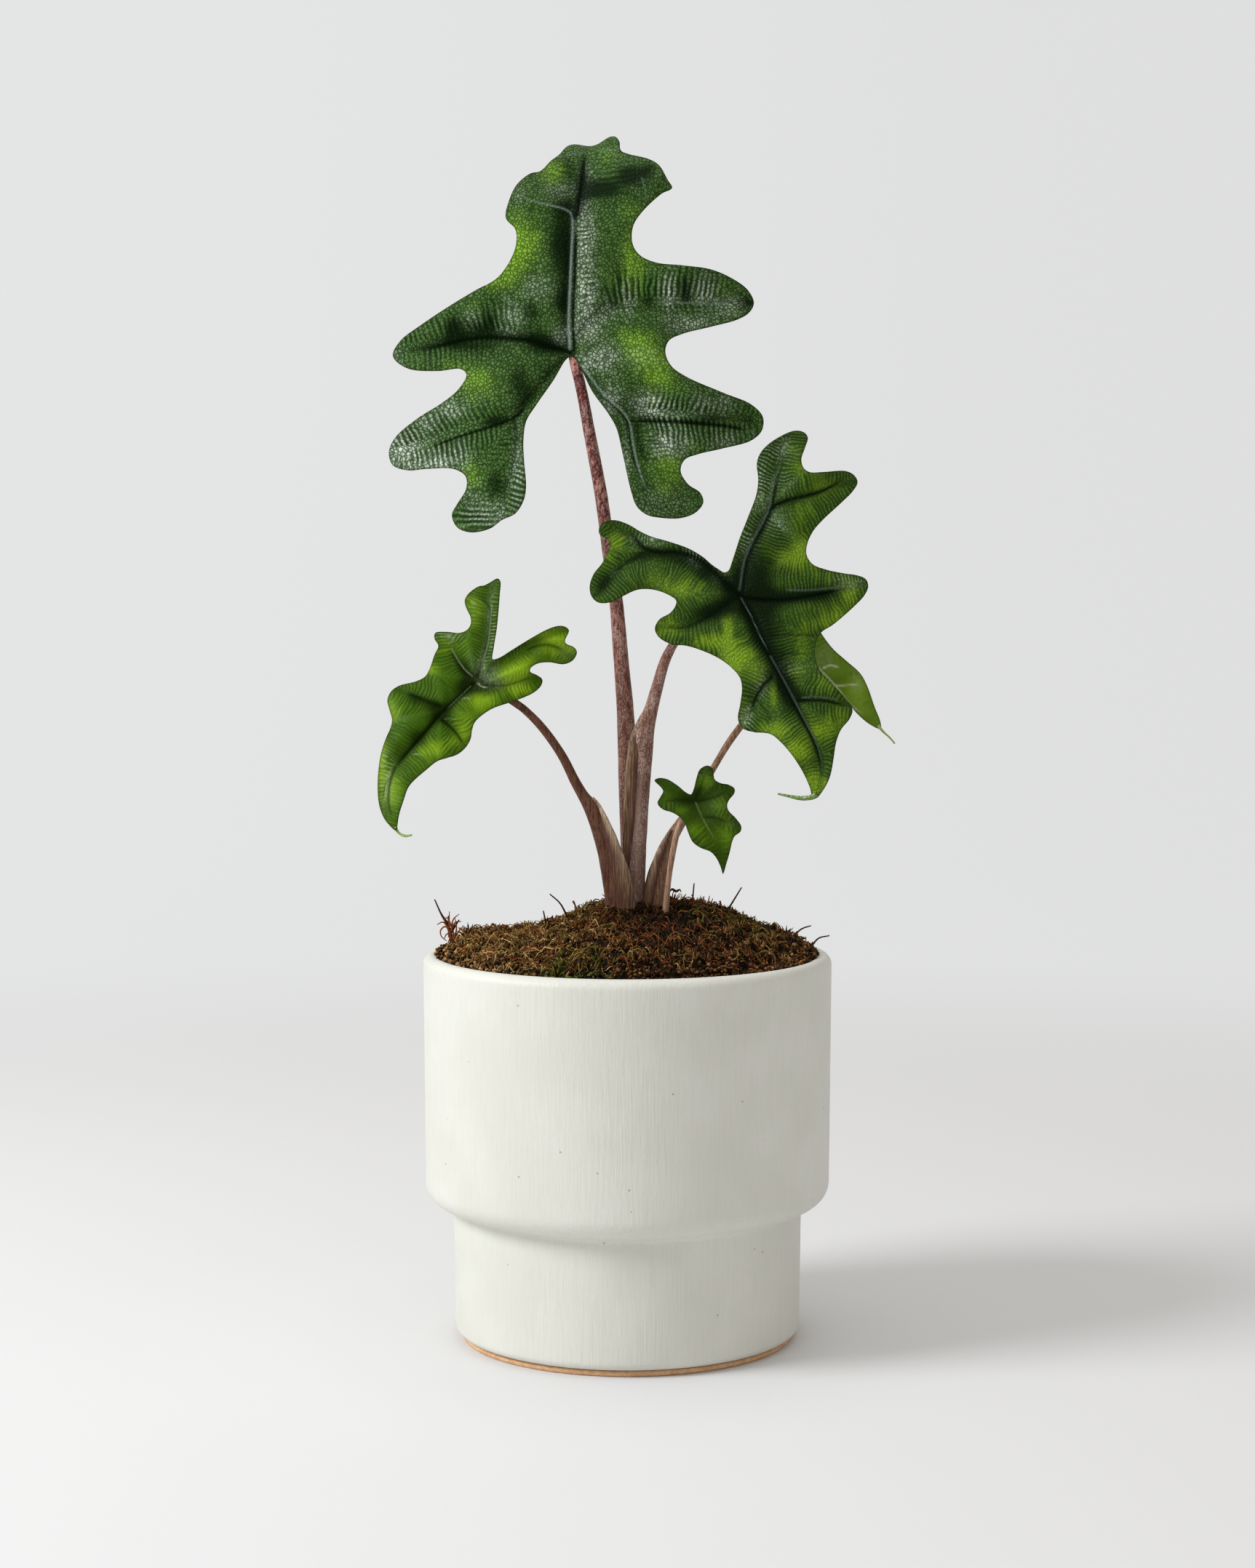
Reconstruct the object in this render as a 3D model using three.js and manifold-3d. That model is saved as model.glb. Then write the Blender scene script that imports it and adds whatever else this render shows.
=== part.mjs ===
// Potted jacklyn alocasia: five lobed leaves on mottled stems, in a mossy two-drum ceramic pot.
// Millimetres, +Z up. The origin is on the pot's axis at the surface that the pad under it stands on.
// -Y is the front. Leaves and stems are drawn on the upright plane y = 0 as seen by an eye in front
// of the plant, and each drawn point is then carried along its line of sight to its own depth y.

import * as THREE from 'three';
import { mergeVertices } from 'three/addons/utils/BufferGeometryUtils.js';
import Module from 'manifold-3d';

const wasm = await Module();
wasm.setup();

// The eye that the drawn outlines are seen from
const EYE_DISTANCE = 1075;
const EYE_HEIGHT = 283;

// Clearance between pieces that touch
const GAP = 0.3;

// Pot, a 150 mm planter of two drums
const POT_RADIUS = 75;
const POT_WAIST_RADIUS = 74.4;
const LOWER_DRUM_TOP_RADIUS = 64.2;
const LOWER_DRUM_RADIUS = 63.7;
const RIM_HEIGHT = 142.3;
const STEP_HEIGHT = 50.4;
const STEP_FILLET = 3;
const UPPER_DRUM_CORNER = 8;
const FOOT_CORNER = 3;
const WALL = 7.2;
const LOWER_WALL = 6.2;
const FLOOR_THICKNESS = 6.6;
const INNER_FILLET = 5;
const NECK_HEIGHT = 51.4;
const POT_SEGMENTS = 56;
const MIX_SEGMENTS = 28;

// Brown pad that the pot stands on
const PAD_RADIUS = 61.2;
const PAD_HEIGHT = 2.1;
const PAD_EDGE = 1.05;

// Planting medium and moss
const MIX_TOP = 128;
const MOSS_BOTTOM = MIX_TOP + GAP;
const MOSS_TOP = 160.2;
const MOSS_DROP = 15;
const MOSS_REACH = 68.4;
const MOSS_RADIUS = POT_RADIUS - WALL - GAP;
const MOSS_SHOULDER = 139;
const MOSS_RINGS = 13;
const MOSS_SEGMENTS = 44;
const MOSS_POWER = 2.1;
const MOSS_SKEW = 0.5;
const MOSS_TUFT = 0.9;

// Crossed waves that make the mound's tufts: radians per mm along x and along y, and phase
const TUFT_WAVES = [
  { height: 1, first: [0.47, 0.21, 0], second: [-0.17, 0.53, 1.57] },
  { height: 0.6, first: [0.91, -0.33, 1.3], second: [0, 0.83, 0.7] },
];
const MOSS_DIP = { x: 10, y: -26, depth: 3.2, reach: 15 };

// Corm that the stems grow from: radius and height of its outline from the bottom up
const CORM = {
  x: 3.6,
  y: -3,
  waist: 124,
  outline: [[0, 110], [6.8, 111], [12.8, 115], [15, 122], [15, 127], [13.6, 132], [11.6, 133.7], [0, 133.7]],
};
const CORM_SEGMENTS = 24;

// Leaf blades
const BLADE = 0.7;
const BLADE_BACK = 0.42;
const VEIN_DEPTH = 1.3;
const VEIN_REACH = 3.6;
const WAVE_REACH = 30;
const WAVE_PHASE = [0.6, -0.4];

// Spacing of a blade's mesh, as shares of the leaf's lattice
const SPACING = { rim: 0.6, vein: 0.85, veinToRim: 0.35, veinApart: 0.5, rimApart: 0.5, apart: 0.6 };
const ROW_SHARE = Math.sqrt(3) / 2;
const JITTER = 0.12;
const CURVE_DIVISIONS = 1200;
const MOST_SPLITS = 8;
const SLOPE_STEP = 0.6;
const FAR = 5000;
const WELD = 1e-5;

// Stems, drip tips and twigs
const STEM_SIDES = 12;
const TAIL_SIDES = 6;
const STEM_STEP = 9;
const TWIG_SIDES = 5;

const COLOURS = {
  ceramic: 0xdedcd0,
  pad: 0x7a5a3a,
  mix: 0x2b211a,
  moss: 0x5c4a24,
  corm: 0x5a4030,
  stemDark: 0x6a3f38,
  stemBrown: 0x5d4236,
  stemPale: 0x8a6a58,
  leafDark: 0x24501c,
  leafGreen: 0x3c6b1a,
  leafBright: 0x4d8020,
  leafOlive: 0x5c6e34,
};

// Each leaf: heart is where its veins meet, axis points from there to the tip, depth is the heart's y,
// lean is y per mm along x and z, droop bends the blade away from the axis by the square of the
// distance, and roll adds to the droop towards the tip. A leaf with a bend turns over above that
// height, so its tip hangs down behind: there, z runs on along the blade. rim and veins are drawn
// points [x, z].
const LEAVES = {
  tall: {
    heart: [-20.5, 362], axis: [0, 1], depth: 4, lean: [0, 0.3], droop: 0.0042, roll: 0,
    wave: [1.5, 0.17, 0.12], crease: { height: 412, spread: 0.4, slope: 0.9 }, veinSide: 1,
    bend: { height: 433.8, rise: 0.12, radius: 13, from: 0.88, to: 2.6 }, lattice: 7.4,
    colour: COLOURS.leafDark,
    rim: [
      [-85.2, 361], [-82.2, 366.2], [-75, 371.6], [-65, 378.2], [-55, 384.2], [-47.7, 388.2],
      [-43.2, 393.7], [-40.4, 400.5], [-40.6, 406], [-44, 410], [-43, 415.8], [-40, 422],
      [-35, 426], [-31.7, 426.7], [-28, 430.2], [-24.5, 433.8], [-22.5, 438], [-19, 447],
      [-14.6, 458], [-12.3, 464], [-11.2, 469], [-10, 464], [-8.6, 458], [-5.4, 447],
      [-2.9, 438.5], [-2.4, 434.2], [0, 433], [7.7, 431.1],
      [11.4, 428.9], [14.5, 423.7], [16.1, 420.8], [12.4, 418.8], [5, 411.9], [2, 407],
      [1.8, 401], [4.2, 397], [10, 394.2], [20, 393.1], [30, 391.7], [37.7, 388.5],
      [43.5, 384.3], [45.8, 379.6], [44.2, 376.2], [40, 373.7], [30, 371], [20, 368.5],
      [15, 366], [13.7, 362], [15.8, 357], [21.2, 353.1], [34.9, 347.2], [45, 343],
      [49.2, 338.5], [48.8, 333.5], [45, 330], [35, 327.2], [25.6, 325], [20.8, 323],
      [19.3, 319], [22, 314.2], [26.5, 311], [27.6, 307.5], [25, 304], [19.5, 301.9],
      [12, 302], [7, 303.1], [3.3, 306.3], [1.2, 312.1], [-1.6, 324.6], [-4, 334.5],
      [-6.9, 339.7], [-12.8, 347.8], [-16.3, 354.8], [-18.6, 358.9], [-20.5, 360.3],
      [-22.2, 359.4], [-27, 351.7], [-33, 343.2], [-36.9, 336.9], [-37.9, 330], [-37.7, 322.8],
      [-37, 313], [-38, 308], [-41, 303.5], [-45.8, 301.2], [-50.2, 298.1], [-57.2, 296.7],
      [-62, 298.4], [-64, 303], [-61.9, 307.2], [-58.8, 312.5], [-59, 317], [-63.3, 319.7],
      [-73.6, 319.7], [-80, 319.2], [-85.4, 321], [-86.8, 325.7], [-84.5, 331], [-76.3, 338],
      [-67.5, 343.5], [-61.5, 348.4], [-58.5, 353.8], [-60.5, 355.8], [-69, 355.1],
      [-79.2, 355.8], [-84, 358.6],
    ],
    veins: [
      [[-20.5, 362], [-21.4, 372], [-20.4, 394], [-20, 411], [-17, 414], [-15.4, 430], [-12, 458]],
      [[-20.5, 362], [-35, 367], [-50, 369], [-65, 366.5], [-78.5, 363.5]],
      [[-20.5, 362], [-14, 371], [-5, 377], [5, 380], [36, 380]],
      [[-20.5, 362], [-30, 350], [-40, 339], [-39.7, 331.5], [-44, 312]],
      [[-40, 339], [-59, 334.2], [-77, 328]],
      [[-20.5, 362], [-10, 351.4], [0, 340], [2.5, 328], [7.9, 313]],
      [[0, 340], [18.7, 339.7], [42, 337.4]],
    ],
    tails: [],
  },
  right: {
    heart: [41.5, 273.5], axis: [0.36, -0.93], depth: -24, lean: [0, 0.32], droop: 0.0028, roll: 0.02,
    wave: [1.5, 0.18, -0.14], veinSide: 1, lattice: 7, colour: COLOURS.leafGreen,
    rim: [
      [35.3, 282.1], [33.2, 283.3], [30.7, 285], [27.6, 287.7], [22.3, 290.8], [15.2, 293.3],
      [8.6, 295.2], [4.5, 297.1], [0.2, 299.6], [-4.6, 301.1], [-8.3, 300.6], [-10.3, 298.5],
      [-10.2, 296], [-8.8, 295.1], [-7, 293.6], [-6.4, 292], [-7.3, 289.3], [-9.3, 285.4],
      [-12.4, 281.4], [-13.8, 276.8], [-13, 273.2], [-10.6, 271.1], [-6, 271.3], [-1.6, 273.5],
      [3.7, 275.8], [9.5, 275.8], [15.2, 273.8], [17.8, 271.8], [17.5, 269.8], [15.6, 267.3],
      [11.7, 265], [10, 261.7], [11.4, 258.6], [15.9, 256], [21.7, 255.3], [27.7, 253.4],
      [33.8, 250.5], [38.3, 247.1], [41.2, 243.5], [41.9, 240], [41.3, 234], [40.5, 228.5],
      [42.1, 225.2], [45.9, 223.8], [52.3, 223], [56.2, 220], [60.8, 214.6], [64.5, 208.7],
      [67, 203.2], [67.9, 199.9], [69.3, 199.5], [72, 202.7], [74.2, 207.2], [75.5, 213.3],
      [76.5, 220], [78.3, 224.7], [81.4, 228.6], [82.4, 232.1], [79.5, 236.4], [74.3, 242.1],
      [70.5, 246.2], [69, 250], [68.5, 254], [70.4, 259.7], [75.5, 263.3], [82.8, 269.7],
      [86.6, 273.8], [87.9, 277], [87, 279.6], [84, 281], [78.9, 281.8], [72.5, 283.1],
      [67.5, 285.1], [65.3, 288.6], [65.6, 292.5], [67.7, 297.1], [71, 301], [78.3, 307.8],
      [82.3, 311.9], [83.8, 314.8], [82.6, 317.3], [79.5, 318.9], [71.5, 318.6], [66.4, 318.5],
      [64.1, 320], [63.3, 323.2], [64.6, 327.3], [65.6, 331], [64.2, 332.9], [60.8, 333.5],
      [55.4, 331.4], [50.5, 328], [48, 324.8], [47.1, 321.6], [47.6, 316], [47, 310.7],
      [43.8, 301.9], [41, 294.8], [38.4, 286.8], [36.8, 282.7],
    ],
    veins: [
      [[41.5, 273.5], [50.6, 254.7], [60.3, 235.8], [68.3, 220.3], [71.3, 213], [70.5, 203]],
      [[41.5, 273.5], [41.4, 282.5], [46, 293.9], [51.6, 305.7], [53.9, 315.7], [56.5, 326]],
      [[51.6, 305.7], [63.6, 309.1], [76, 313.2]],
      [[41.5, 273.5], [51.5, 272], [65.7, 274], [80, 276.8]],
      [[41.5, 273.5], [30, 281.6], [19.7, 287.4], [9.9, 289.6], [3.8, 293], [-3.3, 297.9]],
      [[9.9, 289.6], [-1, 285], [-8, 278]],
      [[41.5, 273.5], [30, 266.5], [20.4, 262.8], [13, 262.2]],
      [[53.5, 246], [47, 235.7], [44.5, 231]],
      [[60, 236.5], [69, 235.5], [79, 234]],
    ],
    tails: [
      [[69.4, 200.8, 0, 1.2], [67.4, 199.7, 0.2, 0.95], [63.6, 199.4, 0.6, 0.8], [59, 200.2, 1, 0.5],
        [55.2, 201, 1.2, 0.32]],
    ],
  },
  left: {
    heart: [-55.5, 243], axis: [-0.473, -0.881], depth: -22, lean: [0.1, 0.3], droop: 0.0055, roll: 0.06,
    wave: [1.2, 0.22, 0.18], veinSide: 1, lattice: 6.4, colour: COLOURS.leafBright,
    rim: [
      [-49.4, 250.4], [-48.8, 255.5], [-47.8, 261.6], [-47.1, 268.5], [-46.7, 274], [-46.5, 279],
      [-47.4, 279.9], [-50, 278.6], [-52.2, 277.4], [-54.6, 276.9], [-58.4, 274], [-59.5, 271.7],
      [-58.9, 269.1], [-57.3, 265.5], [-57.4, 263], [-58.8, 261], [-61.5, 260], [-66, 260.4],
      [-70.3, 260], [-70.6, 258], [-69.2, 255.3], [-70.6, 252], [-72.3, 247.1], [-74, 244.1],
      [-77.1, 242.4], [-83.8, 240.6], [-86.7, 238.4], [-87.9, 235.2], [-87.2, 232.1],
      [-86.2, 228], [-86.9, 225], [-88.5, 221.4], [-90.3, 216], [-91.3, 210.2], [-91.7, 203],
      [-91.2, 197], [-89.6, 192.3], [-87.4, 189.3], [-85, 187.4], [-84.6, 189], [-83.9, 193.4],
      [-82.2, 198.7], [-80.6, 203.1], [-78.8, 205.5], [-73.9, 209.8], [-69.8, 213],
      [-65.9, 214.3], [-62.4, 215.5], [-59.3, 218.1], [-57.5, 221.2], [-57, 224.3],
      [-56, 227.2], [-52.9, 230.2], [-49.1, 232.5], [-43.6, 234.4], [-38, 236.4], [-34, 238.4],
      [-31.6, 240.8], [-31.2, 243], [-33.3, 244.7], [-35.6, 245.8], [-35.6, 247], [-32.9, 248.8],
      [-28.6, 249.3], [-23.2, 248.6], [-19.8, 250.2], [-18.5, 253.1], [-19.6, 254.8],
      [-22.3, 256], [-22.9, 257], [-21.4, 261], [-22.8, 262.3], [-25.3, 262.6], [-29.6, 261.2],
      [-35.3, 258.1], [-42.6, 253.6], [-46.6, 251.1], [-48.6, 250.4],
    ],
    veins: [
      [[-55.5, 243], [-62.3, 237.3], [-70, 228.1], [-80, 216.7], [-86.6, 207.5], [-88.3, 197]],
      [[-55.5, 243], [-53.6, 248.3], [-51.3, 259.3], [-50.9, 268.8], [-49.3, 276]],
      [[-55.5, 243], [-60.4, 248.7], [-63.5, 255.1]],
      [[-67.5, 231.5], [-73.8, 235], [-82.1, 238.4]],
      [[-55.5, 243], [-46, 247.5], [-38.7, 252.4], [-32.7, 255.8], [-26, 254.6], [-21.3, 251.8]],
      [[-32.7, 255.8], [-27.7, 259.6], [-24, 260.6]],
      [[-55.5, 243], [-50, 240.3], [-42, 242], [-34, 243.4]],
      [[-67.5, 229], [-63.3, 223.2], [-60.2, 219]],
    ],
    tails: [
      [[-85.4, 188.8, 0.3, 0.7], [-84, 186.5, 0.4, 0.45], [-81.8, 185.5, 0.3, 0.5], [-79.2, 185.8, 0, 0.32]],
    ],
  },
  back: {
    heart: [69.5, 247.5], axis: [0.72, -0.69], depth: 12, lean: [0.2, -0.12], droop: -0.005, roll: 0.02,
    wave: [0.7, 0.28, 0.2], veinSide: -1, lattice: 7, colour: COLOURS.leafOlive,
    rim: [
      [71, 259.7], [75.2, 254.2], [80.1, 249.8], [85.2, 245.2], [88, 240], [90.5, 233],
      [92.6, 227.6], [92.8, 224.9], [88.6, 226.7], [84, 230.6], [80.5, 234.5], [76, 236],
      [71.5, 235], [66, 236.5], [64, 240.5], [59.5, 243], [56.5, 247], [58, 251.5],
      [62, 253.5], [60.8, 258], [62, 263], [66, 265.4], [69.3, 263],
    ],
    veins: [
      [[69.5, 247.5], [76.2, 240.9], [84, 233.8], [91, 227]],
      [[69.5, 247.5], [76.7, 247.2]],
      [[76.2, 240.9], [84.6, 240.8]],
      [[69.5, 247.5], [66.5, 256], [66, 262]],
      [[69.5, 247.5], [62, 248]],
    ],
    tails: [
      [[91.8, 226.3, 0, 0.7], [93.4, 224.2, 0.1, 0.45], [96.2, 221.6, 0.3, 0.34], [98, 219.5, 0.6, 0.31]],
    ],
  },
  small: {
    heart: [25, 198], axis: [0.35, -0.94], depth: -20, lean: [0, 0.2], droop: 0.008, roll: 0.02,
    wave: [0.5, 0.32, 0.24], veinSide: 1, lattice: 5.6, colour: COLOURS.leafGreen,
    rim: [
      [23.3, 200.8], [24.4, 203], [25.4, 207], [26.6, 210], [29.3, 211.4], [31.1, 210.5],
      [31.6, 208], [32, 206.3], [34, 205], [37, 204.4], [39.3, 202.9], [39.2, 201.2],
      [37.4, 198.9], [36.6, 197], [37, 195], [39.8, 192], [41.8, 189], [41.5, 187.1],
      [39.4, 185.4], [38.5, 183.4], [37.6, 179.6], [36.3, 175.1], [35.1, 171.4], [34.3, 173.9],
      [32.7, 177.3], [30.6, 179.6], [26.8, 181.1], [24, 183.2], [22.5, 186.2], [21.2, 189.7],
      [19.6, 192], [16.7, 194], [12.8, 195.4], [11, 197.6], [12.2, 200.1], [13.1, 202],
      [12.2, 203.5], [9.9, 206], [11.5, 206.8], [14.5, 206.4], [18.3, 204.1], [21.5, 201.5],
    ],
    veins: [
      [[25, 198], [29.3, 189.7], [33.7, 181.8], [35, 175]],
      [[25, 198], [27.4, 203.5], [28.7, 208.2]],
      [[25, 198], [31.5, 200.5], [37, 202.3]],
      [[27.7, 193.8], [33, 191.5], [40, 189.2]],
      [[25, 198], [18, 199], [13.5, 198.2]],
      [[21, 199.4], [16.7, 202.4], [12.6, 205.2]],
    ],
    tails: [],
  },
};

// Each stem from the corm up: drawn x and z, depth y, half width across and half width fore and aft.
// A station with a leaf's name in place of y lies against that leaf's blade.
const STEMS = {
  tall: {
    colour: COLOURS.stemDark,
    stations: [
      [2.2, 133, 4.2, 3.4, 3], [1.8, 160, 4.4, 3.6, 3.1], [1.2, 180, 4.5, 3.6, 3.1],
      [0.4, 200, 4.8, 3.5, 3], [-0.3, 220, 5.2, 3.3, 2.9], [-1.05, 235, 5.6, 3.05, 2.8],
      [-1.9, 245, 5.8, 2.8, 2.7], [-2.7, 254.7, 6, 2.7, 2.6], [-4.2, 272, 6.4, 2.45, 2.4],
      [-6.6, 288, 6.6, 2.38, 2.3], [-9.6, 310, 6.8, 2.3, 2.2], [-13.3, 330, 7, 2.15, 2.1],
      [-17.1, 350, 7.2, 1.95, 1.9], [-18.9, 357, 'tall', 1.85, 1.8], [-20.3, 365, 'tall', 1.7, 1.5],
      [-20.8, 374, 'tall', 1.2, 1], [-20.8, 381, 'tall', 0.7, 0.6],
    ],
  },
  right: {
    colour: COLOURS.stemDark,
    stations: [
      [3.2, 133, -3.4, 3.8, 2.6], [2.3, 150, -3.6, 4.2, 2.7], [2, 165, -3.6, 4.4, 2.7],
      [2.3, 180, -3.5, 4.5, 2.7], [3.2, 195, -3.3, 4.4, 2.7], [3.9, 205, -3.2, 4.4, 2.7],
      [4.45, 214, -3.3, 4.6, 2.7], [5.25, 221, -3.8, 4.3, 2.6], [6.9, 227, -4.6, 3.3, 2.4],
      [8.35, 231, -5.4, 2.6, 2.2], [10.8, 240, -7.5, 2.1, 2], [13.8, 250, -10.5, 1.85, 1.8],
      [16.9, 256, -12.6, 1.6, 1.6], [24.5, 265.5, 'right', 1.6, 1.5], [32, 271.5, 'right', 1.6, 1.4],
      [38.5, 274.2, 'right', 1.4, 1.2], [42, 272.6, 'right', 0.9, 0.9],
    ],
  },
  left: {
    colour: COLOURS.stemBrown,
    stations: [
      [-1, 133, -10, 4.6, 2.4], [-2.5, 150, -10, 5.2, 2.5], [-3.2, 165, -10, 5.3, 2.5],
      [-5.3, 175, -10, 4.85, 2.5], [-6.7, 180, -10, 4.3, 2.5], [-8.35, 185, -10.1, 4, 2.4],
      [-10.25, 190, -10.3, 3.6, 2.4], [-12.6, 195, -10.6, 3.1, 2.3], [-15.8, 199.6, -11, 2.1, 2],
      [-18.95, 205, -11.6, 1.8, 1.8], [-24, 215, -13, 1.6, 1.6], [-31, 225, -15, 1.5, 1.5],
      [-37.6, 231.8, -16.8, 1.4, 1.4], [-42, 235, 'left', 1.4, 1.3], [-48.3, 239, 'left', 1.35, 1.2],
      [-54, 242.4, 'left', 1.1, 0.9],
    ],
  },
  back: {
    colour: COLOURS.stemBrown,
    stations: [
      [9.8, 133, -4.6, 2.6, 2.3], [9.3, 150, -4.8, 3.6, 2.4], [9.3, 160, -4.8, 3.8, 2.4],
      [10.75, 170, -4.6, 3.6, 2.4], [12.4, 176, -4.2, 3, 2.3], [14.1, 180.5, -3.8, 2.6, 2.2],
      [16.6, 185.5, -3.2, 2.3, 2], [19.4, 190, -2.6, 1.9, 1.8], [23.8, 197, -1.4, 1.5, 1.5],
      [31.6, 210.6, 1.6, 1.2, 1.2], [38.3, 221.5, 4.4, 1.27, 1.25], [50, 236, 8, 1.3, 1.25],
      [59.5, 244.3, 'back', 1.25, 1.2], [66, 247.4, 'back', 1, 0.9],
    ],
  },
  small: {
    colour: COLOURS.stemPale,
    stations: [
      [11.2, 133, -11.4, 1.1, 1.1], [13.5, 150, -13, 1.1, 1.1], [14.2, 160, -13.2, 1.15, 1.1],
      [15.2, 170, -13.4, 1, 1], [16.4, 178, -13.8, 1.1, 1], [18.3, 187, -14.8, 1.1, 1],
      [20.6, 192, -15.8, 1.05, 1], [23, 195.4, 'small', 1, 0.9], [25.2, 197.8, 'small', 0.9, 0.8],
    ],
  },
};

// Twigs and blades of dry moss that stand out of the mound: [x, z, y, half thickness]
const TWIGS = [
  [[-64.5, 145, 0, 1.1], [-66.2, 152.5, 0, 0.9], [-68.6, 156.6, 0, 0.5], [-71, 162, 0, 0.32]],
  [[-65.5, 148, 0, 0.9], [-66, 156, 1, 0.32]],
  [[-65.5, 149, 0, 0.8], [-62, 154.5, -1, 0.32]],
  [[-21.5, 154, -2, 0.6], [-24.8, 160.5, -3, 0.4], [-28.6, 164, -4, 0.32]],
  [[-29.6, 151, -4, 0.6], [-31, 157.8, -5, 0.32]],
  [[23.6, 158, 2, 0.5], [24.5, 168, 3, 0.32]],
  [[35, 155, 3, 0.6], [42, 166.5, 4, 0.32]],
  [[59, 146, 2, 0.6], [64, 151, 2, 0.4], [67.6, 152.3, 2, 0.32]],
  [[67, 143.6, 0, 0.6], [70.4, 147.6, 0, 0.4], [74.4, 148.6, 0, 0.32]],
];

// Geometry helpers

function sighted(x, z, y) {
  const reach = 1 + y / EYE_DISTANCE;
  return new THREE.Vector3(x * reach, y, EYE_HEIGHT + (z - EYE_HEIGHT) * reach);
}

function toManifold(geometry) {
  const bare = geometry.clone();
  bare.deleteAttribute('normal');
  bare.deleteAttribute('uv');
  const merged = mergeVertices(bare, WELD);
  const vertProperties = new Float32Array(merged.attributes.position.array);
  const triVerts = new Uint32Array(merged.index.array);
  return new wasm.Manifold(new wasm.Mesh({ numProp: 3, vertProperties, triVerts }));
}

function toGeometry(solid) {
  const mesh = solid.getMesh();
  const geometry = new THREE.BufferGeometry();
  geometry.setAttribute('position', new THREE.BufferAttribute(mesh.vertProperties, 3));
  geometry.setIndex(new THREE.BufferAttribute(mesh.triVerts, 1));
  return geometry;
}

function biggestBody(solid) {
  const bodies = solid.decompose();
  return bodies.reduce((best, body) => (body.volume() > best.volume() ? body : best));
}

function meshFrom(vertices, triangles) {
  const geometry = new THREE.BufferGeometry();
  const flat = vertices.flatMap((v) => [v.x, v.y, v.z]);
  geometry.setAttribute('position', new THREE.Float32BufferAttribute(flat, 3));
  geometry.setIndex(triangles.flat());
  return geometry;
}

function arc(cx, cz, radius, from, to, steps) {
  const points = [];
  for (let i = 0; i <= steps; i += 1) {
    const angle = THREE.MathUtils.degToRad(from + ((to - from) * i) / steps);
    points.push(new THREE.Vector2(cx + radius * Math.cos(angle), cz + radius * Math.sin(angle)));
  }
  return points;
}

// A lathe's faces point out when its profile runs up the outside
function turned(profile, segments) {
  const geometry = new THREE.LatheGeometry(profile, segments);
  geometry.rotateX(Math.PI / 2);
  return geometry;
}

// Pot, pad and filling

// The hollow's profile from the floor up to the upper drum's wall, drawn in by a clearance
function hollowProfile(clearance) {
  const lower = LOWER_DRUM_RADIUS - LOWER_WALL;
  const upper = POT_RADIUS - WALL;
  const floor = PAD_HEIGHT + GAP + FLOOR_THICKNESS;
  const fillet = INNER_FILLET - clearance;
  const corner = UPPER_DRUM_CORNER - clearance;
  const shelf = STEP_HEIGHT + WALL + UPPER_DRUM_CORNER;
  return [
    new THREE.Vector2(0, floor + clearance),
    ...arc(lower - INNER_FILLET, floor + INNER_FILLET, fillet, -90, 0, 3),
    new THREE.Vector2(lower - clearance, NECK_HEIGHT),
    ...arc(upper - UPPER_DRUM_CORNER, shelf, corner, -75, 0, 4),
  ];
}

function potGeometry() {
  const base = PAD_HEIGHT + GAP;
  const lip = WALL / 2;
  const profile = [
    new THREE.Vector2(0, base),
    ...arc(LOWER_DRUM_RADIUS - FOOT_CORNER, base + FOOT_CORNER, FOOT_CORNER, -90, 0, 3),
    ...arc(LOWER_DRUM_TOP_RADIUS + STEP_FILLET, STEP_HEIGHT - STEP_FILLET, STEP_FILLET, 180, 90, 3),
    ...arc(POT_WAIST_RADIUS - UPPER_DRUM_CORNER, STEP_HEIGHT + UPPER_DRUM_CORNER, UPPER_DRUM_CORNER, -80, 0, 5),
    ...arc(POT_RADIUS - lip, RIM_HEIGHT - lip, lip, 0, 180, 8),
    ...hollowProfile(0).reverse(),
  ];
  return turned(profile, POT_SEGMENTS);
}

function padGeometry() {
  const profile = [
    new THREE.Vector2(0, 0),
    ...arc(PAD_RADIUS - PAD_EDGE, PAD_EDGE, PAD_EDGE, -90, 90, 4),
    new THREE.Vector2(0, PAD_HEIGHT),
  ];
  return turned(profile, POT_SEGMENTS);
}

function mixSolid(corm) {
  const profile = [
    ...hollowProfile(GAP),
    new THREE.Vector2(POT_RADIUS - WALL - GAP, MIX_TOP),
    new THREE.Vector2(0, MIX_TOP),
  ];
  return toManifold(turned(profile, MIX_SEGMENTS)).subtract(corm);
}

function cormGeometry(extra) {
  const profile = CORM.outline.map(([radius, height]) => {
    const rise = height < CORM.waist ? -extra : extra;
    return new THREE.Vector2(radius > 0 ? radius + extra : 0, height + rise);
  });
  const geometry = turned(profile, CORM_SEGMENTS);
  geometry.translate(CORM.x, CORM.y, 0);
  return geometry;
}

// The mound falls faster on its left than on its right and dips in front of the stems
function mossHeight(x, y) {
  const r = Math.hypot(x, y) / MOSS_REACH;
  const side = x / Math.max(Math.hypot(x, y), 1);
  const power = MOSS_POWER + MOSS_SKEW * side;
  const dip = Math.exp(-((x - MOSS_DIP.x) ** 2 + (y - MOSS_DIP.y) ** 2) / MOSS_DIP.reach ** 2);
  const swing = ([alongX, alongY, phase]) => Math.sin(alongX * x + alongY * y + phase);
  const tuft = TUFT_WAVES.reduce((sum, wave) => sum + wave.height * swing(wave.first) * swing(wave.second), 0);
  return MOSS_TOP - MOSS_DROP * r ** power - MOSS_DIP.depth * dip + MOSS_TUFT * tuft;
}

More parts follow.
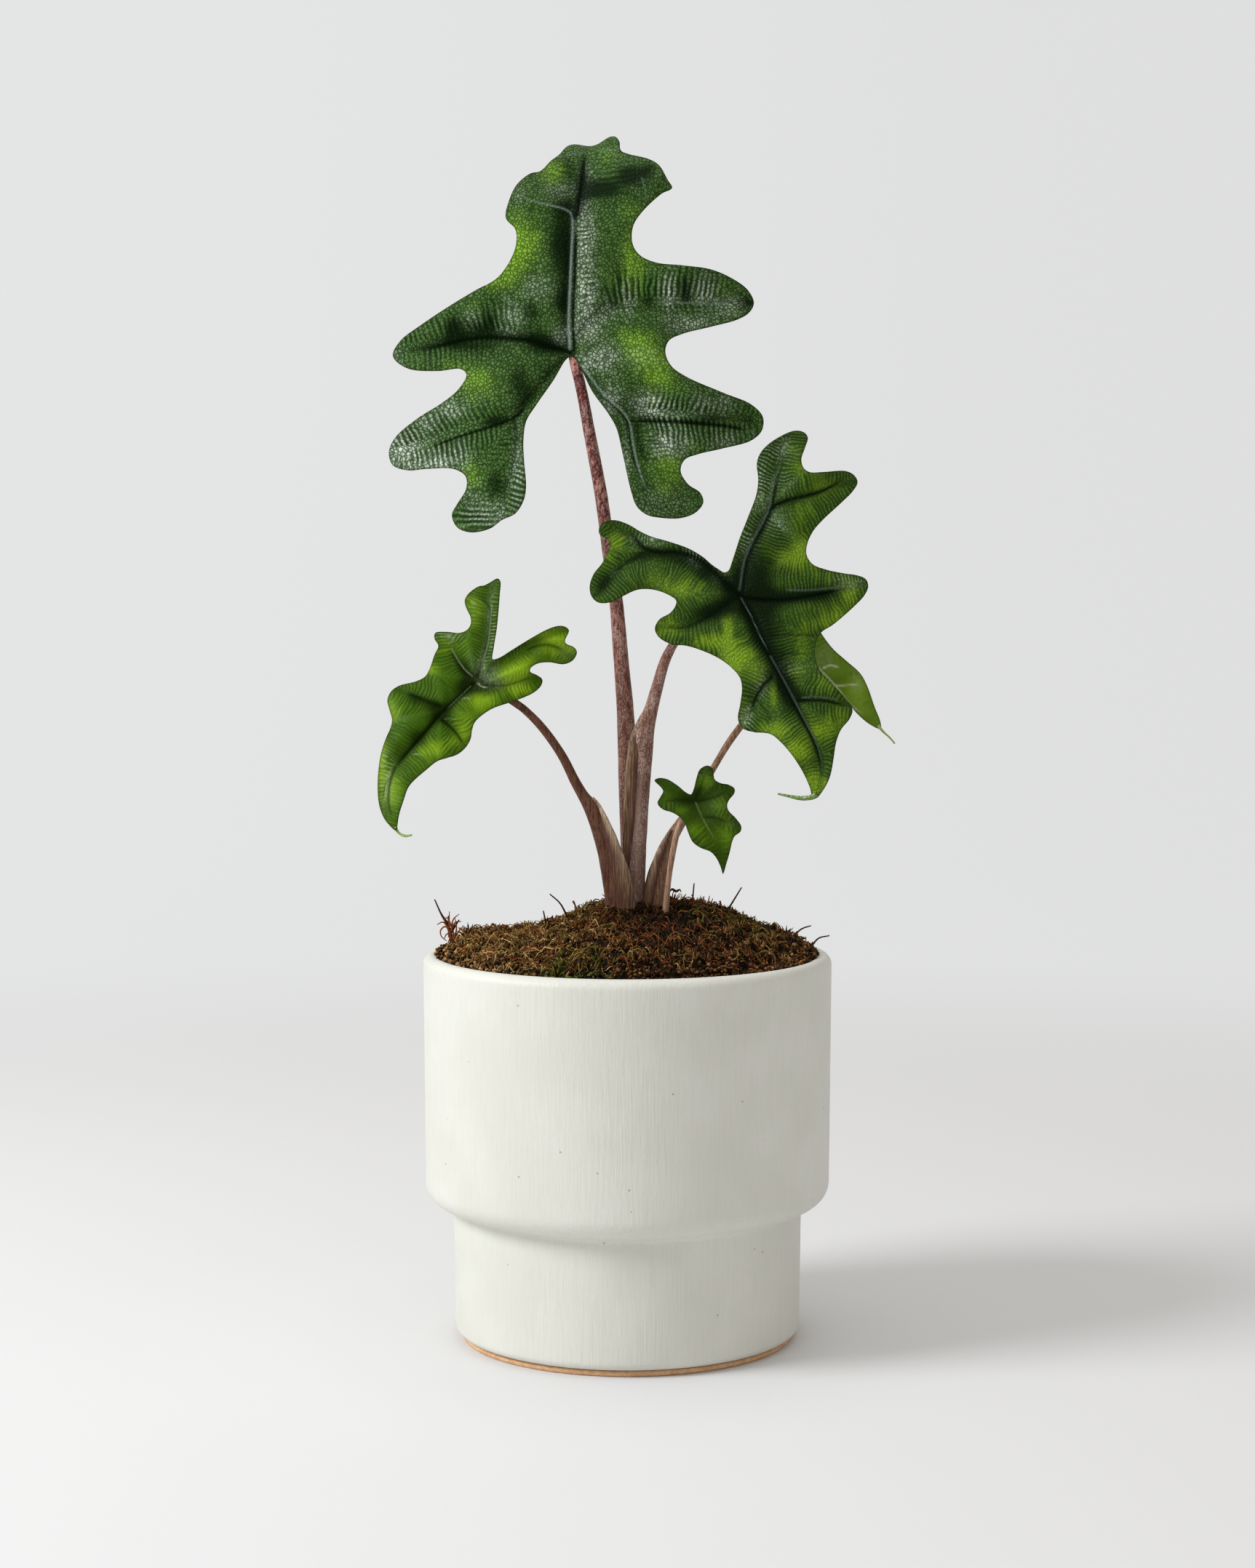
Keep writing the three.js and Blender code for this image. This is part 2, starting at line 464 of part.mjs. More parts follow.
function mossGeometry() {
  const vertices = [new THREE.Vector3(0, 0, mossHeight(0, 0))];
  const triangles = [];
  const addRing = (radius, heightAt) => {
    for (let k = 0; k < MOSS_SEGMENTS; k += 1) {
      const angle = (2 * Math.PI * k) / MOSS_SEGMENTS;
      const x = radius * Math.cos(angle);
      const y = radius * Math.sin(angle);
      vertices.push(new THREE.Vector3(x, y, heightAt(x, y)));
    }
  };
  for (let ring = 1; ring <= MOSS_RINGS; ring += 1) addRing((MOSS_RADIUS * ring) / MOSS_RINGS, mossHeight);
  addRing(MOSS_RADIUS, () => MOSS_SHOULDER);
  addRing(MOSS_RADIUS, () => MOSS_BOTTOM);
  vertices.push(new THREE.Vector3(0, 0, MOSS_BOTTOM));
  const last = vertices.length - 1;
  const rings = MOSS_RINGS + 2;
  for (let k = 0; k < MOSS_SEGMENTS; k += 1) {
    const next = (k + 1) % MOSS_SEGMENTS;
    triangles.push([0, 1 + k, 1 + next]);
    for (let ring = 0; ring < rings - 1; ring += 1) {
      const a = 1 + ring * MOSS_SEGMENTS;
      const b = a + MOSS_SEGMENTS;
      triangles.push([a + k, b + k, b + next], [a + k, b + next, a + next]);
    }
    const bottom = 1 + (rings - 1) * MOSS_SEGMENTS;
    triangles.push([bottom + k, last, bottom + next]);
  }
  return meshFrom(vertices, triangles);
}

// Leaf blades

function distanceToLine(x, z, line) {
  let best = Infinity;
  for (let i = 0; i < line.length - 1; i += 1) {
    const [ax, az] = line[i];
    const dx = line[i + 1][0] - ax;
    const dz = line[i + 1][1] - az;
    const along = ((x - ax) * dx + (z - az) * dz) / (dx * dx + dz * dz);
    const t = Math.min(Math.max(along, 0), 1);
    best = Math.min(best, Math.hypot(x - ax - t * dx, z - az - t * dz));
  }
  return best;
}

function bladeDepth(leaf, x, z) {
  const u = x - leaf.heart[0];
  const v = z - leaf.heart[1];
  const across = u * leaf.axis[1] - v * leaf.axis[0];
  const along = Math.max(u * leaf.axis[0] + v * leaf.axis[1], 0);
  const [height, fu, fv] = leaf.wave;
  const ramp = Math.min(Math.hypot(u, v) / WAVE_REACH, 1);
  let y = leaf.depth + leaf.lean[0] * u + leaf.lean[1] * v;
  y += leaf.droop * (1 + leaf.roll * along) * across * across;
  y += height * ramp * Math.sin(fu * u + WAVE_PHASE[0]) * Math.cos(fv * v + WAVE_PHASE[1]);
  if (leaf.crease) {
    const line = leaf.crease.height + leaf.crease.spread * Math.abs(u);
    y += leaf.crease.slope * Math.max(z - line, 0);
  }
  const vein = Math.min(...leaf.veins.map((line) => distanceToLine(x, z, line)));
  y += leaf.veinSide * VEIN_DEPTH * Math.exp(-((vein / VEIN_REACH) ** 2));
  return y;
}

// A drawn point of the blade in space, turned over where the leaf has a bend
function bladeSpot(leaf, x, z) {
  const start = leaf.bend ? leaf.bend.height + leaf.bend.rise * x : Infinity;
  if (z <= start) return sighted(x, z, bladeDepth(leaf, x, z));
  const { radius, from, to } = leaf.bend;
  const turn = Math.min(from + (z - start) / radius, to);
  const rest = z - start - radius * (turn - from);
  const up = radius * (Math.sin(turn) - Math.sin(from)) + rest * Math.cos(to);
  const away = radius * (Math.cos(from) - Math.cos(turn)) + rest * Math.sin(to);
  return sighted(x, start + up, bladeDepth(leaf, x, start) + away);
}

function closedCurve(points, step) {
  const nodes = points.map(([x, z]) => new THREE.Vector3(x, z, 0));
  const curve = new THREE.CatmullRomCurve3(nodes, true, 'centripetal');
  curve.arcLengthDivisions = CURVE_DIVISIONS;
  const count = Math.round(curve.getLength() / step);
  return curve.getSpacedPoints(count).slice(0, count).map((p) => [p.x, p.y]);
}

function inside(x, z, rim) {
  let odd = false;
  for (let i = 0, j = rim.length - 1; i < rim.length; j = i, i += 1) {
    const [ax, az] = rim[i];
    const [bx, bz] = rim[j];
    if (az > z !== bz > z && x < ((bx - ax) * (z - az)) / (bz - az) + ax) odd = !odd;
  }
  return odd;
}

// Bowyer-Watson triangulation of points in the plane
function delaunay(points) {
  const all = [...points, [-FAR, -FAR], [FAR, -FAR], [0, FAR]];
  const n = points.length;
  const circle = (a, b, c) => {
    const [ax, ay] = all[a];
    const bx = all[b][0] - ax;
    const by = all[b][1] - ay;
    const cx = all[c][0] - ax;
    const cy = all[c][1] - ay;
    const d = 2 * (bx * cy - by * cx);
    const ux = (cy * (bx * bx + by * by) - by * (cx * cx + cy * cy)) / d;
    const uy = (bx * (cx * cx + cy * cy) - cx * (bx * bx + by * by)) / d;
    return { corners: [a, b, c], x: ax + ux, y: ay + uy, r2: ux * ux + uy * uy };
  };
  let cells = [circle(n, n + 1, n + 2)];
  for (let p = 0; p < n; p += 1) {
    const [px, py] = all[p];
    const hit = cells.filter((c) => (c.x - px) ** 2 + (c.y - py) ** 2 < c.r2);
    const edges = new Map();
    for (const { corners } of hit) {
      for (let k = 0; k < 3; k += 1) {
        const a = corners[k];
        const b = corners[(k + 1) % 3];
        const key = a < b ? `${a}_${b}` : `${b}_${a}`;
        if (edges.has(key)) edges.delete(key);
        else edges.set(key, [a, b]);
      }
    }
    cells = cells.filter((c) => !hit.includes(c));
    for (const [a, b] of edges.values()) cells.push(circle(a, b, p));
  }
  return cells.map((c) => c.corners).filter((corners) => corners.every((k) => k < n));
}

function bladePoints(leaf, rim) {
  const points = [];
  const { lattice } = leaf;
  const clearOf = (x, z, list, share) => list.every(([px, pz]) => Math.hypot(px - x, pz - z) > share * lattice);
  for (const line of leaf.veins) {
    const curve = new THREE.CatmullRomCurve3(line.map(([x, z]) => new THREE.Vector3(x, z, 0)));
    const count = Math.max(2, Math.round(curve.getLength() / (lattice * SPACING.vein)));
    for (const p of curve.getSpacedPoints(count)) {
      const roomy = clearOf(p.x, p.y, rim, SPACING.veinToRim) && clearOf(p.x, p.y, points, SPACING.veinApart);
      if (roomy && inside(p.x, p.y, rim)) points.push([p.x, p.y]);
    }
  }
  const xs = rim.map((p) => p[0]);
  const zs = rim.map((p) => p[1]);
  const rowStep = lattice * ROW_SHARE;
  for (let row = 0, z = Math.min(...zs); z < Math.max(...zs); row += 1, z += rowStep) {
    for (let x = Math.min(...xs) + (row % 2) * lattice * 0.5; x < Math.max(...xs); x += lattice) {
      const px = x + JITTER * Math.sin(7 * row + x);
      const pz = z + JITTER * Math.cos(5 * row + 2 * x);
      const roomy = clearOf(px, pz, rim, SPACING.rimApart) && clearOf(px, pz, points, SPACING.apart);
      if (roomy && inside(px, pz, rim)) points.push([px, pz]);
    }
  }
  return points;
}

// Splits rim edges until the triangulation holds every one of them
function triangulated(leaf) {
  let rim = closedCurve(leaf.rim, SPACING.rim * leaf.lattice);
  const middle = bladePoints(leaf, rim);
  for (let tries = 0; tries < MOST_SPLITS; tries += 1) {
    const points = [...rim, ...middle];
    const cells = delaunay(points);
    const edges = new Set();
    for (const c of cells) {
      for (let k = 0; k < 3; k += 1) edges.add(`${c[k]}_${c[(k + 1) % 3]}`).add(`${c[(k + 1) % 3]}_${c[k]}`);
    }
    const next = [];
    rim.forEach((p, i) => {
      const j = (i + 1) % rim.length;
      next.push(p);
      if (!edges.has(`${i}_${j}`)) next.push([(p[0] + rim[j][0]) / 2, (p[1] + rim[j][1]) / 2]);
    });
    if (next.length === rim.length) {
      const kept = cells.filter((c) => {
        const x = (points[c[0]][0] + points[c[1]][0] + points[c[2]][0]) / 3;
        const z = (points[c[0]][1] + points[c[1]][1] + points[c[2]][1]) / 3;
        return inside(x, z, rim);
      });
      return { points, cells: kept, rimCount: rim.length };
    }
    rim = next;
  }
  throw new Error('a rim edge is missing from the triangulation');
}

function bladeGeometry(leaf) {
  const { points, cells, rimCount } = triangulated(leaf);
  const spot = (x, z) => bladeSpot(leaf, x, z);
  const front = [];
  const back = [];
  for (const [x, z] of points) {
    const across = spot(x + SLOPE_STEP, z).sub(spot(x - SLOPE_STEP, z));
    const up = spot(x, z + SLOPE_STEP).sub(spot(x, z - SLOPE_STEP));
    const normal = across.cross(up).normalize().multiplyScalar(BLADE / 2);
    front.push(spot(x, z).add(normal));
    back.push(spot(x, z).sub(normal));
  }
  const n = points.length;
  const triangles = [];
  for (const [a, b, c] of cells) {
    const turn = (points[b][0] - points[a][0]) * (points[c][1] - points[a][1])
      - (points[b][1] - points[a][1]) * (points[c][0] - points[a][0]);
    const [p, q, r] = turn > 0 ? [a, b, c] : [a, c, b];
    triangles.push([p, q, r], [n + p, n + r, n + q]);
  }
  let area = 0;
  for (let i = 0; i < rimCount; i += 1) {
    const j = (i + 1) % rimCount;
    area += points[i][0] * points[j][1] - points[j][0] * points[i][1];
  }
  for (let i = 0; i < rimCount; i += 1) {
    const j = (i + 1) % rimCount;
    const [a, b] = area > 0 ? [i, j] : [j, i];
    triangles.push([a, n + a, n + b], [a, n + b, b]);
  }
  return meshFrom([...front, ...back], triangles);
}

// Stems, drip tips and twigs are tubes of elliptic rings along a smooth line

function ringTube(stations, sides, step, extra, lengthen) {
  const line = new THREE.CatmullRomCurve3(stations.map((s) => s.centre), false, 'centripetal');
  const spans = stations.slice(1).map((s, i) => s.centre.distanceTo(stations[i].centre));
  const vertices = [];
  const addRing = (t, shift) => {
    const centre = line.getPoint(t);
    const ahead = line.getTangent(t);
    centre.addScaledVector(ahead, shift);
    const across = new THREE.Vector3(ahead.z, 0, -ahead.x).normalize();
    const fore = new THREE.Vector3().crossVectors(ahead, across).normalize();
    const place = t * (stations.length - 1);
    const i = Math.min(Math.floor(place), stations.length - 2);
    const mix = place - i;
    const wide = THREE.MathUtils.lerp(stations[i].across, stations[i + 1].across, mix) + extra;
    const deep = THREE.MathUtils.lerp(stations[i].fore, stations[i + 1].fore, mix) + extra;
    for (let k = 0; k < sides; k += 1) {
      const angle = (2 * Math.PI * k) / sides;
      const p = centre.clone();
      p.addScaledVector(across, wide * Math.cos(angle));
      p.addScaledVector(fore, deep * Math.sin(angle));
      vertices.push(p);
    }
    return centre;
  };
  const caps = [];
  let rings = 0;
  spans.forEach((span, i) => {
    const cuts = Math.max(1, Math.round(span / step));
    for (let k = 0; k < cuts; k += 1) {
      const centre = addRing((i + k / cuts) / spans.length, rings === 0 ? -lengthen : 0);
      if (rings === 0) caps.push(centre);
      rings += 1;
    }
  });
  caps.push(addRing(1, lengthen));
  rings += 1;
  const triangles = [];
  for (let ring = 0; ring < rings - 1; ring += 1) {
    for (let k = 0; k < sides; k += 1) {
      const a = ring * sides + k;
      const b = ring * sides + ((k + 1) % sides);
      triangles.push([a, b, b + sides], [a, b + sides, a + sides]);
    }
  }
  const first = vertices.length;
  vertices.push(...caps);
  for (let k = 0; k < sides; k += 1) {
    const next = (k + 1) % sides;
    triangles.push([first, next, k]);
    triangles.push([first + 1, (rings - 1) * sides + k, (rings - 1) * sides + next]);
  }
  return meshFrom(vertices, triangles);
}

function stemStations(stem) {
  return stem.stations.map(([x, z, place, across, fore]) => {
    let y = place;
    if (typeof place === 'string') {
      const leaf = LEAVES[place];
      const side = leaf.veinSide;
      y = bladeDepth(leaf, x, z) + side * (BLADE_BACK + GAP + fore);
    }
    return { centre: sighted(x, z, y), across, fore };
  });
}

function stemSolid(stem, extra) {
  const tube = ringTube(stemStations(stem), STEM_SIDES, STEM_STEP, extra, extra);
  return toManifold(tube);
}

function tailSolid(leaf, tail) {
  const stations = tail.map(([x, z, lift, half]) => {
    const y = bladeDepth(leaf, tail[0][0], tail[0][1]) + lift;
    return { centre: sighted(x, z, y), across: half, fore: half };
  });
  return toManifold(ringTube(stations, TAIL_SIDES, STEM_STEP, 0, 0));
}

function twigSolid(twig) {
  const stations = twig.map(([x, z, y, half]) => ({ centre: sighted(x, z, y), across: half, fore: half }));
  return toManifold(ringTube(stations, TWIG_SIDES, STEM_STEP, 0, 0));
}

// Assembly

const group = new THREE.Group();

function add(name, geometry, color, roughness, metalness = 0) {
  const material = new THREE.MeshStandardMaterial({ color, roughness, metalness });
  const mesh = new THREE.Mesh(geometry, material);
  mesh.name = name;
  group.add(mesh);
}

add('pot', toGeometry(toManifold(potGeometry())), COLOURS.ceramic, 0.6);
add('base_pad', toGeometry(toManifold(padGeometry())), COLOURS.pad, 0.85);
add('corm', toGeometry(toManifold(cormGeometry(0))), COLOURS.corm, 0.9);

const cormSpace = toManifold(cormGeometry(GAP));
add('potting_mix', toGeometry(mixSolid(cormSpace)), COLOURS.mix, 0.95);

// A stem gives way to the stems named before it here
const STEM_ORDER = ['left', 'small', 'back', 'right', 'tall'];
const stemSpaces = [];
for (const name of STEM_ORDER) {
  let solid = stemSolid(STEMS[name], 0).subtract(cormSpace);
  for (const space of stemSpaces) solid = solid.subtract(space);
  stemSpaces.push(stemSolid(STEMS[name], GAP));
  add(`petiole_${name}`, toGeometry(biggestBody(solid)), STEMS[name].colour, 0.55);
}

let moss = toManifold(mossGeometry());
for (const twig of TWIGS) moss = moss.add(twigSolid(twig));
for (const space of [cormSpace, ...stemSpaces]) moss = moss.subtract(space);
add('moss_mound', toGeometry(biggestBody(moss)), COLOURS.moss, 0.95);

for (const [name, leaf] of Object.entries(LEAVES)) {
  let blade = toManifold(bladeGeometry(leaf));
  for (const tail of leaf.tails) blade = blade.add(tailSolid(leaf, tail));
  add(`leaf_${name}`, toGeometry(biggestBody(blade)), leaf.colour, 0.45);
}

export default group;
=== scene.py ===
# Looks of a potted jacklyn alocasia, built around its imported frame.
# Outlines are in millimetres on the upright plane y = 0, as seen by an eye in front of the plant,
# and each drawn point is carried along its line of sight to its own depth y.
import math

import bpy
import numpy as np
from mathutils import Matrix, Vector, kdtree, noise
from mathutils.geometry import delaunay_2d_cdt


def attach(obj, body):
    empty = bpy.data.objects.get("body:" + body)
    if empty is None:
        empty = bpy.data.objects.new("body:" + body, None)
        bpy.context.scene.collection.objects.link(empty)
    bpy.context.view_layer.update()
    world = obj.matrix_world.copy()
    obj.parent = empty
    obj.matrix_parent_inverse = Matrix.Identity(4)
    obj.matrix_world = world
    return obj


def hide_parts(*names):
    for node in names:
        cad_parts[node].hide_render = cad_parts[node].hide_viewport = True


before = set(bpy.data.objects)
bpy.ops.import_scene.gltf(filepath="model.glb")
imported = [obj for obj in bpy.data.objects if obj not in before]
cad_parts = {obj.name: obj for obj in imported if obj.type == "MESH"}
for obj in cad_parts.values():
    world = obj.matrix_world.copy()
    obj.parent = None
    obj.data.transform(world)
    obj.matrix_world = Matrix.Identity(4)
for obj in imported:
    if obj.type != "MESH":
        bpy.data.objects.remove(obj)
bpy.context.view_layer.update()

MM = 0.001
SEED = 20251
rng = np.random.default_rng(SEED)

# The eye that the outlines are drawn from
EYE_DISTANCE = 1075.0
EYE_HEIGHT = 283.0
EYE_PITCH = 4.17
LENS = 67.4
SENSOR = 36.0

# Steps from one drawn point to the next on a smooth curve, and how steeply a tube may point at the eye
CURVE_STEPS = 24
END_ON = 0.15

# Pot and pad, and the number of steps in each of their arcs
POT_RADIUS = 75.0
POT_WAIST_RADIUS = 74.4
LOWER_DRUM_TOP_RADIUS = 64.2
LOWER_DRUM_RADIUS = 63.7
RIM_HEIGHT = 142.3
STEP_HEIGHT = 50.4
STEP_FILLET = 3.0
UPPER_DRUM_CORNER = 8.0
FOOT_CORNER = 3.0
WALL = 7.2
LOWER_WALL = 6.2
FLOOR_THICKNESS = 6.6
INNER_FILLET = 5.0
NECK_HEIGHT = 51.4
GAP = 0.3
PAD_RADIUS = 61.2
PAD_HEIGHT = 2.1
PAD_EDGE = 1.05
POT_SEGMENTS = 160
PROFILE_STEP = 2.0
ARC_STEPS = {"foot": 10, "step": 10, "waist": 16, "lip": 22, "neck": 8, "floor": 6, "pad": 10}

# How far the upper drum is out of round, and the phase of that
POT_UNEVEN = 0.1
POT_UNEVEN_PHASE = 0.7

# Form of the moss mound, as in the frame
MOSS_BOTTOM = 128.3
MOSS_WALL_TOP = 137.0
MOSS_TOP = 160.2
MOSS_DROP = 15.0
MOSS_REACH = 68.4
MOSS_RADIUS = POT_RADIUS - WALL - GAP
MOSS_POWER = 2.1
MOSS_SKEW = 0.5
MOSS_TUFT = 0.9
TUFT_WAVES = [(1.0, (0.47, 0.21, 0.0), (-0.17, 0.53, 1.57)), (0.6, (0.91, -0.33, 1.3), (0.0, 0.83, 0.7))]

# Finer form of the mound: mesh, dip (x, y, depth, reach), drop at the edge, sags (x, depth, reach),
# noise (height, size, slice) and the clefts between its clumps
MOSS_SPACING = 0.85
MOSS_RIM_CORNERS = 520
MOSS_RIM_CLEAR = 0.6
MOSS_DIP = (10.0, -26.0, 3.2, 15.0)
MOSS_EDGE_DROP = 3.4
MOSS_EDGE_REACH = 6.0
MOSS_SAGS = [(-33.0, 5.2, 17.0), (50.0, 2.6, 14.0)]
MOSS_LUMPS = [(1.5, 8.5, 0.0), (1.0, 3.2, 9.0)]
MOSS_GRAIN = (0.5, 1.5, 17.0)
MOSS_EVEN_EDGE = 3.0
CLEFT_BEND = (2.5, 8.0, 40.0)
CLEFT_CELL = (6.5, 5.2, 0.3)
CLEFT_WIDTH = 0.42
CLEFT_DEPTH = 1.9
CLEFT_CURVE = 1.5

# Tones of the mound: each from a general level and soft spots (x, y, reach, strength). Rust and green are
# the moss's own colours; the third is painted light and shade, with painted light on the raised parts to the
# left, front and right, and painted shade in the middle round the stems.
MOSS_SPOTS = {
    "rust": (0.36, [(-9, -42, 14, 0.9), (56, -28, 18, 0.5), (-58, -30, 16, 0.45), (-4, -12, 10, 0.3)]),
    "green": (0.35, [(-18, -60, 15, 0.75), (-38, 2, 26, 0.5), (38, -6, 22, 0.5), (-14, 4, 12, 0.4)]),
    "lit": (0.0, [
        (-34, -2, 27, 0.95), (11, -24, 20, -2.0), (50, -30, 20, 0.85), (-60, -14, 16, 0.3),
        (-48, -40, 26, 1.05), (-9, -44, 13, 0.9), (-20, -60, 12, -0.6),
    ]),
}
# Painted shade on the fibres in the middle round the stems and painted light on them to the left;
# FIBRE_SIDE_SHADE darkens them towards the right as painted shade
FIBRE_SPOTS = [(11, -24, 19, -0.3), (-44, -30, 28, 0.12)]
FIBRE_SIDE_SHADE = 0.15

# How far the mound laps over the rim in front and at the sides, and how high its edge is heaped
EDGE_LAP = (1.2, 2.8)
EDGE_LAP_SKEW = 0.3
EDGE_RAGGED = (0.7, 4.0, 3.0)
EDGE_RAGGED_RADIUS = 70.0
EDGE_INSET = 1.8
EDGE_HEAP = 1.5
EDGE_HEAP_RIGHT = 1.5
EDGE_HEAP_LEAST = 0.4
COLLAR_REACH = 2.6
COLLAR_RISE = 2.2

# Loose cover of the mound: counts, then ranges that each crumb and shoot is drawn from. Fibres have
# count, rings, length, thickness, lift and curl.
CRUMBS = 5000
EDGE_CRUMBS = 3000
COLLAR_CRUMBS = 100
EDGE_SHOOTS = 420
COLLAR_SHOOTS = 40
TUFTS = 330
TUFT_SHOOTS = 12
TUFT_LENGTH = (1.6, 4.6)
COLLAR_LENGTH = 2.6
EDGE_LENGTH = 2.4
# Each crumb's and shoot's painted light is shifted at random; a crumb's upper corners get a painted
# highlight, while a shoot's tip value is only a random tone
CRUMB = {
    "least": 0.38, "spread": 0.6, "power": 1.5, "squash": (0.6, 1.2), "uneven": (0.75, 1.25),
    "lift": (-0.2, 0.9), "lit": (-0.3, 0.45), "rust": (-0.35, 0.35), "tip": (0.0, 0.8),
}
SHOOT = {
    "lean": (0.1, 1.15), "length": (0.5, 1.1), "foot": 0.9, "sunk": 0.5, "bend": 1.3, "past_edge": 1.5,
    "thick": (0.22, 0.42), "taper": (0.7, 1.0, 0.95, 0.25), "sides": 3,
    "lit": (-0.2, 0.5), "rust": (-0.3, 0.3), "tip": (0.1, 1.0),
}
FIBRES = {
    "moss_wisps": (4000, 4, (1.6, 3.8), (0.13, 0.29), 1.5, 1.6),
    "moss_fibres": (850, 9, (5, 14), (0.15, 0.33), 2.2, 2.6),
}
FIBRE = {"inset": 2.5, "edge": 0.8, "sides": 3, "clear": 0.3, "bridge": 0.9, "taper": 0.75}
FIBRE_TONE = (0.8, 1.05)

# Strands, hairs, withered leaflet and twigs: step along the line, thickness from foot to tip, sides, tone
STRAND = {"step": 0.7, "thick": (0.42, 0.2), "sides": 6, "sunk": 0.7, "tone": 0.35, "tone_step": 0.06}
HAIR = {"step": 0.7, "thick": (0.45, 0.15), "sides": 5, "depth": -1.0, "tone": 0.42}
LEAFLET = {"step": 0.4, "wide": 0.5, "thick": 0.22, "sides": 8, "depth": -1.0, "tone": 0.18}
TWIG = {"step": 0.8, "share": 0.75, "sides": 7, "tone": 0.16}

# Depths searched for the mound's front surface, and how close above it counts
FRONT_SEARCH = (0.5 - MOSS_RADIUS, 20, 400)
FRONT_CLEAR = 0.6

# Corners and faces of a round crumb
ICO_A = 0.5257
ICO_B = 0.8507
ICO_CORNERS = np.array([
    (-ICO_A, ICO_B, 0), (ICO_A, ICO_B, 0), (-ICO_A, -ICO_B, 0), (ICO_A, -ICO_B, 0),
    (0, -ICO_A, ICO_B), (0, ICO_A, ICO_B), (0, -ICO_A, -ICO_B), (0, ICO_A, -ICO_B),
    (ICO_B, 0, -ICO_A), (ICO_B, 0, ICO_A), (-ICO_B, 0, -ICO_A), (-ICO_B, 0, ICO_A),
])
ICO_FACES = np.array([
    (0, 11, 5), (0, 5, 1), (0, 1, 7), (0, 7, 10), (0, 10, 11), (1, 5, 9), (5, 11, 4), (11, 10, 2),
    (10, 7, 6), (7, 1, 8), (3, 9, 4), (3, 4, 2), (3, 2, 6), (3, 6, 8), (3, 8, 9), (4, 9, 5), (2, 4, 11),
    (6, 2, 10), (8, 6, 7), (9, 8, 1),
])

# Blades: half thickness, relief and steps of their lines
BLADE_HALF = 0.22
RIM_HALF = 0.14
RIM_TAPER = 1.5
VEIN_DEPTH = 1.3
VEIN_REACH = 3.6
RIB_HEIGHT = 0.45
RIB_REACH = 0.7
GROOVE_DEPTH = 0.35
THREAD_HEIGHT = 0.3
LINE_FADE = (0.8, 1.05)
WAVE_REACH = 30.0
WAVE_PHASE = (0.6, -0.4)
RIM_STEP = 0.6
VEIN_STEP = 3.0
SLOPE_STEP = 0.3
LINE_STEP = 1.5
MESH_CLEAR = 0.55
STALK_CLEAR = 0.6
TAIL_STEP = 0.6
TAIL_SIDES = 8
TAIL_FIELDS = {"edge": 0.1, "bright": 0.7, "pale": 0.6}

# Rows of ridges beside the veins: how far past a vein's end they run, how they slant and waver,
# where they fade in from a vein and between two, and how far from the heart the veins darken their sides
ROW_REACH = 16.0
ROW_SLANT = 0.18
ROW_WOBBLE = 0.5
ROW_WAVER = (4.0, 30.0)
ROW_START = (0.5, 2.2)
ROW_APART = (0.3, 3.0)
DEEP_REACH = 30.0
WOBBLE_SIZE = 7.0
WOBBLE_APART = 40

# Folds along the bent tip of the tall leaf: drawn x, reach and lift
TIP_FOLDS = [(-5.5, 4.5, 3.0), (-20.0, 5.0, 1.8)]

# Stems: mesh, fine grooves (depth, number, phase), lumps (height, size, stretch), and the heights
# between which the low part and the old part fade out
STEM_STEP = 1.1
STEM_SIDES = 36
STEM_GROOVES = [(0.022, 9, 0), (0.014, 17, 1)]
STEM_LUMPS = (0.025, 2.2, 0.5)
LOW_STEM = (150, 205)
OLD_STEM = (225, 300)

# Painted sheen on the stems, a pale streak of highlight: x, z, reach, rise and strength
PAINTED_SHEENS = {"right": (3.2, 186, 3.0, 28, 1)}
NO_PAINTED_SHEEN = (0, 0, 1, 1, 0)

# Sheaths: step, half thickness, how much wider than drawn, sides, how far the top stands back and over
# what share of the length, and the share of the height and the distance from the top that the papery
# part fades in between
SHEATH_STEP = 0.9
SHEATH_HALF = 0.45
SHEATH_WIDER = 0.1
SHEATH_SIDES = 14
SHEATH_BACK = 1.2
SHEATH_BACK_SHARE = 0.35
PAPERY_SHARE = 0.8
PAPERY_TOP = 8.0

# Colours as sRGB codes
BLACK = (0, 0, 0, 1)
# Underside colours, with painted shade for the gaps between the beads
UNDERSIDE = {"light": "5e7a3b", "dim": "6a8243", "shaded_gap": "45602c", "rib": "9c8a63", "edge": "2b2f14"}
# In the stem tones, sheen is the colour of a painted highlight
STEM_TONES = {"speck": "d6c2b6", "painted_sheen": "bfa99c", "low": "4a2a1c"}
STEM_LOOKS = {
    "tall": {"slot": "stem_mottled", "ground": "b47c72", "blotch": "5a2022", "streak": "80463c",
             "worn": ("55352a", "8a5f4c"), "size": 1.1, "cover": 0.46, "specks": 0.5},
    "right": {"slot": "stem_mottled", "ground": "9c7669", "blotch": "5c2f2a", "streak": "84584a",
              "worn": ("5a3a2e", "906552"), "size": 0.8, "cover": 0.47, "specks": 0.55},
    "left": {"slot": "stem_brown", "ground": "6c4731", "blotch": "46281b", "streak": "80593e",
             "worn": ("44241a", "70452f"), "size": 1.1, "cover": 0.5, "specks": 0.08},
    "back": {"slot": "stem_brown", "ground": "b88d70", "blotch": "80543e", "streak": "c49a7a",
             "worn": ("64432f", "a07a5c"), "size": 1.1, "cover": 0.52, "specks": 0.2},
    "small": {"slot": "stem_brown", "ground": "e4bea2", "blotch": "a87a5e", "streak": "eccdb0",
              "worn": ("64432f", "a07a5c"), "size": 1.0, "cover": 0.56, "specks": 0.1},
}
SHEATH_TONES = {
    "dry": ("4f3123", "a08261"), "papery": ("9c795e", "dcc6aa"), "fused": ("56352a", "80604c"),
    "stain": "6b4634",
}
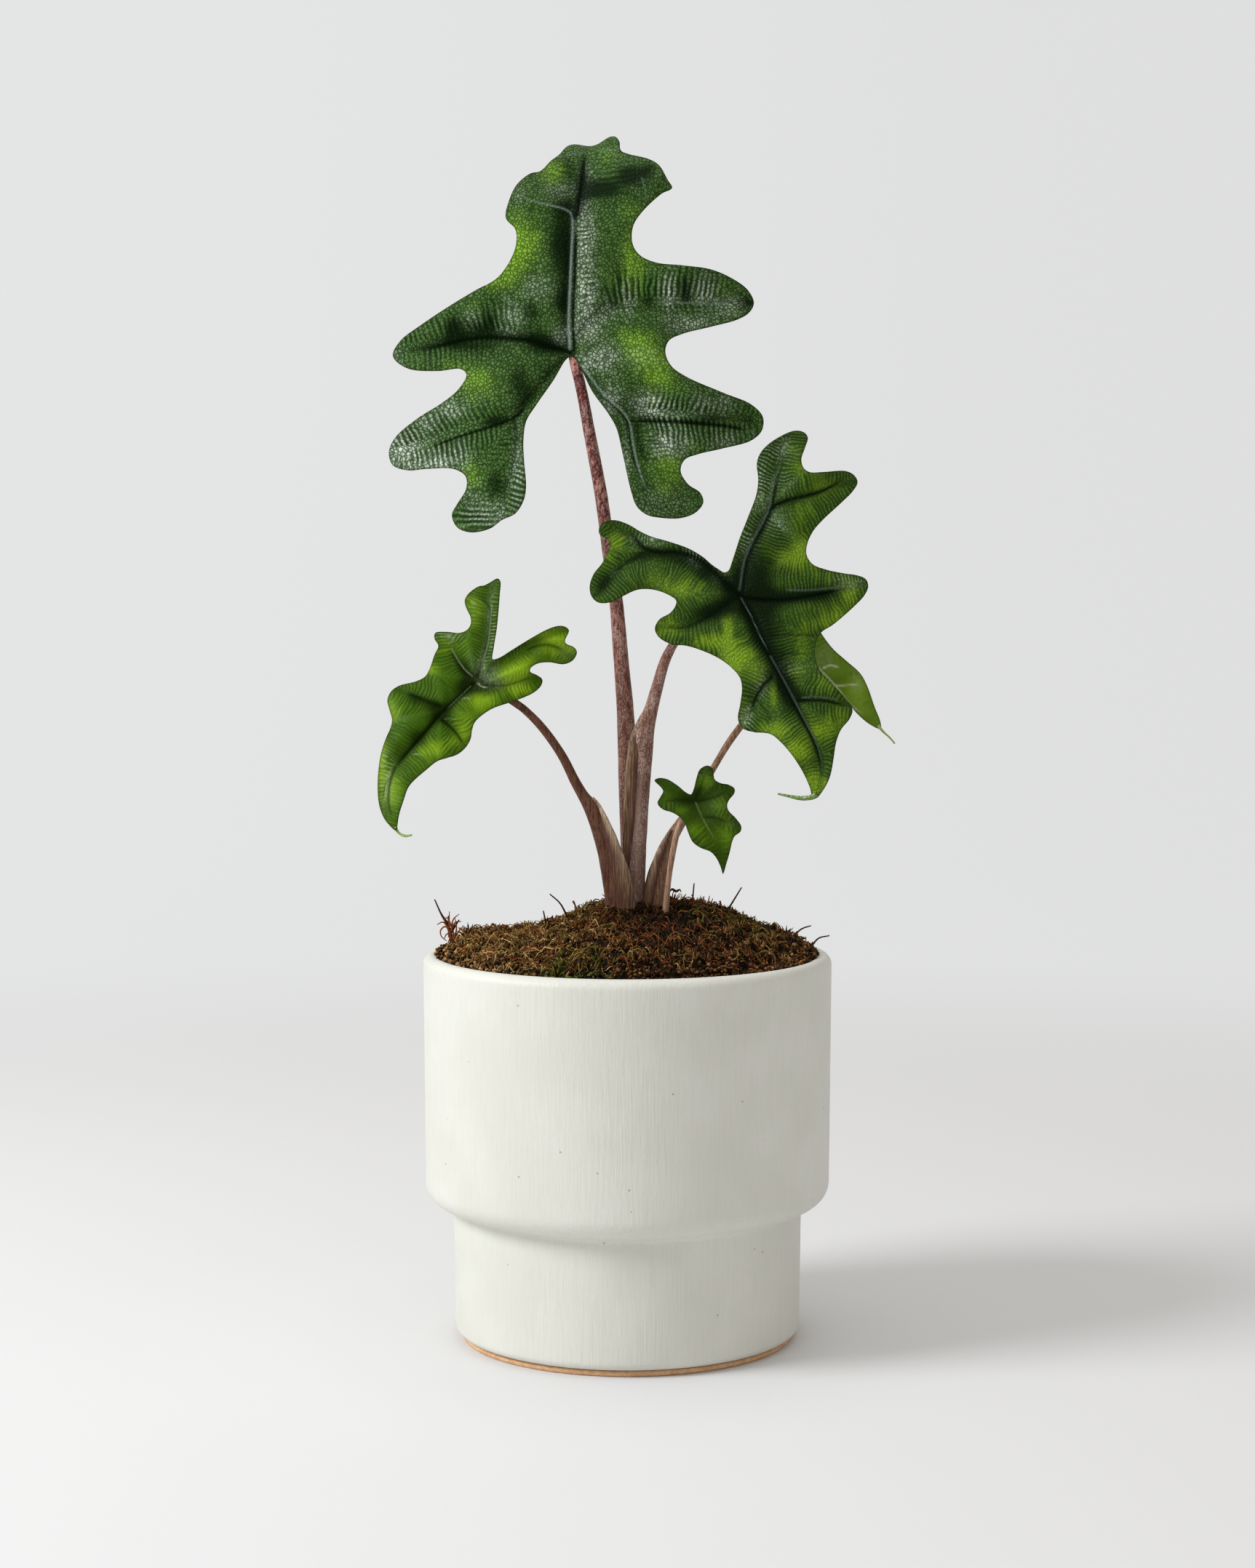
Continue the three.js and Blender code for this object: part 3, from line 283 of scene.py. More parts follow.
# Moss colours: sunlit is a painted highlight, and pit and cleft are painted shade
MOSS_TONES = {
    "ground": "261a0d", "ground_rust": "512c14", "ground_green": "262b0c",
    "crown": "b07a48", "crown_rust": "c47a4e", "crown_green": "868432",
    "sunlit": "d6a669", "pit": "120b05", "cleft": "0c0703",
}
# Painted shade for the crowns where the painted light is low
MOSS_SHADE = (0.01, 0.008, 0.004, 1)
FIBRE_TONES = {"dark": "1a0f07", "rust": "8a4a20", "olive": "6a6424", "straw": "d8b46e", "shade": "241408"}
GLAZE_TONES = {"light": "dfdfd7", "dim": "dadad1", "streak": "cac9bd", "pit": "857d6c"}

# Plain grains: two colours, size, depth and roughness
PAD_GRAIN = ("cfa077", "e2bb92", 2.0, 0.2, 0.9)
MIX_GRAIN = ("1d150f", "3a2a1c", 2.5, 0.8, 0.95)
CORM_GRAIN = ("4a3324", "6b4c36", 1.5, 0.6, 0.9)

# Studio, in metres: floor that fades into a backdrop, a cove behind, and the lamps (place, size, power)
FLOOR_COLOUR = "e4e4e5"
# The backdrop is an even glow, made a little darker to the right as painted shade
BACKDROP_LEFT = (0.775, 0.782, 0.78, 1)
BACKDROP_RIGHT = (0.735, 0.741, 0.738, 1)
BACKDROP_HALF = 0.7
FLOOR_FADE = (0.35, 1.1)
FLOOR_RINGS = (0.05, 0.5, 1.7)
COVE_RADIUS = 1.2
WALL_TOP = 4.0
STUDIO_SEGMENTS = 96
COVE_STEPS = 24
SKY_COLOUR = (1.03, 0.99, 0.935, 1)
SKY_STRENGTH = 0.49
LAMPS = {"key": ((-1.47, -0.56, 1.15), 0.8, 26), "top": ((0.1, 0.1, 2.0), 1.6, 8)}
LAMP_COLOUR = (0.975, 1.0, 1.02)
LAMP_AIM = (0, 0, 0.22)

# Leaves, as the frame's own blades have them: rim and veins as drawn x and z, drip tips as x, z, lift
# and half width. A veinSide of 1 turns the top to the eye, and one of -1 the raised veins.
LEAVES = {
    "tall": {
        "heart": (-20.5, 362), "axis": (0, 1), "depth": 4, "lean": (0, 0.3), "droop": 0.0042, "roll": 0,
        "wave": (1.5, 0.17, 0.12), "crease": {"height": 412, "spread": 0.4, "slope": 0.9}, "veinSide": 1,
        "bend": {"height": 433.8, "rise": 0.12, "radius": 13, "from": 0.88, "to": 2.6},
        "rim": [
            (-85.2, 361), (-82.2, 366.2), (-75, 371.6), (-65, 378.2), (-55, 384.2), (-47.7, 388.2),
            (-43.2, 393.7), (-40.4, 400.5), (-40.6, 406), (-44, 410), (-43, 415.8), (-40, 422), (-35, 426),
            (-31.7, 426.7), (-28, 430.2), (-24.5, 433.8), (-22.5, 438), (-19, 447), (-14.6, 458),
            (-12.3, 464), (-11.2, 469), (-10, 464), (-8.6, 458), (-5.4, 447), (-2.9, 438.5), (-2.4, 434.2),
            (0, 433), (7.7, 431.1), (11.4, 428.9), (14.5, 423.7), (16.1, 420.8), (12.4, 418.8), (5, 411.9),
            (2, 407), (1.8, 401), (4.2, 397), (10, 394.2), (20, 393.1), (30, 391.7), (37.7, 388.5),
            (43.5, 384.3), (45.8, 379.6), (44.2, 376.2), (40, 373.7), (30, 371), (20, 368.5), (15, 366),
            (13.7, 362), (15.8, 357), (21.2, 353.1), (34.9, 347.2), (45, 343), (49.2, 338.5), (48.8, 333.5),
            (45, 330), (35, 327.2), (25.6, 325), (20.8, 323), (19.3, 319), (22, 314.2), (26.5, 311),
            (27.6, 307.5), (25, 304), (19.5, 301.9), (12, 302), (7, 303.1), (3.3, 306.3), (1.2, 312.1),
            (-1.6, 324.6), (-4, 334.5), (-6.9, 339.7), (-12.8, 347.8), (-16.3, 354.8), (-18.6, 358.9),
            (-20.5, 360.3), (-22.2, 359.4), (-27, 351.7), (-33, 343.2), (-36.9, 336.9), (-37.9, 330),
            (-37.7, 322.8), (-37, 313), (-38, 308), (-41, 303.5), (-45.8, 301.2), (-50.2, 298.1),
            (-57.2, 296.7), (-62, 298.4), (-64, 303), (-61.9, 307.2), (-58.8, 312.5), (-59, 317),
            (-63.3, 319.7), (-73.6, 319.7), (-80, 319.2), (-85.4, 321), (-86.8, 325.7), (-84.5, 331),
            (-76.3, 338), (-67.5, 343.5), (-61.5, 348.4), (-58.5, 353.8), (-60.5, 355.8), (-69, 355.1),
            (-79.2, 355.8), (-84, 358.6),
        ],
        "veins": [
            [(-20.5, 362), (-21.4, 372), (-20.4, 394), (-20, 411), (-17, 414), (-15.4, 430), (-12, 458)],
            [(-20.5, 362), (-35, 367), (-50, 369), (-65, 366.5), (-78.5, 363.5)],
            [(-20.5, 362), (-14, 371), (-5, 377), (5, 380), (36, 380)],
            [(-20.5, 362), (-30, 350), (-40, 339), (-39.7, 331.5), (-44, 312)],
            [(-40, 339), (-59, 334.2), (-77, 328)],
            [(-20.5, 362), (-10, 351.4), (0, 340), (2.5, 328), (7.9, 313)],
            [(0, 340), (18.7, 339.7), (42, 337.4)],
        ],
        "tails": [],
    },
    "right": {
        "heart": (41.5, 273.5), "axis": (0.36, -0.93), "depth": -24, "lean": (0, 0.32), "droop": 0.0028,
        "roll": 0.02, "wave": (1.5, 0.18, -0.14), "veinSide": 1,
        "rim": [
            (35.3, 282.1), (33.2, 283.3), (30.7, 285), (27.6, 287.7), (22.3, 290.8), (15.2, 293.3),
            (8.6, 295.2), (4.5, 297.1), (0.2, 299.6), (-4.6, 301.1), (-8.3, 300.6), (-10.3, 298.5),
            (-10.2, 296), (-8.8, 295.1), (-7, 293.6), (-6.4, 292), (-7.3, 289.3), (-9.3, 285.4),
            (-12.4, 281.4), (-13.8, 276.8), (-13, 273.2), (-10.6, 271.1), (-6, 271.3), (-1.6, 273.5),
            (3.7, 275.8), (9.5, 275.8), (15.2, 273.8), (17.8, 271.8), (17.5, 269.8), (15.6, 267.3),
            (11.7, 265), (10, 261.7), (11.4, 258.6), (15.9, 256), (21.7, 255.3), (27.7, 253.4),
            (33.8, 250.5), (38.3, 247.1), (41.2, 243.5), (41.9, 240), (41.3, 234), (40.5, 228.5),
            (42.1, 225.2), (45.9, 223.8), (52.3, 223), (56.2, 220), (60.8, 214.6), (64.5, 208.7),
            (67, 203.2), (67.9, 199.9), (69.3, 199.5), (72, 202.7), (74.2, 207.2), (75.5, 213.3),
            (76.5, 220), (78.3, 224.7), (81.4, 228.6), (82.4, 232.1), (79.5, 236.4), (74.3, 242.1),
            (70.5, 246.2), (69, 250), (68.5, 254), (70.4, 259.7), (75.5, 263.3), (82.8, 269.7),
            (86.6, 273.8), (87.9, 277), (87, 279.6), (84, 281), (78.9, 281.8), (72.5, 283.1), (67.5, 285.1),
            (65.3, 288.6), (65.6, 292.5), (67.7, 297.1), (71, 301), (78.3, 307.8), (82.3, 311.9),
            (83.8, 314.8), (82.6, 317.3), (79.5, 318.9), (71.5, 318.6), (66.4, 318.5), (64.1, 320),
            (63.3, 323.2), (64.6, 327.3), (65.6, 331), (64.2, 332.9), (60.8, 333.5), (55.4, 331.4),
            (50.5, 328), (48, 324.8), (47.1, 321.6), (47.6, 316), (47, 310.7), (43.8, 301.9), (41, 294.8),
            (38.4, 286.8), (36.8, 282.7),
        ],
        "veins": [
            [(41.5, 273.5), (50.6, 254.7), (60.3, 235.8), (68.3, 220.3), (71.3, 213), (70.5, 203)],
            [(41.5, 273.5), (41.4, 282.5), (46, 293.9), (51.6, 305.7), (53.9, 315.7), (56.5, 326)],
            [(51.6, 305.7), (63.6, 309.1), (76, 313.2)],
            [(41.5, 273.5), (51.5, 272), (65.7, 274), (80, 276.8)],
            [(41.5, 273.5), (30, 281.6), (19.7, 287.4), (9.9, 289.6), (3.8, 293), (-3.3, 297.9)],
            [(9.9, 289.6), (-1, 285), (-8, 278)], [(41.5, 273.5), (30, 266.5), (20.4, 262.8), (13, 262.2)],
            [(53.5, 246), (47, 235.7), (44.5, 231)], [(60, 236.5), (69, 235.5), (79, 234)],
        ],
        "tails": [
            [(69.4, 200.8, 0, 1.2), (67.4, 199.7, 0.2, 0.95), (63.6, 199.4, 0.6, 0.8), (59, 200.2, 1, 0.5),
              (55.2, 201, 1.2, 0.32)],
        ],
    },
    "left": {
        "heart": (-55.5, 243), "axis": (-0.473, -0.881), "depth": -22, "lean": (0.1, 0.3), "droop": 0.0055,
        "roll": 0.06, "wave": (1.2, 0.22, 0.18), "veinSide": 1,
        "rim": [
            (-49.4, 250.4), (-48.8, 255.5), (-47.8, 261.6), (-47.1, 268.5), (-46.7, 274), (-46.5, 279),
            (-47.4, 279.9), (-50, 278.6), (-52.2, 277.4), (-54.6, 276.9), (-58.4, 274), (-59.5, 271.7),
            (-58.9, 269.1), (-57.3, 265.5), (-57.4, 263), (-58.8, 261), (-61.5, 260), (-66, 260.4),
            (-70.3, 260), (-70.6, 258), (-69.2, 255.3), (-70.6, 252), (-72.3, 247.1), (-74, 244.1),
            (-77.1, 242.4), (-83.8, 240.6), (-86.7, 238.4), (-87.9, 235.2), (-87.2, 232.1), (-86.2, 228),
            (-86.9, 225), (-88.5, 221.4), (-90.3, 216), (-91.3, 210.2), (-91.7, 203), (-91.2, 197),
            (-89.6, 192.3), (-87.4, 189.3), (-85, 187.4), (-84.6, 189), (-83.9, 193.4), (-82.2, 198.7),
            (-80.6, 203.1), (-78.8, 205.5), (-73.9, 209.8), (-69.8, 213), (-65.9, 214.3), (-62.4, 215.5),
            (-59.3, 218.1), (-57.5, 221.2), (-57, 224.3), (-56, 227.2), (-52.9, 230.2), (-49.1, 232.5),
            (-43.6, 234.4), (-38, 236.4), (-34, 238.4), (-31.6, 240.8), (-31.2, 243), (-33.3, 244.7),
            (-35.6, 245.8), (-35.6, 247), (-32.9, 248.8), (-28.6, 249.3), (-23.2, 248.6), (-19.8, 250.2),
            (-18.5, 253.1), (-19.6, 254.8), (-22.3, 256), (-22.9, 257), (-21.4, 261), (-22.8, 262.3),
            (-25.3, 262.6), (-29.6, 261.2), (-35.3, 258.1), (-42.6, 253.6), (-46.6, 251.1), (-48.6, 250.4),
        ],
        "veins": [
            [(-55.5, 243), (-62.3, 237.3), (-70, 228.1), (-80, 216.7), (-86.6, 207.5), (-88.3, 197)],
            [(-55.5, 243), (-53.6, 248.3), (-51.3, 259.3), (-50.9, 268.8), (-49.3, 276)],
            [(-55.5, 243), (-60.4, 248.7), (-63.5, 255.1)], [(-67.5, 231.5), (-73.8, 235), (-82.1, 238.4)],
            [(-55.5, 243), (-46, 247.5), (-38.7, 252.4), (-32.7, 255.8), (-26, 254.6), (-21.3, 251.8)],
            [(-32.7, 255.8), (-27.7, 259.6), (-24, 260.6)],
            [(-55.5, 243), (-50, 240.3), (-42, 242), (-34, 243.4)],
            [(-67.5, 229), (-63.3, 223.2), (-60.2, 219)],
        ],
        "tails": [
            [(-85.4, 188.8, 0.3, 0.7), (-84, 186.5, 0.4, 0.45), (-81.8, 185.5, 0.3, 0.5),
              (-79.2, 185.8, 0, 0.32)],
        ],
    },
    "back": {
        "heart": (69.5, 247.5), "axis": (0.72, -0.69), "depth": 12, "lean": (0.2, -0.12), "droop": -0.005,
        "roll": 0.02, "wave": (0.7, 0.28, 0.2), "veinSide": -1,
        "rim": [
            (71, 259.7), (75.2, 254.2), (80.1, 249.8), (85.2, 245.2), (88, 240), (90.5, 233), (92.6, 227.6),
            (92.8, 224.9), (88.6, 226.7), (84, 230.6), (80.5, 234.5), (76, 236), (71.5, 235), (66, 236.5),
            (64, 240.5), (59.5, 243), (56.5, 247), (58, 251.5), (62, 253.5), (60.8, 258), (62, 263),
            (66, 265.4), (69.3, 263),
        ],
        "veins": [
            [(69.5, 247.5), (76.2, 240.9), (84, 233.8), (91, 227)], [(69.5, 247.5), (76.7, 247.2)],
            [(76.2, 240.9), (84.6, 240.8)], [(69.5, 247.5), (66.5, 256), (66, 262)],
            [(69.5, 247.5), (62, 248)],
        ],
        "tails": [
            [(91.8, 226.3, 0, 0.7), (93.4, 224.2, 0.1, 0.45), (96.2, 221.6, 0.3, 0.34),
              (98, 219.5, 0.6, 0.31)],
        ],
    },
    "small": {
        "heart": (25, 198), "axis": (0.35, -0.94), "depth": -20, "lean": (0, 0.2), "droop": 0.008,
        "roll": 0.02, "wave": (0.5, 0.32, 0.24), "veinSide": 1,
        "rim": [
            (23.3, 200.8), (24.4, 203), (25.4, 207), (26.6, 210), (29.3, 211.4), (31.1, 210.5), (31.6, 208),
            (32, 206.3), (34, 205), (37, 204.4), (39.3, 202.9), (39.2, 201.2), (37.4, 198.9), (36.6, 197),
            (37, 195), (39.8, 192), (41.8, 189), (41.5, 187.1), (39.4, 185.4), (38.5, 183.4), (37.6, 179.6),
            (36.3, 175.1), (35.1, 171.4), (34.3, 173.9), (32.7, 177.3), (30.6, 179.6), (26.8, 181.1),
            (24, 183.2), (22.5, 186.2), (21.2, 189.7), (19.6, 192), (16.7, 194), (12.8, 195.4), (11, 197.6),
            (12.2, 200.1), (13.1, 202), (12.2, 203.5), (9.9, 206), (11.5, 206.8), (14.5, 206.4),
            (18.3, 204.1), (21.5, 201.5),
        ],
        "veins": [
            [(25, 198), (29.3, 189.7), (33.7, 181.8), (35, 175)], [(25, 198), (27.4, 203.5), (28.7, 208.2)],
            [(25, 198), (31.5, 200.5), (37, 202.3)], [(27.7, 193.8), (33, 191.5), (40, 189.2)],
            [(25, 198), (18, 199), (13.5, 198.2)], [(21, 199.4), (16.7, 202.4), (12.6, 205.2)],
        ],
        "tails": [],
    },
}

# Each stem from the corm up: drawn x and z, depth y or the leaf it lies against, half width and half depth
STEMS = {
    "tall": [
        (2.2, 133, 4.2, 3.4, 3), (1.8, 160, 4.4, 3.6, 3.1), (1.2, 180, 4.5, 3.6, 3.1),
        (0.4, 200, 4.8, 3.5, 3), (-0.3, 220, 5.2, 3.3, 2.9), (-1.05, 235, 5.6, 3.05, 2.8),
        (-1.9, 245, 5.8, 2.8, 2.7), (-2.7, 254.7, 6, 2.7, 2.6), (-4.2, 272, 6.4, 2.45, 2.4),
        (-6.6, 288, 6.6, 2.38, 2.3), (-9.6, 310, 6.8, 2.3, 2.2), (-13.3, 330, 7, 2.15, 2.1),
        (-17.1, 350, 7.2, 1.95, 1.9), (-18.9, 357, "tall", 1.85, 1.8), (-20.3, 365, "tall", 1.7, 1.5),
        (-20.8, 374, "tall", 1.2, 1), (-20.8, 381, "tall", 0.7, 0.6),
    ],
    "right": [
        (3.2, 133, -3.4, 3.8, 2.6), (2.3, 150, -3.6, 4.2, 2.7), (2, 165, -3.6, 4.4, 2.7),
        (2.3, 180, -3.5, 4.5, 2.7), (3.2, 195, -3.3, 4.4, 2.7), (3.9, 205, -3.2, 4.4, 2.7),
        (4.45, 214, -3.3, 4.6, 2.7), (5.25, 221, -3.8, 4.3, 2.6), (6.9, 227, -4.6, 3.3, 2.4),
        (8.35, 231, -5.4, 2.6, 2.2), (10.8, 240, -7.5, 2.1, 2), (13.8, 250, -10.5, 1.85, 1.8),
        (16.9, 256, -12.6, 1.6, 1.6), (24.5, 265.5, "right", 1.6, 1.5), (32, 271.5, "right", 1.6, 1.4),
        (38.5, 274.2, "right", 1.4, 1.2), (42, 272.6, "right", 0.9, 0.9),
    ],
    "left": [
        (-1, 133, -10, 4.6, 2.4), (-2.5, 150, -10, 5.2, 2.5), (-3.2, 165, -10, 5.3, 2.5),
        (-5.3, 175, -10, 4.85, 2.5), (-6.7, 180, -10, 4.3, 2.5), (-8.35, 185, -10.1, 4, 2.4),
        (-10.25, 190, -10.3, 3.6, 2.4), (-12.6, 195, -10.6, 3.1, 2.3), (-15.8, 199.6, -11, 2.1, 2),
        (-18.95, 205, -11.6, 1.8, 1.8), (-24, 215, -13, 1.6, 1.6), (-31, 225, -15, 1.5, 1.5),
        (-37.6, 231.8, -16.8, 1.4, 1.4), (-42, 235, "left", 1.4, 1.3), (-48.3, 239, "left", 1.35, 1.2),
        (-54, 242.4, "left", 1.1, 0.9),
    ],
    "back": [
        (9.8, 133, -4.6, 2.6, 2.3), (9.3, 150, -4.8, 3.6, 2.4), (9.3, 160, -4.8, 3.8, 2.4),
        (10.75, 170, -4.6, 3.6, 2.4), (12.4, 176, -4.2, 3, 2.3), (14.1, 180.5, -3.8, 2.6, 2.2),
        (16.6, 185.5, -3.2, 2.3, 2), (19.4, 190, -2.6, 1.9, 1.8), (23.8, 197, -1.4, 1.5, 1.5),
        (31.6, 210.6, 1.6, 1.2, 1.2), (38.3, 221.5, 4.4, 1.27, 1.25), (50, 236, 8, 1.3, 1.25),
        (59.5, 244.3, "back", 1.25, 1.2), (66, 247.4, "back", 1, 0.9),
    ],
    "small": [
        (11.2, 133, -11.4, 1.1, 1.1), (13.5, 150, -13, 1.1, 1.1), (14.2, 160, -13.2, 1.15, 1.1),
        (15.2, 170, -13.4, 1, 1), (16.4, 178, -13.8, 1.1, 1), (18.3, 187, -14.8, 1.1, 1),
        (20.6, 192, -15.8, 1.05, 1), (23, 195.4, "small", 1, 0.9), (25.2, 197.8, "small", 0.9, 0.8),
    ],
}

# Twigs that stand out of the mound: x, z, y and half thickness
TWIGS = [
    [(-64.5, 145, 0, 1.1), (-66.2, 152.5, 0, 0.9), (-68.6, 156.6, 0, 0.5), (-71, 162, 0, 0.32)],
    [(-65.5, 148, 0, 0.9), (-66, 156, 1, 0.32)], [(-65.5, 149, 0, 0.8), (-62, 154.5, -1, 0.32)],
    [(-21.5, 154, -2, 0.6), (-24.8, 160.5, -3, 0.4), (-28.6, 164, -4, 0.32)],
    [(-29.6, 151, -4, 0.6), (-31, 157.8, -5, 0.32)], [(23.6, 158, 2, 0.5), (24.5, 168, 3, 0.32)],
    [(35, 155, 3, 0.6), (42, 166.5, 4, 0.32)],
    [(59, 146, 2, 0.6), (64, 151, 2, 0.4), (67.6, 152.3, 2, 0.32)],
    [(67, 143.6, 0, 0.6), (70.4, 147.6, 0, 0.4), (74.4, 148.6, 0, 0.32)],
]

# For each leaf in mm: mesh spacing, pitch and height of its ridges, length of the beads on them, how far
# from the heart the ridges fade in, and the dark sides of its veins (reach near the heart, reach near
# the tip, strength). Then how strong its pebbling, painted shade in the gaps, painted highlights on the
# tips, shine, streaks and wavering are.
BLADE_LOOKS = {
    "tall": {
        "spacing": 0.55, "pitch": 1.95, "ridge": 0.13, "bead": 1.3, "fade": (0, 1), "deep": (3.0, 1.5, 0.3),
        "pebble": 0.85, "gap_shade": 0.95, "tips": 0.18, "shine": 0.12, "streak": 0.25, "waver": 0.7,
    },
    "right": {
        "spacing": 0.5, "pitch": 1.35, "ridge": 0.06, "bead": 1.4, "fade": (5, 20), "deep": (5.0, 2.0, 0.5),
        "pebble": 0.65, "gap_shade": 0.55, "tips": 0.12, "shine": 0.1, "streak": 0.7, "waver": 1.0,
    },
    "left": {
        "spacing": 0.45, "pitch": 1.3, "ridge": 0.05, "bead": 5.0, "fade": (3, 10), "deep": (3.2, 1.5, 0.5),
        "pebble": 0.3, "gap_shade": 0.3, "tips": 0.0, "shine": 0.12, "streak": 0.6, "waver": 1.0,
    },
    "back": {
        "spacing": 0.45, "pitch": 2.4, "ridge": 0.03, "bead": 4.0, "fade": (4, 12), "deep": (3.0, 2.0, 0.0),
        "pebble": 0.2, "gap_shade": 0.2, "tips": 0.0, "shine": 0.08, "streak": 0.5, "waver": 0.5,
    },
    "small": {
        "spacing": 0.42, "pitch": 1.8, "ridge": 0.03, "bead": 4.0, "fade": (3, 10),
        "deep": (3.0, 1.4, 0.35), "pebble": 0.25, "gap_shade": 0.18, "tips": 0.0, "shine": 0.1, "streak": 0.45,
        "waver": 0.5,
    },
}

# Sunken dark lines on each blade, dark in their own colour and with painted shade in the groove: drawn
# points, half width at the start and at the end, strength
GROOVES = {
    "tall": [
        ([(-19.2, 362.5), (-19.7, 372), (-18.9, 394), (-18.4, 411)], 0.75, 0.92, 1),
        ([(-18.4, 411), (-17.4, 417), (-16.5, 423), (-15.9, 428), (-15.1, 434)], 1.25, 0.92, 0.95),
        ([(-21.9, 364), (-22.8, 372), (-21.9, 394), (-21.3, 409)], 1.75, 1.38, 0.6),
        ([(-20.5, 362), (-28.4, 363.9), (-35.3, 366), (-43.3, 366.9), (-51.3, 367.1), (-59.3, 366.2),
          (-67.3, 364.3), (-75.2, 362.8), (-80, 362.2)], 1.88, 0.69, 1),
        ([(-20.5, 362), (-18, 369), (-13, 375), (-7, 381)], 0.88, 0.57, 0.5),
        ([(-7, 379.5), (4, 377.5), (18, 378), (34, 378.4)], 0.75, 0.57, 0.35),
        ([(-21.5, 361), (-24.7, 358), (-33, 349), (-41.5, 339)], 1.5, 1.03, 0.55),
        ([(-38, 341), (-41.7, 337.8), (-49.7, 334.9), (-56.6, 332.8), (-63.5, 330.5), (-72, 327.3)], 0.88,
          0.52, 1),
        ([(-41.5, 338), (-40.4, 331), (-41.5, 322), (-43.5, 312)], 1, 0.57, 0.4),
        ([(-20, 361), (-17.6, 357), (-10, 346.8), (-0.6, 337.2), (1, 329.6), (2.4, 322.5), (5, 315)], 0.62,
          0.46, 0.8),
        ([(0, 337), (9, 336.9), (18, 336.7), (25, 336.4)], 0.5, 1.03, 1),
        ([(20, 336.6), (32, 335.5), (38.3, 334.7), (44, 333.6)], 1.12, 0.69, 1),
        ([(3.4, 336), (4.4, 329), (6.3, 322)], 2, 1.38, 0.7),
    ],
    "right": [
        ([(40.7, 274), (44.1, 268.2), (47.6, 260.7), (51.6, 252.6), (56.3, 243.9), (60.3, 235.8),
          (63.8, 228.8), (67.8, 221.3), (70.2, 214.9), (71.3, 209.2), (71.5, 204)], 2.12, 0.69, 1),
        ([(41.3, 275), (42.6, 282.3), (44, 287.5), (46.8, 293.7), (50.2, 300), (52.5, 305), (53.6, 310.8),
          (55.2, 317.7), (57, 322)], 1.62, 0.57, 0.9),
        ([(51.8, 304.4), (53.7, 306.3), (59.4, 308.6), (65.7, 310.1), (70.8, 311.7), (75.2, 313.9),
          (78.5, 316)], 1.25, 0.57, 0.95),
        ([(41.3, 273), (49.9, 272.1), (59.4, 272.3), (65.7, 273.3), (74, 274.9), (80.3, 276)], 1.38, 0.69,
          1),
        ([(40, 274.5), (33, 281), (27, 286), (19, 289.3), (11, 289.6), (6, 291), (1.5, 296), (-3.5, 298.5)],
          2.25, 0.8, 0.9),
        ([(7, 290), (3, 287.5), (-1.5, 284.9), (-6, 280.5)], 1.12, 0.69, 0.6),
        ([(40, 273), (31, 266.8), (21.5, 262), (12.3, 262.4)], 1.5, 0.57, 0.65),
        ([(52.8, 243.9), (48.2, 238.7), (45.3, 231.2)], 0.88, 0.57, 0.9),
        ([(47.6, 235.8), (50.5, 231.5), (54, 227.7)], 0.62, 0.46, 0.5),
        ([(60.9, 234.9), (67.8, 235.3), (73.6, 234.9), (80, 233.2)], 0.88, 0.46, 0.9),
        ([(52.8, 258.9), (61, 259.2), (69.6, 258.9)], 0.62, 0.46, 0.6),
        ([(57, 252.2), (63, 252.4), (68.5, 252)], 0.5, 0.34, 0.5),
    ],
    "left": [
        ([(-56.2, 241.6), (-63.4, 234.8), (-68.5, 230.4), (-74.9, 222.8), (-79.9, 217.1), (-85.5, 210.2)],
          1.25, 0.69, 1),
        ([(-85.3, 210.5), (-87, 205), (-87.6, 199), (-86.6, 192)], 0.62, 0.34, 0.75),
        ([(-86.2, 208), (-88.8, 204), (-89.6, 198)], 0.44, 0.29, 0.6),
        ([(-55.2, 243.7), (-53.3, 248.8), (-51.4, 254.5), (-50.1, 262.1), (-50.1, 269.1), (-53.3, 272.4)],
          1, 0.46, 0.75),
        ([(-56.5, 243.5), (-60.6, 247.2), (-64.8, 254.5)], 1.38, 0.8, 0.8),
        ([(-50, 248.5), (-40, 254.6), (-30.5, 258.4)], 1.75, 0.92, 0.5),
        ([(-36, 254), (-32, 255.4), (-27.9, 255.4), (-22.9, 253.6)], 0.62, 0.46, 0.6),
        ([(-53, 241), (-44.4, 240.7), (-38.1, 242.7), (-34.5, 243.9)], 0.5, 0.34, 0.55),
        ([(-68.5, 233.2), (-74.9, 235.6), (-81.2, 238)], 1.25, 0.69, 0.8),
        ([(-67.9, 227.9), (-63.4, 224.1), (-60.3, 219.6)], 0.75, 0.46, 0.85),
    ],
    "back": [([(69.5, 247.5), (62, 248)], 0.5, 0.34, 0.4)],
    "small": [
        ([(28, 192.3), (32.3, 192.2), (36.6, 190.5)], 0.75, 0.46, 0.6),
        ([(25.3, 198), (31, 199.3), (37, 202)], 0.75, 0.46, 0.55),
        ([(25, 198), (18.5, 198.6), (13.5, 198.2)], 0.88, 0.46, 0.5),
        ([(25.2, 198.6), (27, 203.5), (28.4, 208)], 0.62, 0.34, 0.4),
    ],
}

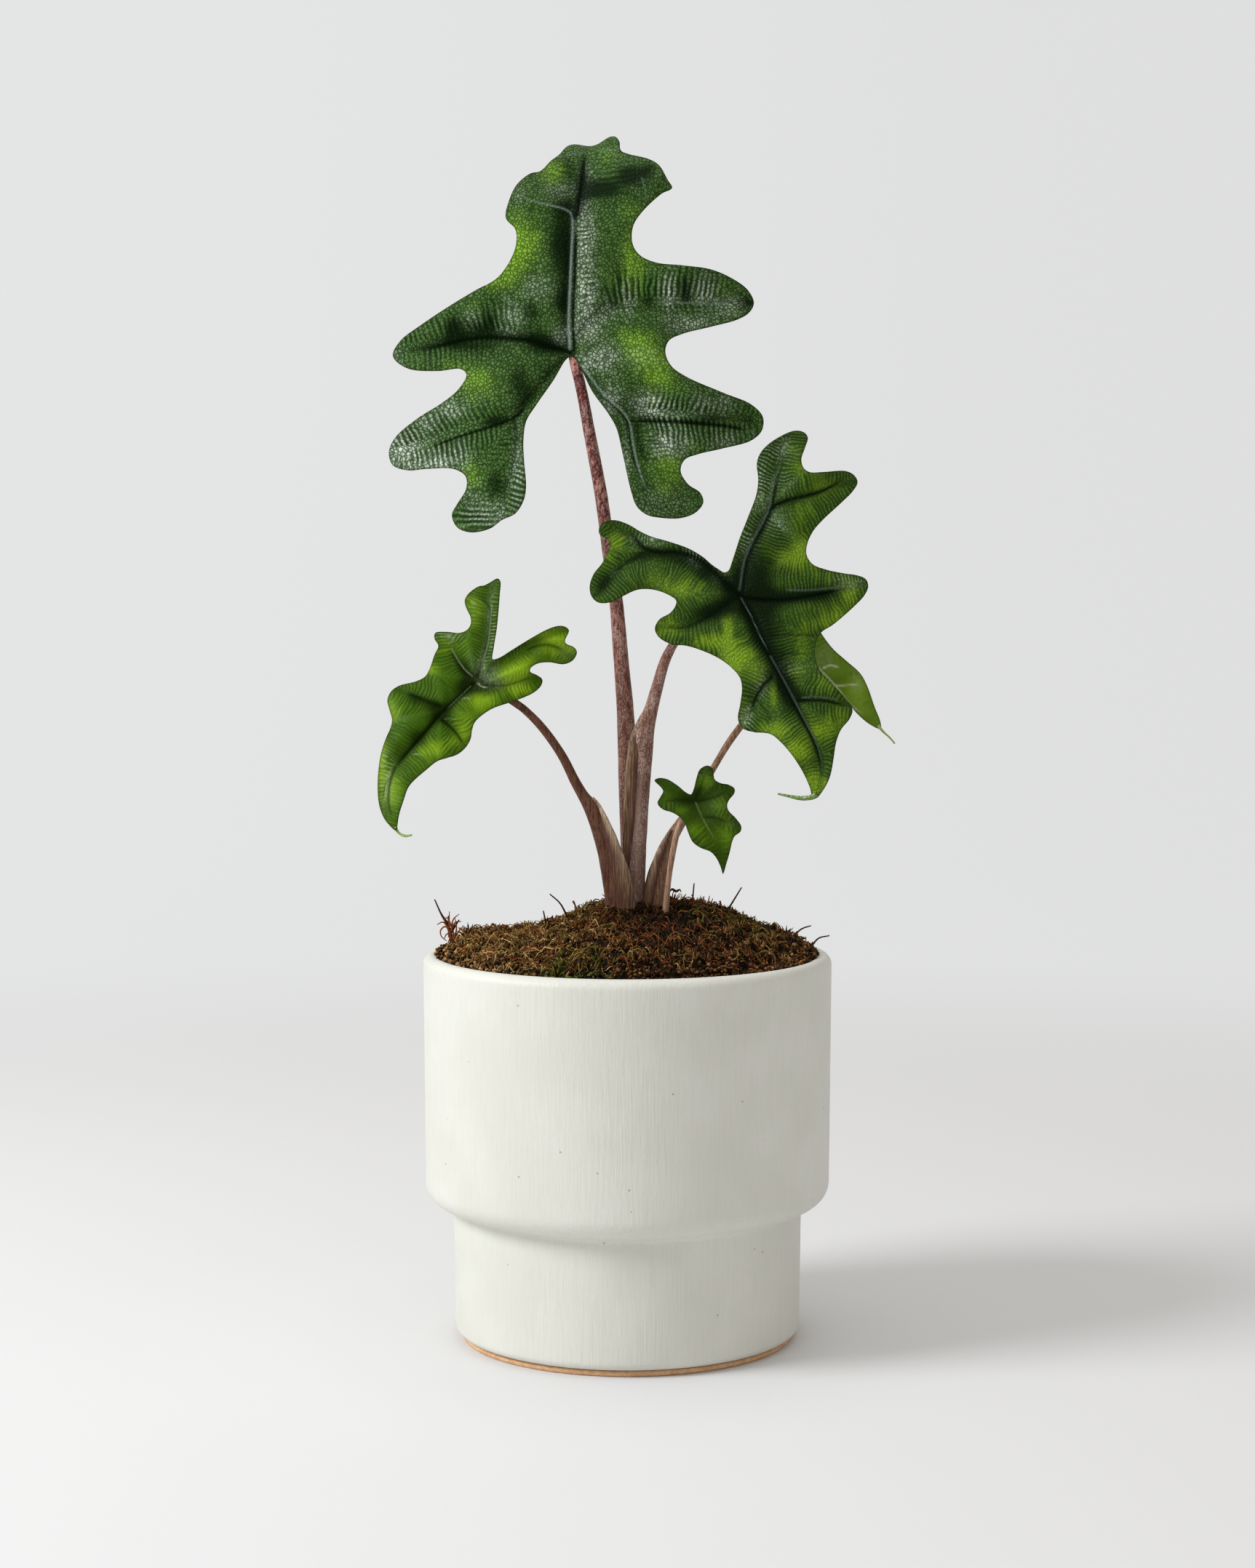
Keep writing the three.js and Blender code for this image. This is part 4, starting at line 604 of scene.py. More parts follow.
# Pale threads on each blade: ridges of its veins, creases and folds, partly their own pale colour and partly
# painted highlights along them, in the same form
THREADS = {
    "tall": [
        ([(-20.9, 363), (-21.3, 372), (-20.4, 394), (-20, 409.5), (-20.6, 411.7), (-23, 413.2),
          (-27.3, 414.4), (-32.6, 415.7), (-36.6, 417.2), (-39.6, 420.7)], 0.4, 0.19, 0.85),
        ([(-26.7, 431.9), (-22, 432.3), (-17.7, 433.3), (-14.6, 434.6)], 0.22, 0.17, 0.43),
        ([(-12, 434), (-7.1, 434.5), (-2.6, 434.1)], 0.24, 0.34, 0.25),
        ([(5.2, 424.4), (6.2, 420.4), (7, 416.2)], 0.2, 0.17, 0.3),
        ([(1.5, 421), (4.5, 417.8), (6.6, 416)], 0.16, 0.17, 0.25),
        ([(-16.7, 357.2), (-9.2, 347.3), (0.1, 337.9), (1.9, 329.8), (3.3, 322.7), (5.6, 315.2),
          (7.8, 310.7)], 0.24, 0.22, 0.95),
        ([(-13.5, 351.3), (-6.5, 342.5), (-1.6, 335.5), (-0.4, 327)], 0.18, 0.17, 0.29),
        ([(-44.4, 382.4), (-39, 376.8)], 0.2, 0.17, 0.25),
        ([(17.5, 379.8), (27, 379.3), (36.5, 379.4)], 0.28, 0.26, 0.4),
        ([(45, 333.5), (46.4, 329.9)], 0.2, 0.17, 0.43), ([(-54.5, 346.5), (-51, 342.5)], 0.2, 0.17, 0.25),
    ],
    "right": [
        ([(40.9, 275.8), (41.8, 282.3), (42.7, 286.7), (45.6, 293.7), (49.1, 300), (51.6, 305.7),
          (52.5, 310.8), (54.1, 317.7), (56, 322.2)], 0.4, 0.26, 0.3),
        ([(41.6, 272.7), (44.6, 267.2), (48, 259.9), (51.8, 252.4)], 0.18, 0.19, 0.4),
        ([(52.3, 251.4), (56.8, 243.4), (61.2, 235.3), (64.9, 228.2), (68.6, 221), (70.9, 214.5),
          (71.8, 208)], 0.32, 0.21, 0.29),
        ([(58.5, 275.7), (66, 275.6), (73, 276.3), (79.7, 276.9)], 0.32, 0.3, 0.3),
        ([(64, 236.3), (70, 236.6), (77, 235.6)], 0.24, 0.21, 0.29),
        ([(-6, 280.3), (-4.6, 282.2), (-2.9, 282.5)], 0.2, 0.17, 0.3),
    ],
    "left": [
        ([(-49.5, 270), (-50.2, 262), (-51, 256), (-54.2, 246)], 0.2, 0.26, 0.5),
        ([(-64.3, 254), (-60.2, 247.4), (-56.4, 243.7)], 0.24, 0.21, 0.47),
        ([(-65.5, 256), (-63.2, 257.5), (-62.8, 257.8)], 0.32, 0.26, 0.3),
        ([(-54.8, 241.6), (-53.5, 240.3), (-51.5, 239.9)], 0.2, 0.17, 0.85),
        ([(-60.2, 235.9), (-58.8, 236.1), (-57.2, 235.7)], 0.18, 0.17, 0.54),
        ([(-66.9, 228.5), (-64.5, 228.6), (-62, 228.2)], 0.18, 0.17, 0.3),
        ([(-78.4, 215.5), (-77, 215.6), (-75.6, 215.2)], 0.18, 0.17, 0.47),
        ([(-57.5, 240.4), (-62, 236), (-66, 232.3)], 0.16, 0.17, 0.25),
        ([(-87, 209), (-88.2, 204), (-88.2, 200)], 0.16, 0.17, 0.3),
    ],
    "back": [
        ([(69.6, 247.4), (75.9, 240.7), (81.1, 234.4), (86, 230.5)], 0.26, 0.21, 0.8),
        ([(75.9, 240.7), (80, 241), (84.8, 241.4)], 0.2, 0.17, 0.8),
        ([(71.6, 247.3), (74.2, 248.3), (77.3, 247.4)], 0.26, 0.26, 0.9),
        ([(69.3, 248), (66.7, 256), (66, 262)], 0.2, 0.17, 0.43),
    ],
    "small": [([(25.1, 197.6), (27.5, 192.2), (30, 187.8), (32.6, 183.6)], 0.22, 0.17, 0.43)],
}

# Soft patches on each blade: drawn x and z of the middle, reach along x and z, strength.
# Lighter yellow-green at the notches, partly the thin blade's own colour and partly painted light shining
# through it; a painted pale sheen on what is raised to the light; and painted shade in the hollows.
PATCHES = {
    "tall": {
        "bright": [
            (-42, 399, 6.5, 11, 1), (-49, 387, 6, 4, 0.4), (-57, 379, 5, 3, 0.15), (-34, 402, 5, 7, 0.3),
            (-55, 351, 7.5, 6, 0.5), (-64, 357, 6, 4, 0.2), (1, 367, 6, 4, 0.5), (-8, 392, 3, 6, 0.2),
            (6, 361, 7, 4, 0.7), (10, 355, 5, 5, 0.75), (15, 351, 6, 5, 0.3), (2, 396, 5, 12, 0.6),
            (8, 367, 5, 4, 0.25), (-7, 432, 4, 5, 0.2), (-27, 426, 5, 5, 0.6), (15, 321, 6, 5, 0.6),
            (14, 313, 5, 5, 0.3), (-57, 317, 5, 6, 0.45), (24, 328, 4, 3, 0.3), (0, 413, 4, 3, 0.2),
            (34, 336, 10, 3, 0.12), (9, 344, 4, 3, 0.35), (34, 384, 4, 4, 0.2),
        ],
        "pale": [
            (-15.4, 405, 3, 5, 0.9), (-15.4, 396, 2.8, 6, 0.6), (-15, 382, 3.6, 9, 0.85),
            (-15, 371, 5, 5, 0.5), (-14, 358, 5, 3, 0.6), (-8, 361, 5, 4, 0.5), (-7, 355, 3, 4, 0.15),
            (-6, 345, 3.5, 5, 0.5), (-42, 374, 4, 6, 0.4), (-57, 374, 3, 3, 0.25), (-85, 359, 3, 4, 0.4),
            (-23, 368, 3, 3, 0.55), (-7, 377, 3, 4, 0.3), (-33, 385, 5, 4, 0.3), (-82, 326, 6, 7, 1),
            (-70, 321, 7, 5, 1), (-61, 325, 4, 4, 0.4), (-73, 336, 5, 4, 0.5), (-64, 341, 5, 3, 0.6),
            (-40, 318, 2.5, 14, 0.4), (-51, 303, 8, 4, 0.55), (-57, 309, 4, 5, 0.2), (0, 381, 2.5, 6, 0.5),
            (15, 383, 2.8, 6, 0.8), (28, 384, 4, 5, 0.7), (22, 372, 8, 3, 0.5), (36, 378, 5, 4, 0.4),
            (8, 343, 4.5, 3.5, 1.3), (27, 343, 4, 3, 0.5), (16, 341, 5, 4, 0.25), (14, 329, 4.5, 4.5, 1.0),
            (21, 330, 4, 4, 0.4), (35, 330, 6, 4, 0.35), (-1, 322, 2, 8, 0.4), (35, 343, 4, 3, 0.4),
            (-24, 420, 5, 2.5, 0.3), (-39, 418, 2, 3, 0.2), (-14, 427, 3, 4, 0.15), (11, 307, 9, 5, 0.15),
            (16, 337, 4, 2, 0.3), (-15, 413, 3, 3, 0.3), (6, 360, 6, 4, 0.2),
        ],
        "dark": [
            (-24, 400, 5.5, 16, 0.95), (-24, 380, 4, 6, 0.6), (-8, 420, 6, 3.5, 0.9), (1, 425, 5, 4, 0.9),
            (-56, 368, 20, 9, 0.4), (-12, 424, 20, 8, 0.25), (-34, 374, 4, 6, 0.4), (-36, 349, 6, 8, 0.2),
            (-16, 418, 4, 9, 0.5), (-41, 352, 5, 9, 0.25), (-48, 360, 8, 5, 0.2), (-40, 417, 4, 3, 0.3),
            (8, 427, 4, 4, 0.6), (-15, 420, 4, 3, 0.4), (-63, 370, 3, 5, 0.85), (-50, 374, 3, 6, 0.5),
            (-58, 364, 10, 2.5, 0.4), (-73, 362, 6, 3, 0.3), (-30, 365, 7, 4, 0.8), (-36, 378, 4, 4, 0.4),
            (-48, 383, 5, 4, 0.35), (-55, 371, 4, 3, 0.3), (-39, 353, 4, 5, 0.3), (-30, 357, 4, 5, 0.4),
            (-38, 346, 5, 6, 0.3), (-48, 337, 5, 4, 0.6), (1, 344, 3, 4, 0.5), (7, 337, 5, 2.5, 0.6),
            (30, 337.5, 8, 2.5, 0.5), (21, 384.5, 2.5, 5, 0.95), (7.5, 381, 2.5, 6, 0.5),
            (-7, 382, 2.5, 6, 0.55), (43, 379, 3, 6, 0.6), (44, 337, 3, 5, 0.35), (-48, 314, 4, 7, 0.75),
            (-22, 414, 5, 3, 0.45), (-21, 428, 4, 5, 0.35), (5, 308, 3, 5, 0.3),
        ],
        "ribs": [
            (-71, 366, 18, 10, 1), (-46, 373, 10, 8, 0.95), (-72, 330, 18, 13, 1), (-52, 335, 10, 9, 0.9),
            (-41, 312, 9, 14, 0.9), (-57, 301, 8, 6, 1), (18, 384, 24, 8, 1), (-1, 384, 6, 8, 0.7),
            (28, 337, 24, 10, 1), (12, 337, 7, 11, 0.8), (-24, 425, 6, 6, 0.7), (-5, 425, 9, 7, 0.7),
            (-15.5, 403, 3, 9, 0.7), (-14, 385, 3.5, 12, 0.5), (-4, 328, 4, 14, 0.5), (11, 306, 7, 4, 0.4),
        ],
    },
    "right": {
        "bright": [
            (-4.5, 293.5, 4, 4, 0.5), (-8, 287, 3, 4, 0.4), (19, 276, 8, 4, 0.6), (9, 280, 6, 3, 0.3),
            (36.5, 261, 2, 6, 0.8), (31, 257, 6, 3, 0.8), (40, 252, 6, 5, 0.85), (47, 245, 4, 4, 0.5),
            (15, 262, 5, 4, 0.75), (55, 224, 6, 4, 0.7), (72, 280, 4, 3, 0.3), (62, 217, 5, 4, 1),
            (72, 226, 6, 4, 0.5), (78, 231, 4, 4, 0.35), (68, 206, 3, 5, 0.7), (53.5, 237, 1.5, 5, 0.6),
            (77, 266, 6, 4, 0.6), (70, 263, 5, 3, 0.4), (64, 255, 3, 8, 0.4), (62, 246, 3, 4, 0.2),
            (64, 289, 5, 6, 0.8), (57, 287, 5, 3.5, 0.5), (62, 300, 5, 4, 0.35), (64, 321, 5, 5, 0.5),
            (72, 313, 6, 4, 0.45), (60, 328, 5, 3, 0.3), (81, 276, 4, 5, 0.8), (65, 306, 4, 4, 0.3),
            (65, 272, 5, 3, 0.25), (70, 223, 6, 4, 0.45), (39, 247, 3, 4, 0.5), (72, 242, 4, 4, 0.45),
            (43, 230, 2, 5, 0.5), (71, 203, 3, 4, 1),
        ],
        "pale": [
            (55, 300, 4, 4, 0.35), (24, 290, 4, 2, 0.35), (48, 316, 3.5, 10, 0.6), (43, 294, 3, 7, 0.35),
            (55, 327, 5, 4, 0.4), (57, 314, 4, 4, 0.2), (8, 294, 6, 2, 0.4), (80, 279, 5, 3, 0.4),
            (34, 281, 3, 2.5, 0.15), (60, 247, 5, 3, 0.15), (43.5, 229, 2.5, 4, 0.6), (25, 288, 3, 3, 0.35),
            (49, 241, 2.5, 4, 0.3),
        ],
        "dark": [
            (44, 275, 9, 8, 1), (49, 262, 5, 9, 0.8), (56, 250, 4, 9, 0.6), (60, 238, 5, 6, 0.6),
            (30, 268, 8, 4, 0.5), (24, 287, 12, 4, 0.4), (7, 288, 6, 3, 0.3), (66, 273, 12, 3, 0.6),
            (50, 285, 6, 7, 0.6), (56, 264, 4, 5, 0.4), (49, 300, 3, 5, 0.25), (57, 240, 4, 5, 0.3),
            (28, 281, 4, 3, 0.4), (-9, 279, 4, 5, 0.45), (58, 231, 3, 4, 0.35),
        ],
    },
    "left": {
        "bright": [
            (-56, 269, 4, 6, 0.5), (-65, 256, 4, 4, 0.4), (-25, 256, 9, 5, 0.85), (-37, 249, 4, 4, 0.3),
            (-42, 245, 6, 4, 0.95), (-40, 239, 6, 3, 0.5), (-53, 235, 5, 4, 0.75), (-60, 227, 5, 6, 0.4),
            (-72, 247, 4, 3, 0.5), (-86, 231, 3, 5, 0.45), (-71, 217, 5, 4, 0.65), (-62, 220, 4, 4, 0.35),
            (-87, 202, 5, 8, 0.55), (-90, 214, 2, 8, 0.5), (-60, 253, 4, 3, 0.15),
        ],
        "pale": [
            (-53, 248, 3.5, 6, 0.32), (-48, 243, 4, 3, 0.22), (-88, 210, 2, 6, 0.3),
            (-66, 259, 5, 1.5, 0.4), (-49, 262, 2, 12, 0.4), (-56, 271, 3, 5, 0.15), (-22, 252, 3, 3, 0.15),
            (-89, 205, 2, 7, 0.3),
        ],
        "dark": [
            (-57, 241, 6, 4, 0.8), (-69, 231, 6, 4, 0.65), (-78, 222, 4, 4, 0.6), (-84, 217, 3, 4, 0.5),
            (-54, 242, 4, 3, 0.3), (-78, 235, 3, 3, 0.4), (-60, 247, 3, 3, 0.3), (-88, 222, 3, 5, 0.3),
        ],
    },
    "back": {
        "bright": [(84, 238, 4, 6, 0.6), (88, 231, 4, 4, 0.3), (69, 247, 4, 4, 0.3)],
        "pale": [(72, 252, 4, 5, 0.2), (84, 243, 2, 4, 0.2)],
        "dark": [
            (64, 241, 3, 5, 0.5), (88, 229, 5, 3, 0.3), (77, 243, 4, 2, 0.3), (70, 252, 5, 7, 0.4),
            (74, 238, 4, 4, 0.35),
        ],
    },
    "small": {
        "bright": [
            (30, 186, 5, 7, 0.35), (34, 197, 4, 6, 0.35), (37, 186, 3, 6, 0.45), (14, 199, 4, 3, 0.3),
            (24, 188, 3, 3, 0.4), (28, 206, 3, 3, 0.55), (20, 195, 3, 2, 0.3),
        ],
        "pale": [(33, 196, 4, 5, 0.1), (38, 189, 2, 3, 0.12), (27, 209, 2, 3, 0.2)],
        "dark": [(22, 198, 5, 4, 0.35), (31, 190, 3, 3, 0.2), (25.5, 201, 4, 3, 0.3)],
    },
}

# Colours of each blade as sRGB codes
# The pale colour is mixed in for the painted sheen and the painted highlights on the tips
BLADE_COLOURS = {
    "tall": {"mid": "2f5416", "bright": "83b525", "dark": "0a1808", "pale": "cfdccb", "thread": "8ea39a"},
    "right": {"mid": "304f08", "bright": "749615", "dark": "0c170c", "pale": "b8cbb2", "thread": "7d8f86"},
    "left": {"mid": "3e6008", "bright": "86ac1c", "dark": "122004", "pale": "bcd29f", "thread": "a3b98c"},
    "back": {"mid": "62801c", "bright": "80a030", "dark": "2c3d15", "pale": "c5cf9c", "thread": "c5cca8"},
    "small": {"mid": "304807", "bright": "648a12", "dark": "142206", "pale": "8fb07a", "thread": "8ba364"},
}

# Edges of the leaf sheaths, drawn x and z from the top down: outer edge and inner edge
SHEATHS = {
    "left": {
        "outer": [
            (-12.7, 200), (-10.3, 197.4), (-7.8, 192.8), (-5.2, 187.4), (-3, 182), (-1.1, 177.3),
            (0.9, 171.2), (2.2, 165.1), (2.7, 158),
        ],
        "inner": [
            (-13.6, 199), (-12.9, 197.4), (-10.9, 191), (-8.3, 184), (-6.2, 176), (-4.6, 168), (-3.8, 158),
        ],
        "depth": -12.7, "papery": 0.9,
    },
    "right": {
        "outer": [
            (5.9, 229), (3.6, 226.2), (1.7, 222), (0.4, 218), (-0.7, 209.7), (-1.2, 201), (-1.5, 192.4),
            (-1.6, 183.7), (-1.4, 174),
        ],
        "inner": [
            (6.4, 228.6), (5.2, 225.6), (4.3, 221.6), (3.9, 218), (3.4, 209.7), (3, 201), (2.5, 192.4),
            (1.7, 183.7), (0.6, 174),
        ],
        "depth": -6.3, "papery": 0.15,
    },
    "back": {
        "outer": [(15.6, 188), (12.6, 183.4), (10.4, 179), (8.6, 174), (7.2, 168), (6.2, 160), (5.8, 152)],
        "inner": [
            (16.6, 187.4), (14.6, 182.6), (12.8, 177), (11.4, 172), (10.2, 166), (9.2, 159), (8.8, 152),
        ],
        "depth": -7.4, "papery": 0.35,
    },
}

# Strands laid on the front of the mound, drawn x and z
STRANDS = [
    [(0, 159), (3, 157), (4.5, 154), (5, 150)],
    [(7, 149), (9, 153), (12, 154), (15, 153), (17, 150), (17.5, 146)],
    [(12.5, 146.5), (9.5, 143), (8.5, 139.5)], [(33.5, 150), (35, 145.5)],
    [(26, 155), (26.5, 149), (27.5, 146.5)], [(53.5, 150), (54.7, 146)],
    [(24, 154), (30, 154), (36, 153.5)], [(41, 145), (50, 149)], [(-3, 160), (-8, 157), (-9, 152)],
    [(-14, 152), (-12, 154), (-5, 154), (3, 151)],
    [(7.5, 147.5), (8, 151.5), (11, 153.4), (14.2, 151.5), (14.6, 148.4)],
]

# Arms of the dry tuft on the mound's left edge, and single hairs
HAIRS = [
    [(-64.5, 146), (-65.6, 151), (-65.6, 157.6)], [(-64.8, 150), (-64.2, 154.6), (-62, 156.6)],
    [(-64.6, 151), (-63.4, 153.6), (-61.2, 153.8)], [(-64.8, 152), (-66.6, 155.4), (-67.4, 154)],
    [(-65.6, 151), (-68, 153.6), (-70.2, 152.6)],
    [(-65, 149), (-67, 152), (-68.8, 150.6), (-68.6, 148.4), (-66.6, 146.6)],
    [(-65, 147), (-66.4, 149.4), (-67.6, 147.2)], [(-64, 147), (-63, 151.4), (-63.6, 155.2)],
    [(-63.6, 146), (-62.6, 149.6), (-60.4, 152.4)], [(-64.4, 146), (-64.2, 150), (-65.2, 153.4)],
    [(-20, 161.5), (-18, 157)], [(34, 161.5), (35, 158.5)], [(16.2, 160), (16.4, 162.6), (16.9, 165.2)],
    [(29.2, 158.6), (28.8, 160.8), (28.2, 162)], [(29.6, 158.6), (29.8, 161.4), (30.2, 163.4)],
    [(30, 158.6), (30.8, 160.8), (31.4, 162.4)], [(20.6, 161), (20.8, 163), (21.6, 164)],
    [(24.4, 160.6), (24.2, 162.6), (23.4, 163.8)],
]

# Withered leaflet beside the stems
CURL = [(15.4, 164.6), (16.4, 165.8), (17.9, 165), (19.2, 165.6), (19.8, 164.6)]


def colour(code):
    """sRGB code as linear red, green, blue, alpha."""
    parts = [int(code[i:i + 2], 16) / 255 for i in (0, 2, 4)]
    linear = [c / 12.92 if c < 0.04045 else ((c + 0.055) / 1.055) ** 2.4 for c in parts]
    return (*linear, 1.0)


# Geometry helpers, all in millimetres


def sighted(x, z, y):
    """Places at depth y on the eye's lines of sight through the drawn points."""
    reach = 1 + y / EYE_DISTANCE
    return np.stack([x * reach, y + 0 * x, EYE_HEIGHT + (z - EYE_HEIGHT) * reach], axis=-1)


def smooth_line(points, step, closed=False):
    """Centripetal Catmull-Rom curve through the points, resampled at even steps of its first columns."""
    points = np.array(points, float)
    if closed:
        padded = np.vstack([points[-1:], points, points[:2]])
    else:
        padded = np.vstack([2 * points[0] - points[1], points, 2 * points[-1] - points[-2]])
    space = min(3, points.shape[1])
    fine = []
    for a, b, c, d in zip(padded, padded[1:], padded[2:], padded[3:]):
        spans = [max(np.linalg.norm((q - p)[:space]), 1e-6) ** 0.5 for p, q in ((a, b), (b, c), (c, d))]
        t0, t1, t2, t3 = np.cumsum([0.0, *spans])
        t = np.linspace(t1, t2, CURVE_STEPS, endpoint=False)[:, None]
        ab = (t1 - t) / (t1 - t0) * a + (t - t0) / (t1 - t0) * b
        bc = (t2 - t) / (t2 - t1) * b + (t - t1) / (t2 - t1) * c
        cd = (t3 - t) / (t3 - t2) * c + (t - t2) / (t3 - t2) * d
        abc = (t2 - t) / (t2 - t0) * ab + (t - t0) / (t2 - t0) * bc
        bcd = (t3 - t) / (t3 - t1) * bc + (t - t1) / (t3 - t1) * cd
        fine.append((t2 - t) / (t2 - t1) * abc + (t - t1) / (t2 - t1) * bcd)
    fine = np.vstack([*fine, padded[-2:-1]])
    lengths = np.concatenate([[0], np.cumsum(np.linalg.norm(np.diff(fine[:, :space], axis=0), axis=1))])
    count = max(2, int(round(lengths[-1] / step)) + 1)
    places = np.linspace(0, lengths[-1], count)
    even = np.stack([np.interp(places, lengths, column) for column in fine.T], axis=1)
    return even[:-1] if closed else even


def line_field(x, z, line):
    """Distance from each point to a line, and how far along the line the nearest place is."""
    best = np.full(x.shape, 1e9)
    along = np.zeros(x.shape)
    passed = 0.0
    for (ax, az), (bx, bz) in zip(line, line[1:]):
        dx = bx - ax
        dz = bz - az
        length = math.hypot(dx, dz)
        t = np.clip(((x - ax) * dx + (z - az) * dz) / length ** 2, 0, 1)
        distance = np.hypot(x - ax - t * dx, z - az - t * dz)
        nearer = distance < best
        best = np.where(nearer, distance, best)
        along = np.where(nearer, passed + t * length, along)
        passed += length
    return best, along


def wander(x, y, z, size):
    """Smooth noise between -1 and 1 whose lumps are about size mm across."""
    return np.array([noise.noise(Vector(p)) for p in zip(x / size, y / size, z / size)])


def flat_noise(x, y, height, size, slice_height):
    """Smooth noise over a plan, from one level slice of it."""
    return height * wander(x, y, 0 * x + slice_height, size)


def bell(x, reach):
    return np.exp(-(x / reach) ** 2)


def ramp(x, low, high):
    t = np.clip((x - low) / (high - low), 0, 1)
    return t * t * (3 - 2 * t)


def spotted(x, y, level, spots):
    """A level with soft round spots added to it."""
    for px, py, reach, strength in spots:
        level = level + strength * bell(np.hypot(x - px, y - py), reach)
    return level


def around(segments):
    """Even angles of a full turn."""
    return np.linspace(0, 2 * math.pi, segments, endpoint=False)


def ribbon(a, b, c, d):
    """Two triangles for each four-sided face whose corners are a, b, c and d in turn."""
    return [np.stack([a, b, c], 1), np.stack([a, c, d], 1)]


# Meshes: a shell is its vertices in mm, its triangles and a value of each field for each vertex


def joined(shells):
    names = sorted({name for shell in shells for name in shell[2]})
    vertices = np.vstack([shell[0] for shell in shells])
    starts = np.cumsum([0] + [len(shell[0]) for shell in shells[:-1]])
    triangles = np.vstack([shell[1] + start for shell, start in zip(shells, starts)])
    fields = {}
    for name in names:
        fields[name] = np.concatenate([shell[2].get(name, np.zeros(len(shell[0]))) for shell in shells])
    return vertices, triangles, fields


def piece(name, shell, material, replaced=()):
    """Adds a shell to the scene as a named piece that rides the root and may stand in for nodes."""
    vertices, triangles, fields = shell
    mesh = bpy.data.meshes.new(name)
    mesh.vertices.add(len(vertices))
    mesh.vertices.foreach_set("co", (vertices * MM).astype(np.float32).ravel())
    mesh.loops.add(3 * len(triangles))
    mesh.loops.foreach_set("vertex_index", triangles.astype(np.int32).ravel())
    mesh.polygons.add(len(triangles))
    mesh.polygons.foreach_set("loop_start", np.arange(0, 3 * len(triangles), 3, dtype=np.int32))
    mesh.update(calc_edges=True)
    mesh.shade_smooth()
    for field, values in fields.items():
        layer = mesh.attributes.new(field, "FLOAT", "POINT")
        layer.data.foreach_set("value", np.asarray(values, np.float32))
    mesh.materials.append(material)
    made = bpy.data.objects.new(name, mesh)
    bpy.context.scene.collection.objects.link(made)
    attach(made, "root")
    for node in replaced:
        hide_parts(node)


def tubes(centres, across, fore, sides, fields=None):
    """Closed tubes of elliptic rings. centres is tube by ring by xyz, across and fore are tube by ring."""
    count, rings, _ = centres.shape
    ahead = np.gradient(centres, axis=1)
    ahead /= np.linalg.norm(ahead, axis=2, keepdims=True) + 1e-9
    wide = np.stack([ahead[..., 2], 0 * ahead[..., 0], -ahead[..., 0]], axis=-1)
    # A stretch that runs nearly straight away from the eye takes its sideways from the x axis
    flat = np.linalg.norm(wide, axis=2, keepdims=True) < END_ON
    wide = np.where(flat, np.array([1.0, 0.0, 0.0]), wide)
    wide -= ahead * np.sum(wide * ahead, axis=2, keepdims=True)
    wide /= np.linalg.norm(wide, axis=2, keepdims=True) + 1e-9
    deep = np.cross(ahead, wide)
    angle = around(sides)
    ring = across[..., None, None] * np.cos(angle)[:, None] * wide[:, :, None, :]
    ring = ring + fore[..., None, None] * np.sin(angle)[:, None] * deep[:, :, None, :]
    wall = (centres[:, :, None, :] + ring).reshape(count, rings * sides, 3)
    vertices = np.concatenate([wall, centres[:, :1], centres[:, -1:]], axis=1)
    faces = []
    for r in range(rings - 1):
        for k in range(sides):
            a = r * sides + k
            b = r * sides + (k + 1) % sides
            faces += [(a, b, b + sides), (a, b + sides, a + sides)]
    first = rings * sides
    for k in range(sides):
        n = (k + 1) % sides
        faces += [(first, n, k), (first + 1, first - sides + k, first - sides + n)]
    starts = np.arange(count)[:, None, None] * vertices.shape[1]
    triangles = (np.array(faces)[None] + starts).reshape(-1, 3)
    spread = {name: np.repeat(values, vertices.shape[1]) for name, values in (fields or {}).items()}
    return vertices.reshape(-1, 3), triangles, spread


def lone_tube(centres, across, fore, sides, **fields):
    """One tube with an even value of each field."""
    even = {name: np.array([value]) for name, value in fields.items()}
    return tubes(centres[None], across[None], fore[None], sides, even)


def lathe(profile, segments, uneven=0.0):
    """Turns a profile of radius and height that starts and ends on the axis."""
    inner = profile[1:-1]
    angle = around(segments)
    oval = np.sin(2 * angle + POT_UNEVEN_PHASE)[None] * (inner[:, 1:] > STEP_HEIGHT)
    radius = inner[:, :1] + uneven * oval
    rings = np.stack([radius * np.cos(angle), radius * np.sin(angle), inner[:, 1:] + 0 * angle], axis=-1)
    ends = np.array([[0, 0, profile[0, 1]], [0, 0, profile[-1, 1]]])
    vertices = np.vstack([rings.reshape(-1, 3), ends])
    k = np.arange(segments)
    n = (k + 1) % segments
    triangles = []
    for r in range(len(inner) - 1):
        a = r * segments
        b = a + segments
        triangles += ribbon(a + k, a + n, b + n, b + k)
    first = len(inner) * segments
    triangles.append(np.stack([first + 0 * k, n, k], 1))
    triangles.append(np.stack([first + 1 + 0 * k, first - segments + k, first - segments + n], 1))
    return vertices, np.vstack(triangles), {}


def arc(cx, cz, radius, start, end, steps):
    """Points along an arc, from a start to an end in degrees."""
    angles = np.radians(np.linspace(start, end, steps + 1))
    return [(cx + radius * math.cos(a), cz + radius * math.sin(a)) for a in angles]


def refined(profile):
    """The same profile with its long straight stretches cut into steps."""
    points = [profile[0]]
    for (ar, az), (br, bz) in zip(profile, profile[1:]):
        cuts = max(1, int(math.hypot(br - ar, bz - az) / PROFILE_STEP))
        points += [(ar + (br - ar) * i / cuts, az + (bz - az) * i / cuts) for i in range(1, cuts + 1)]
    return np.array(points)


# Node materials


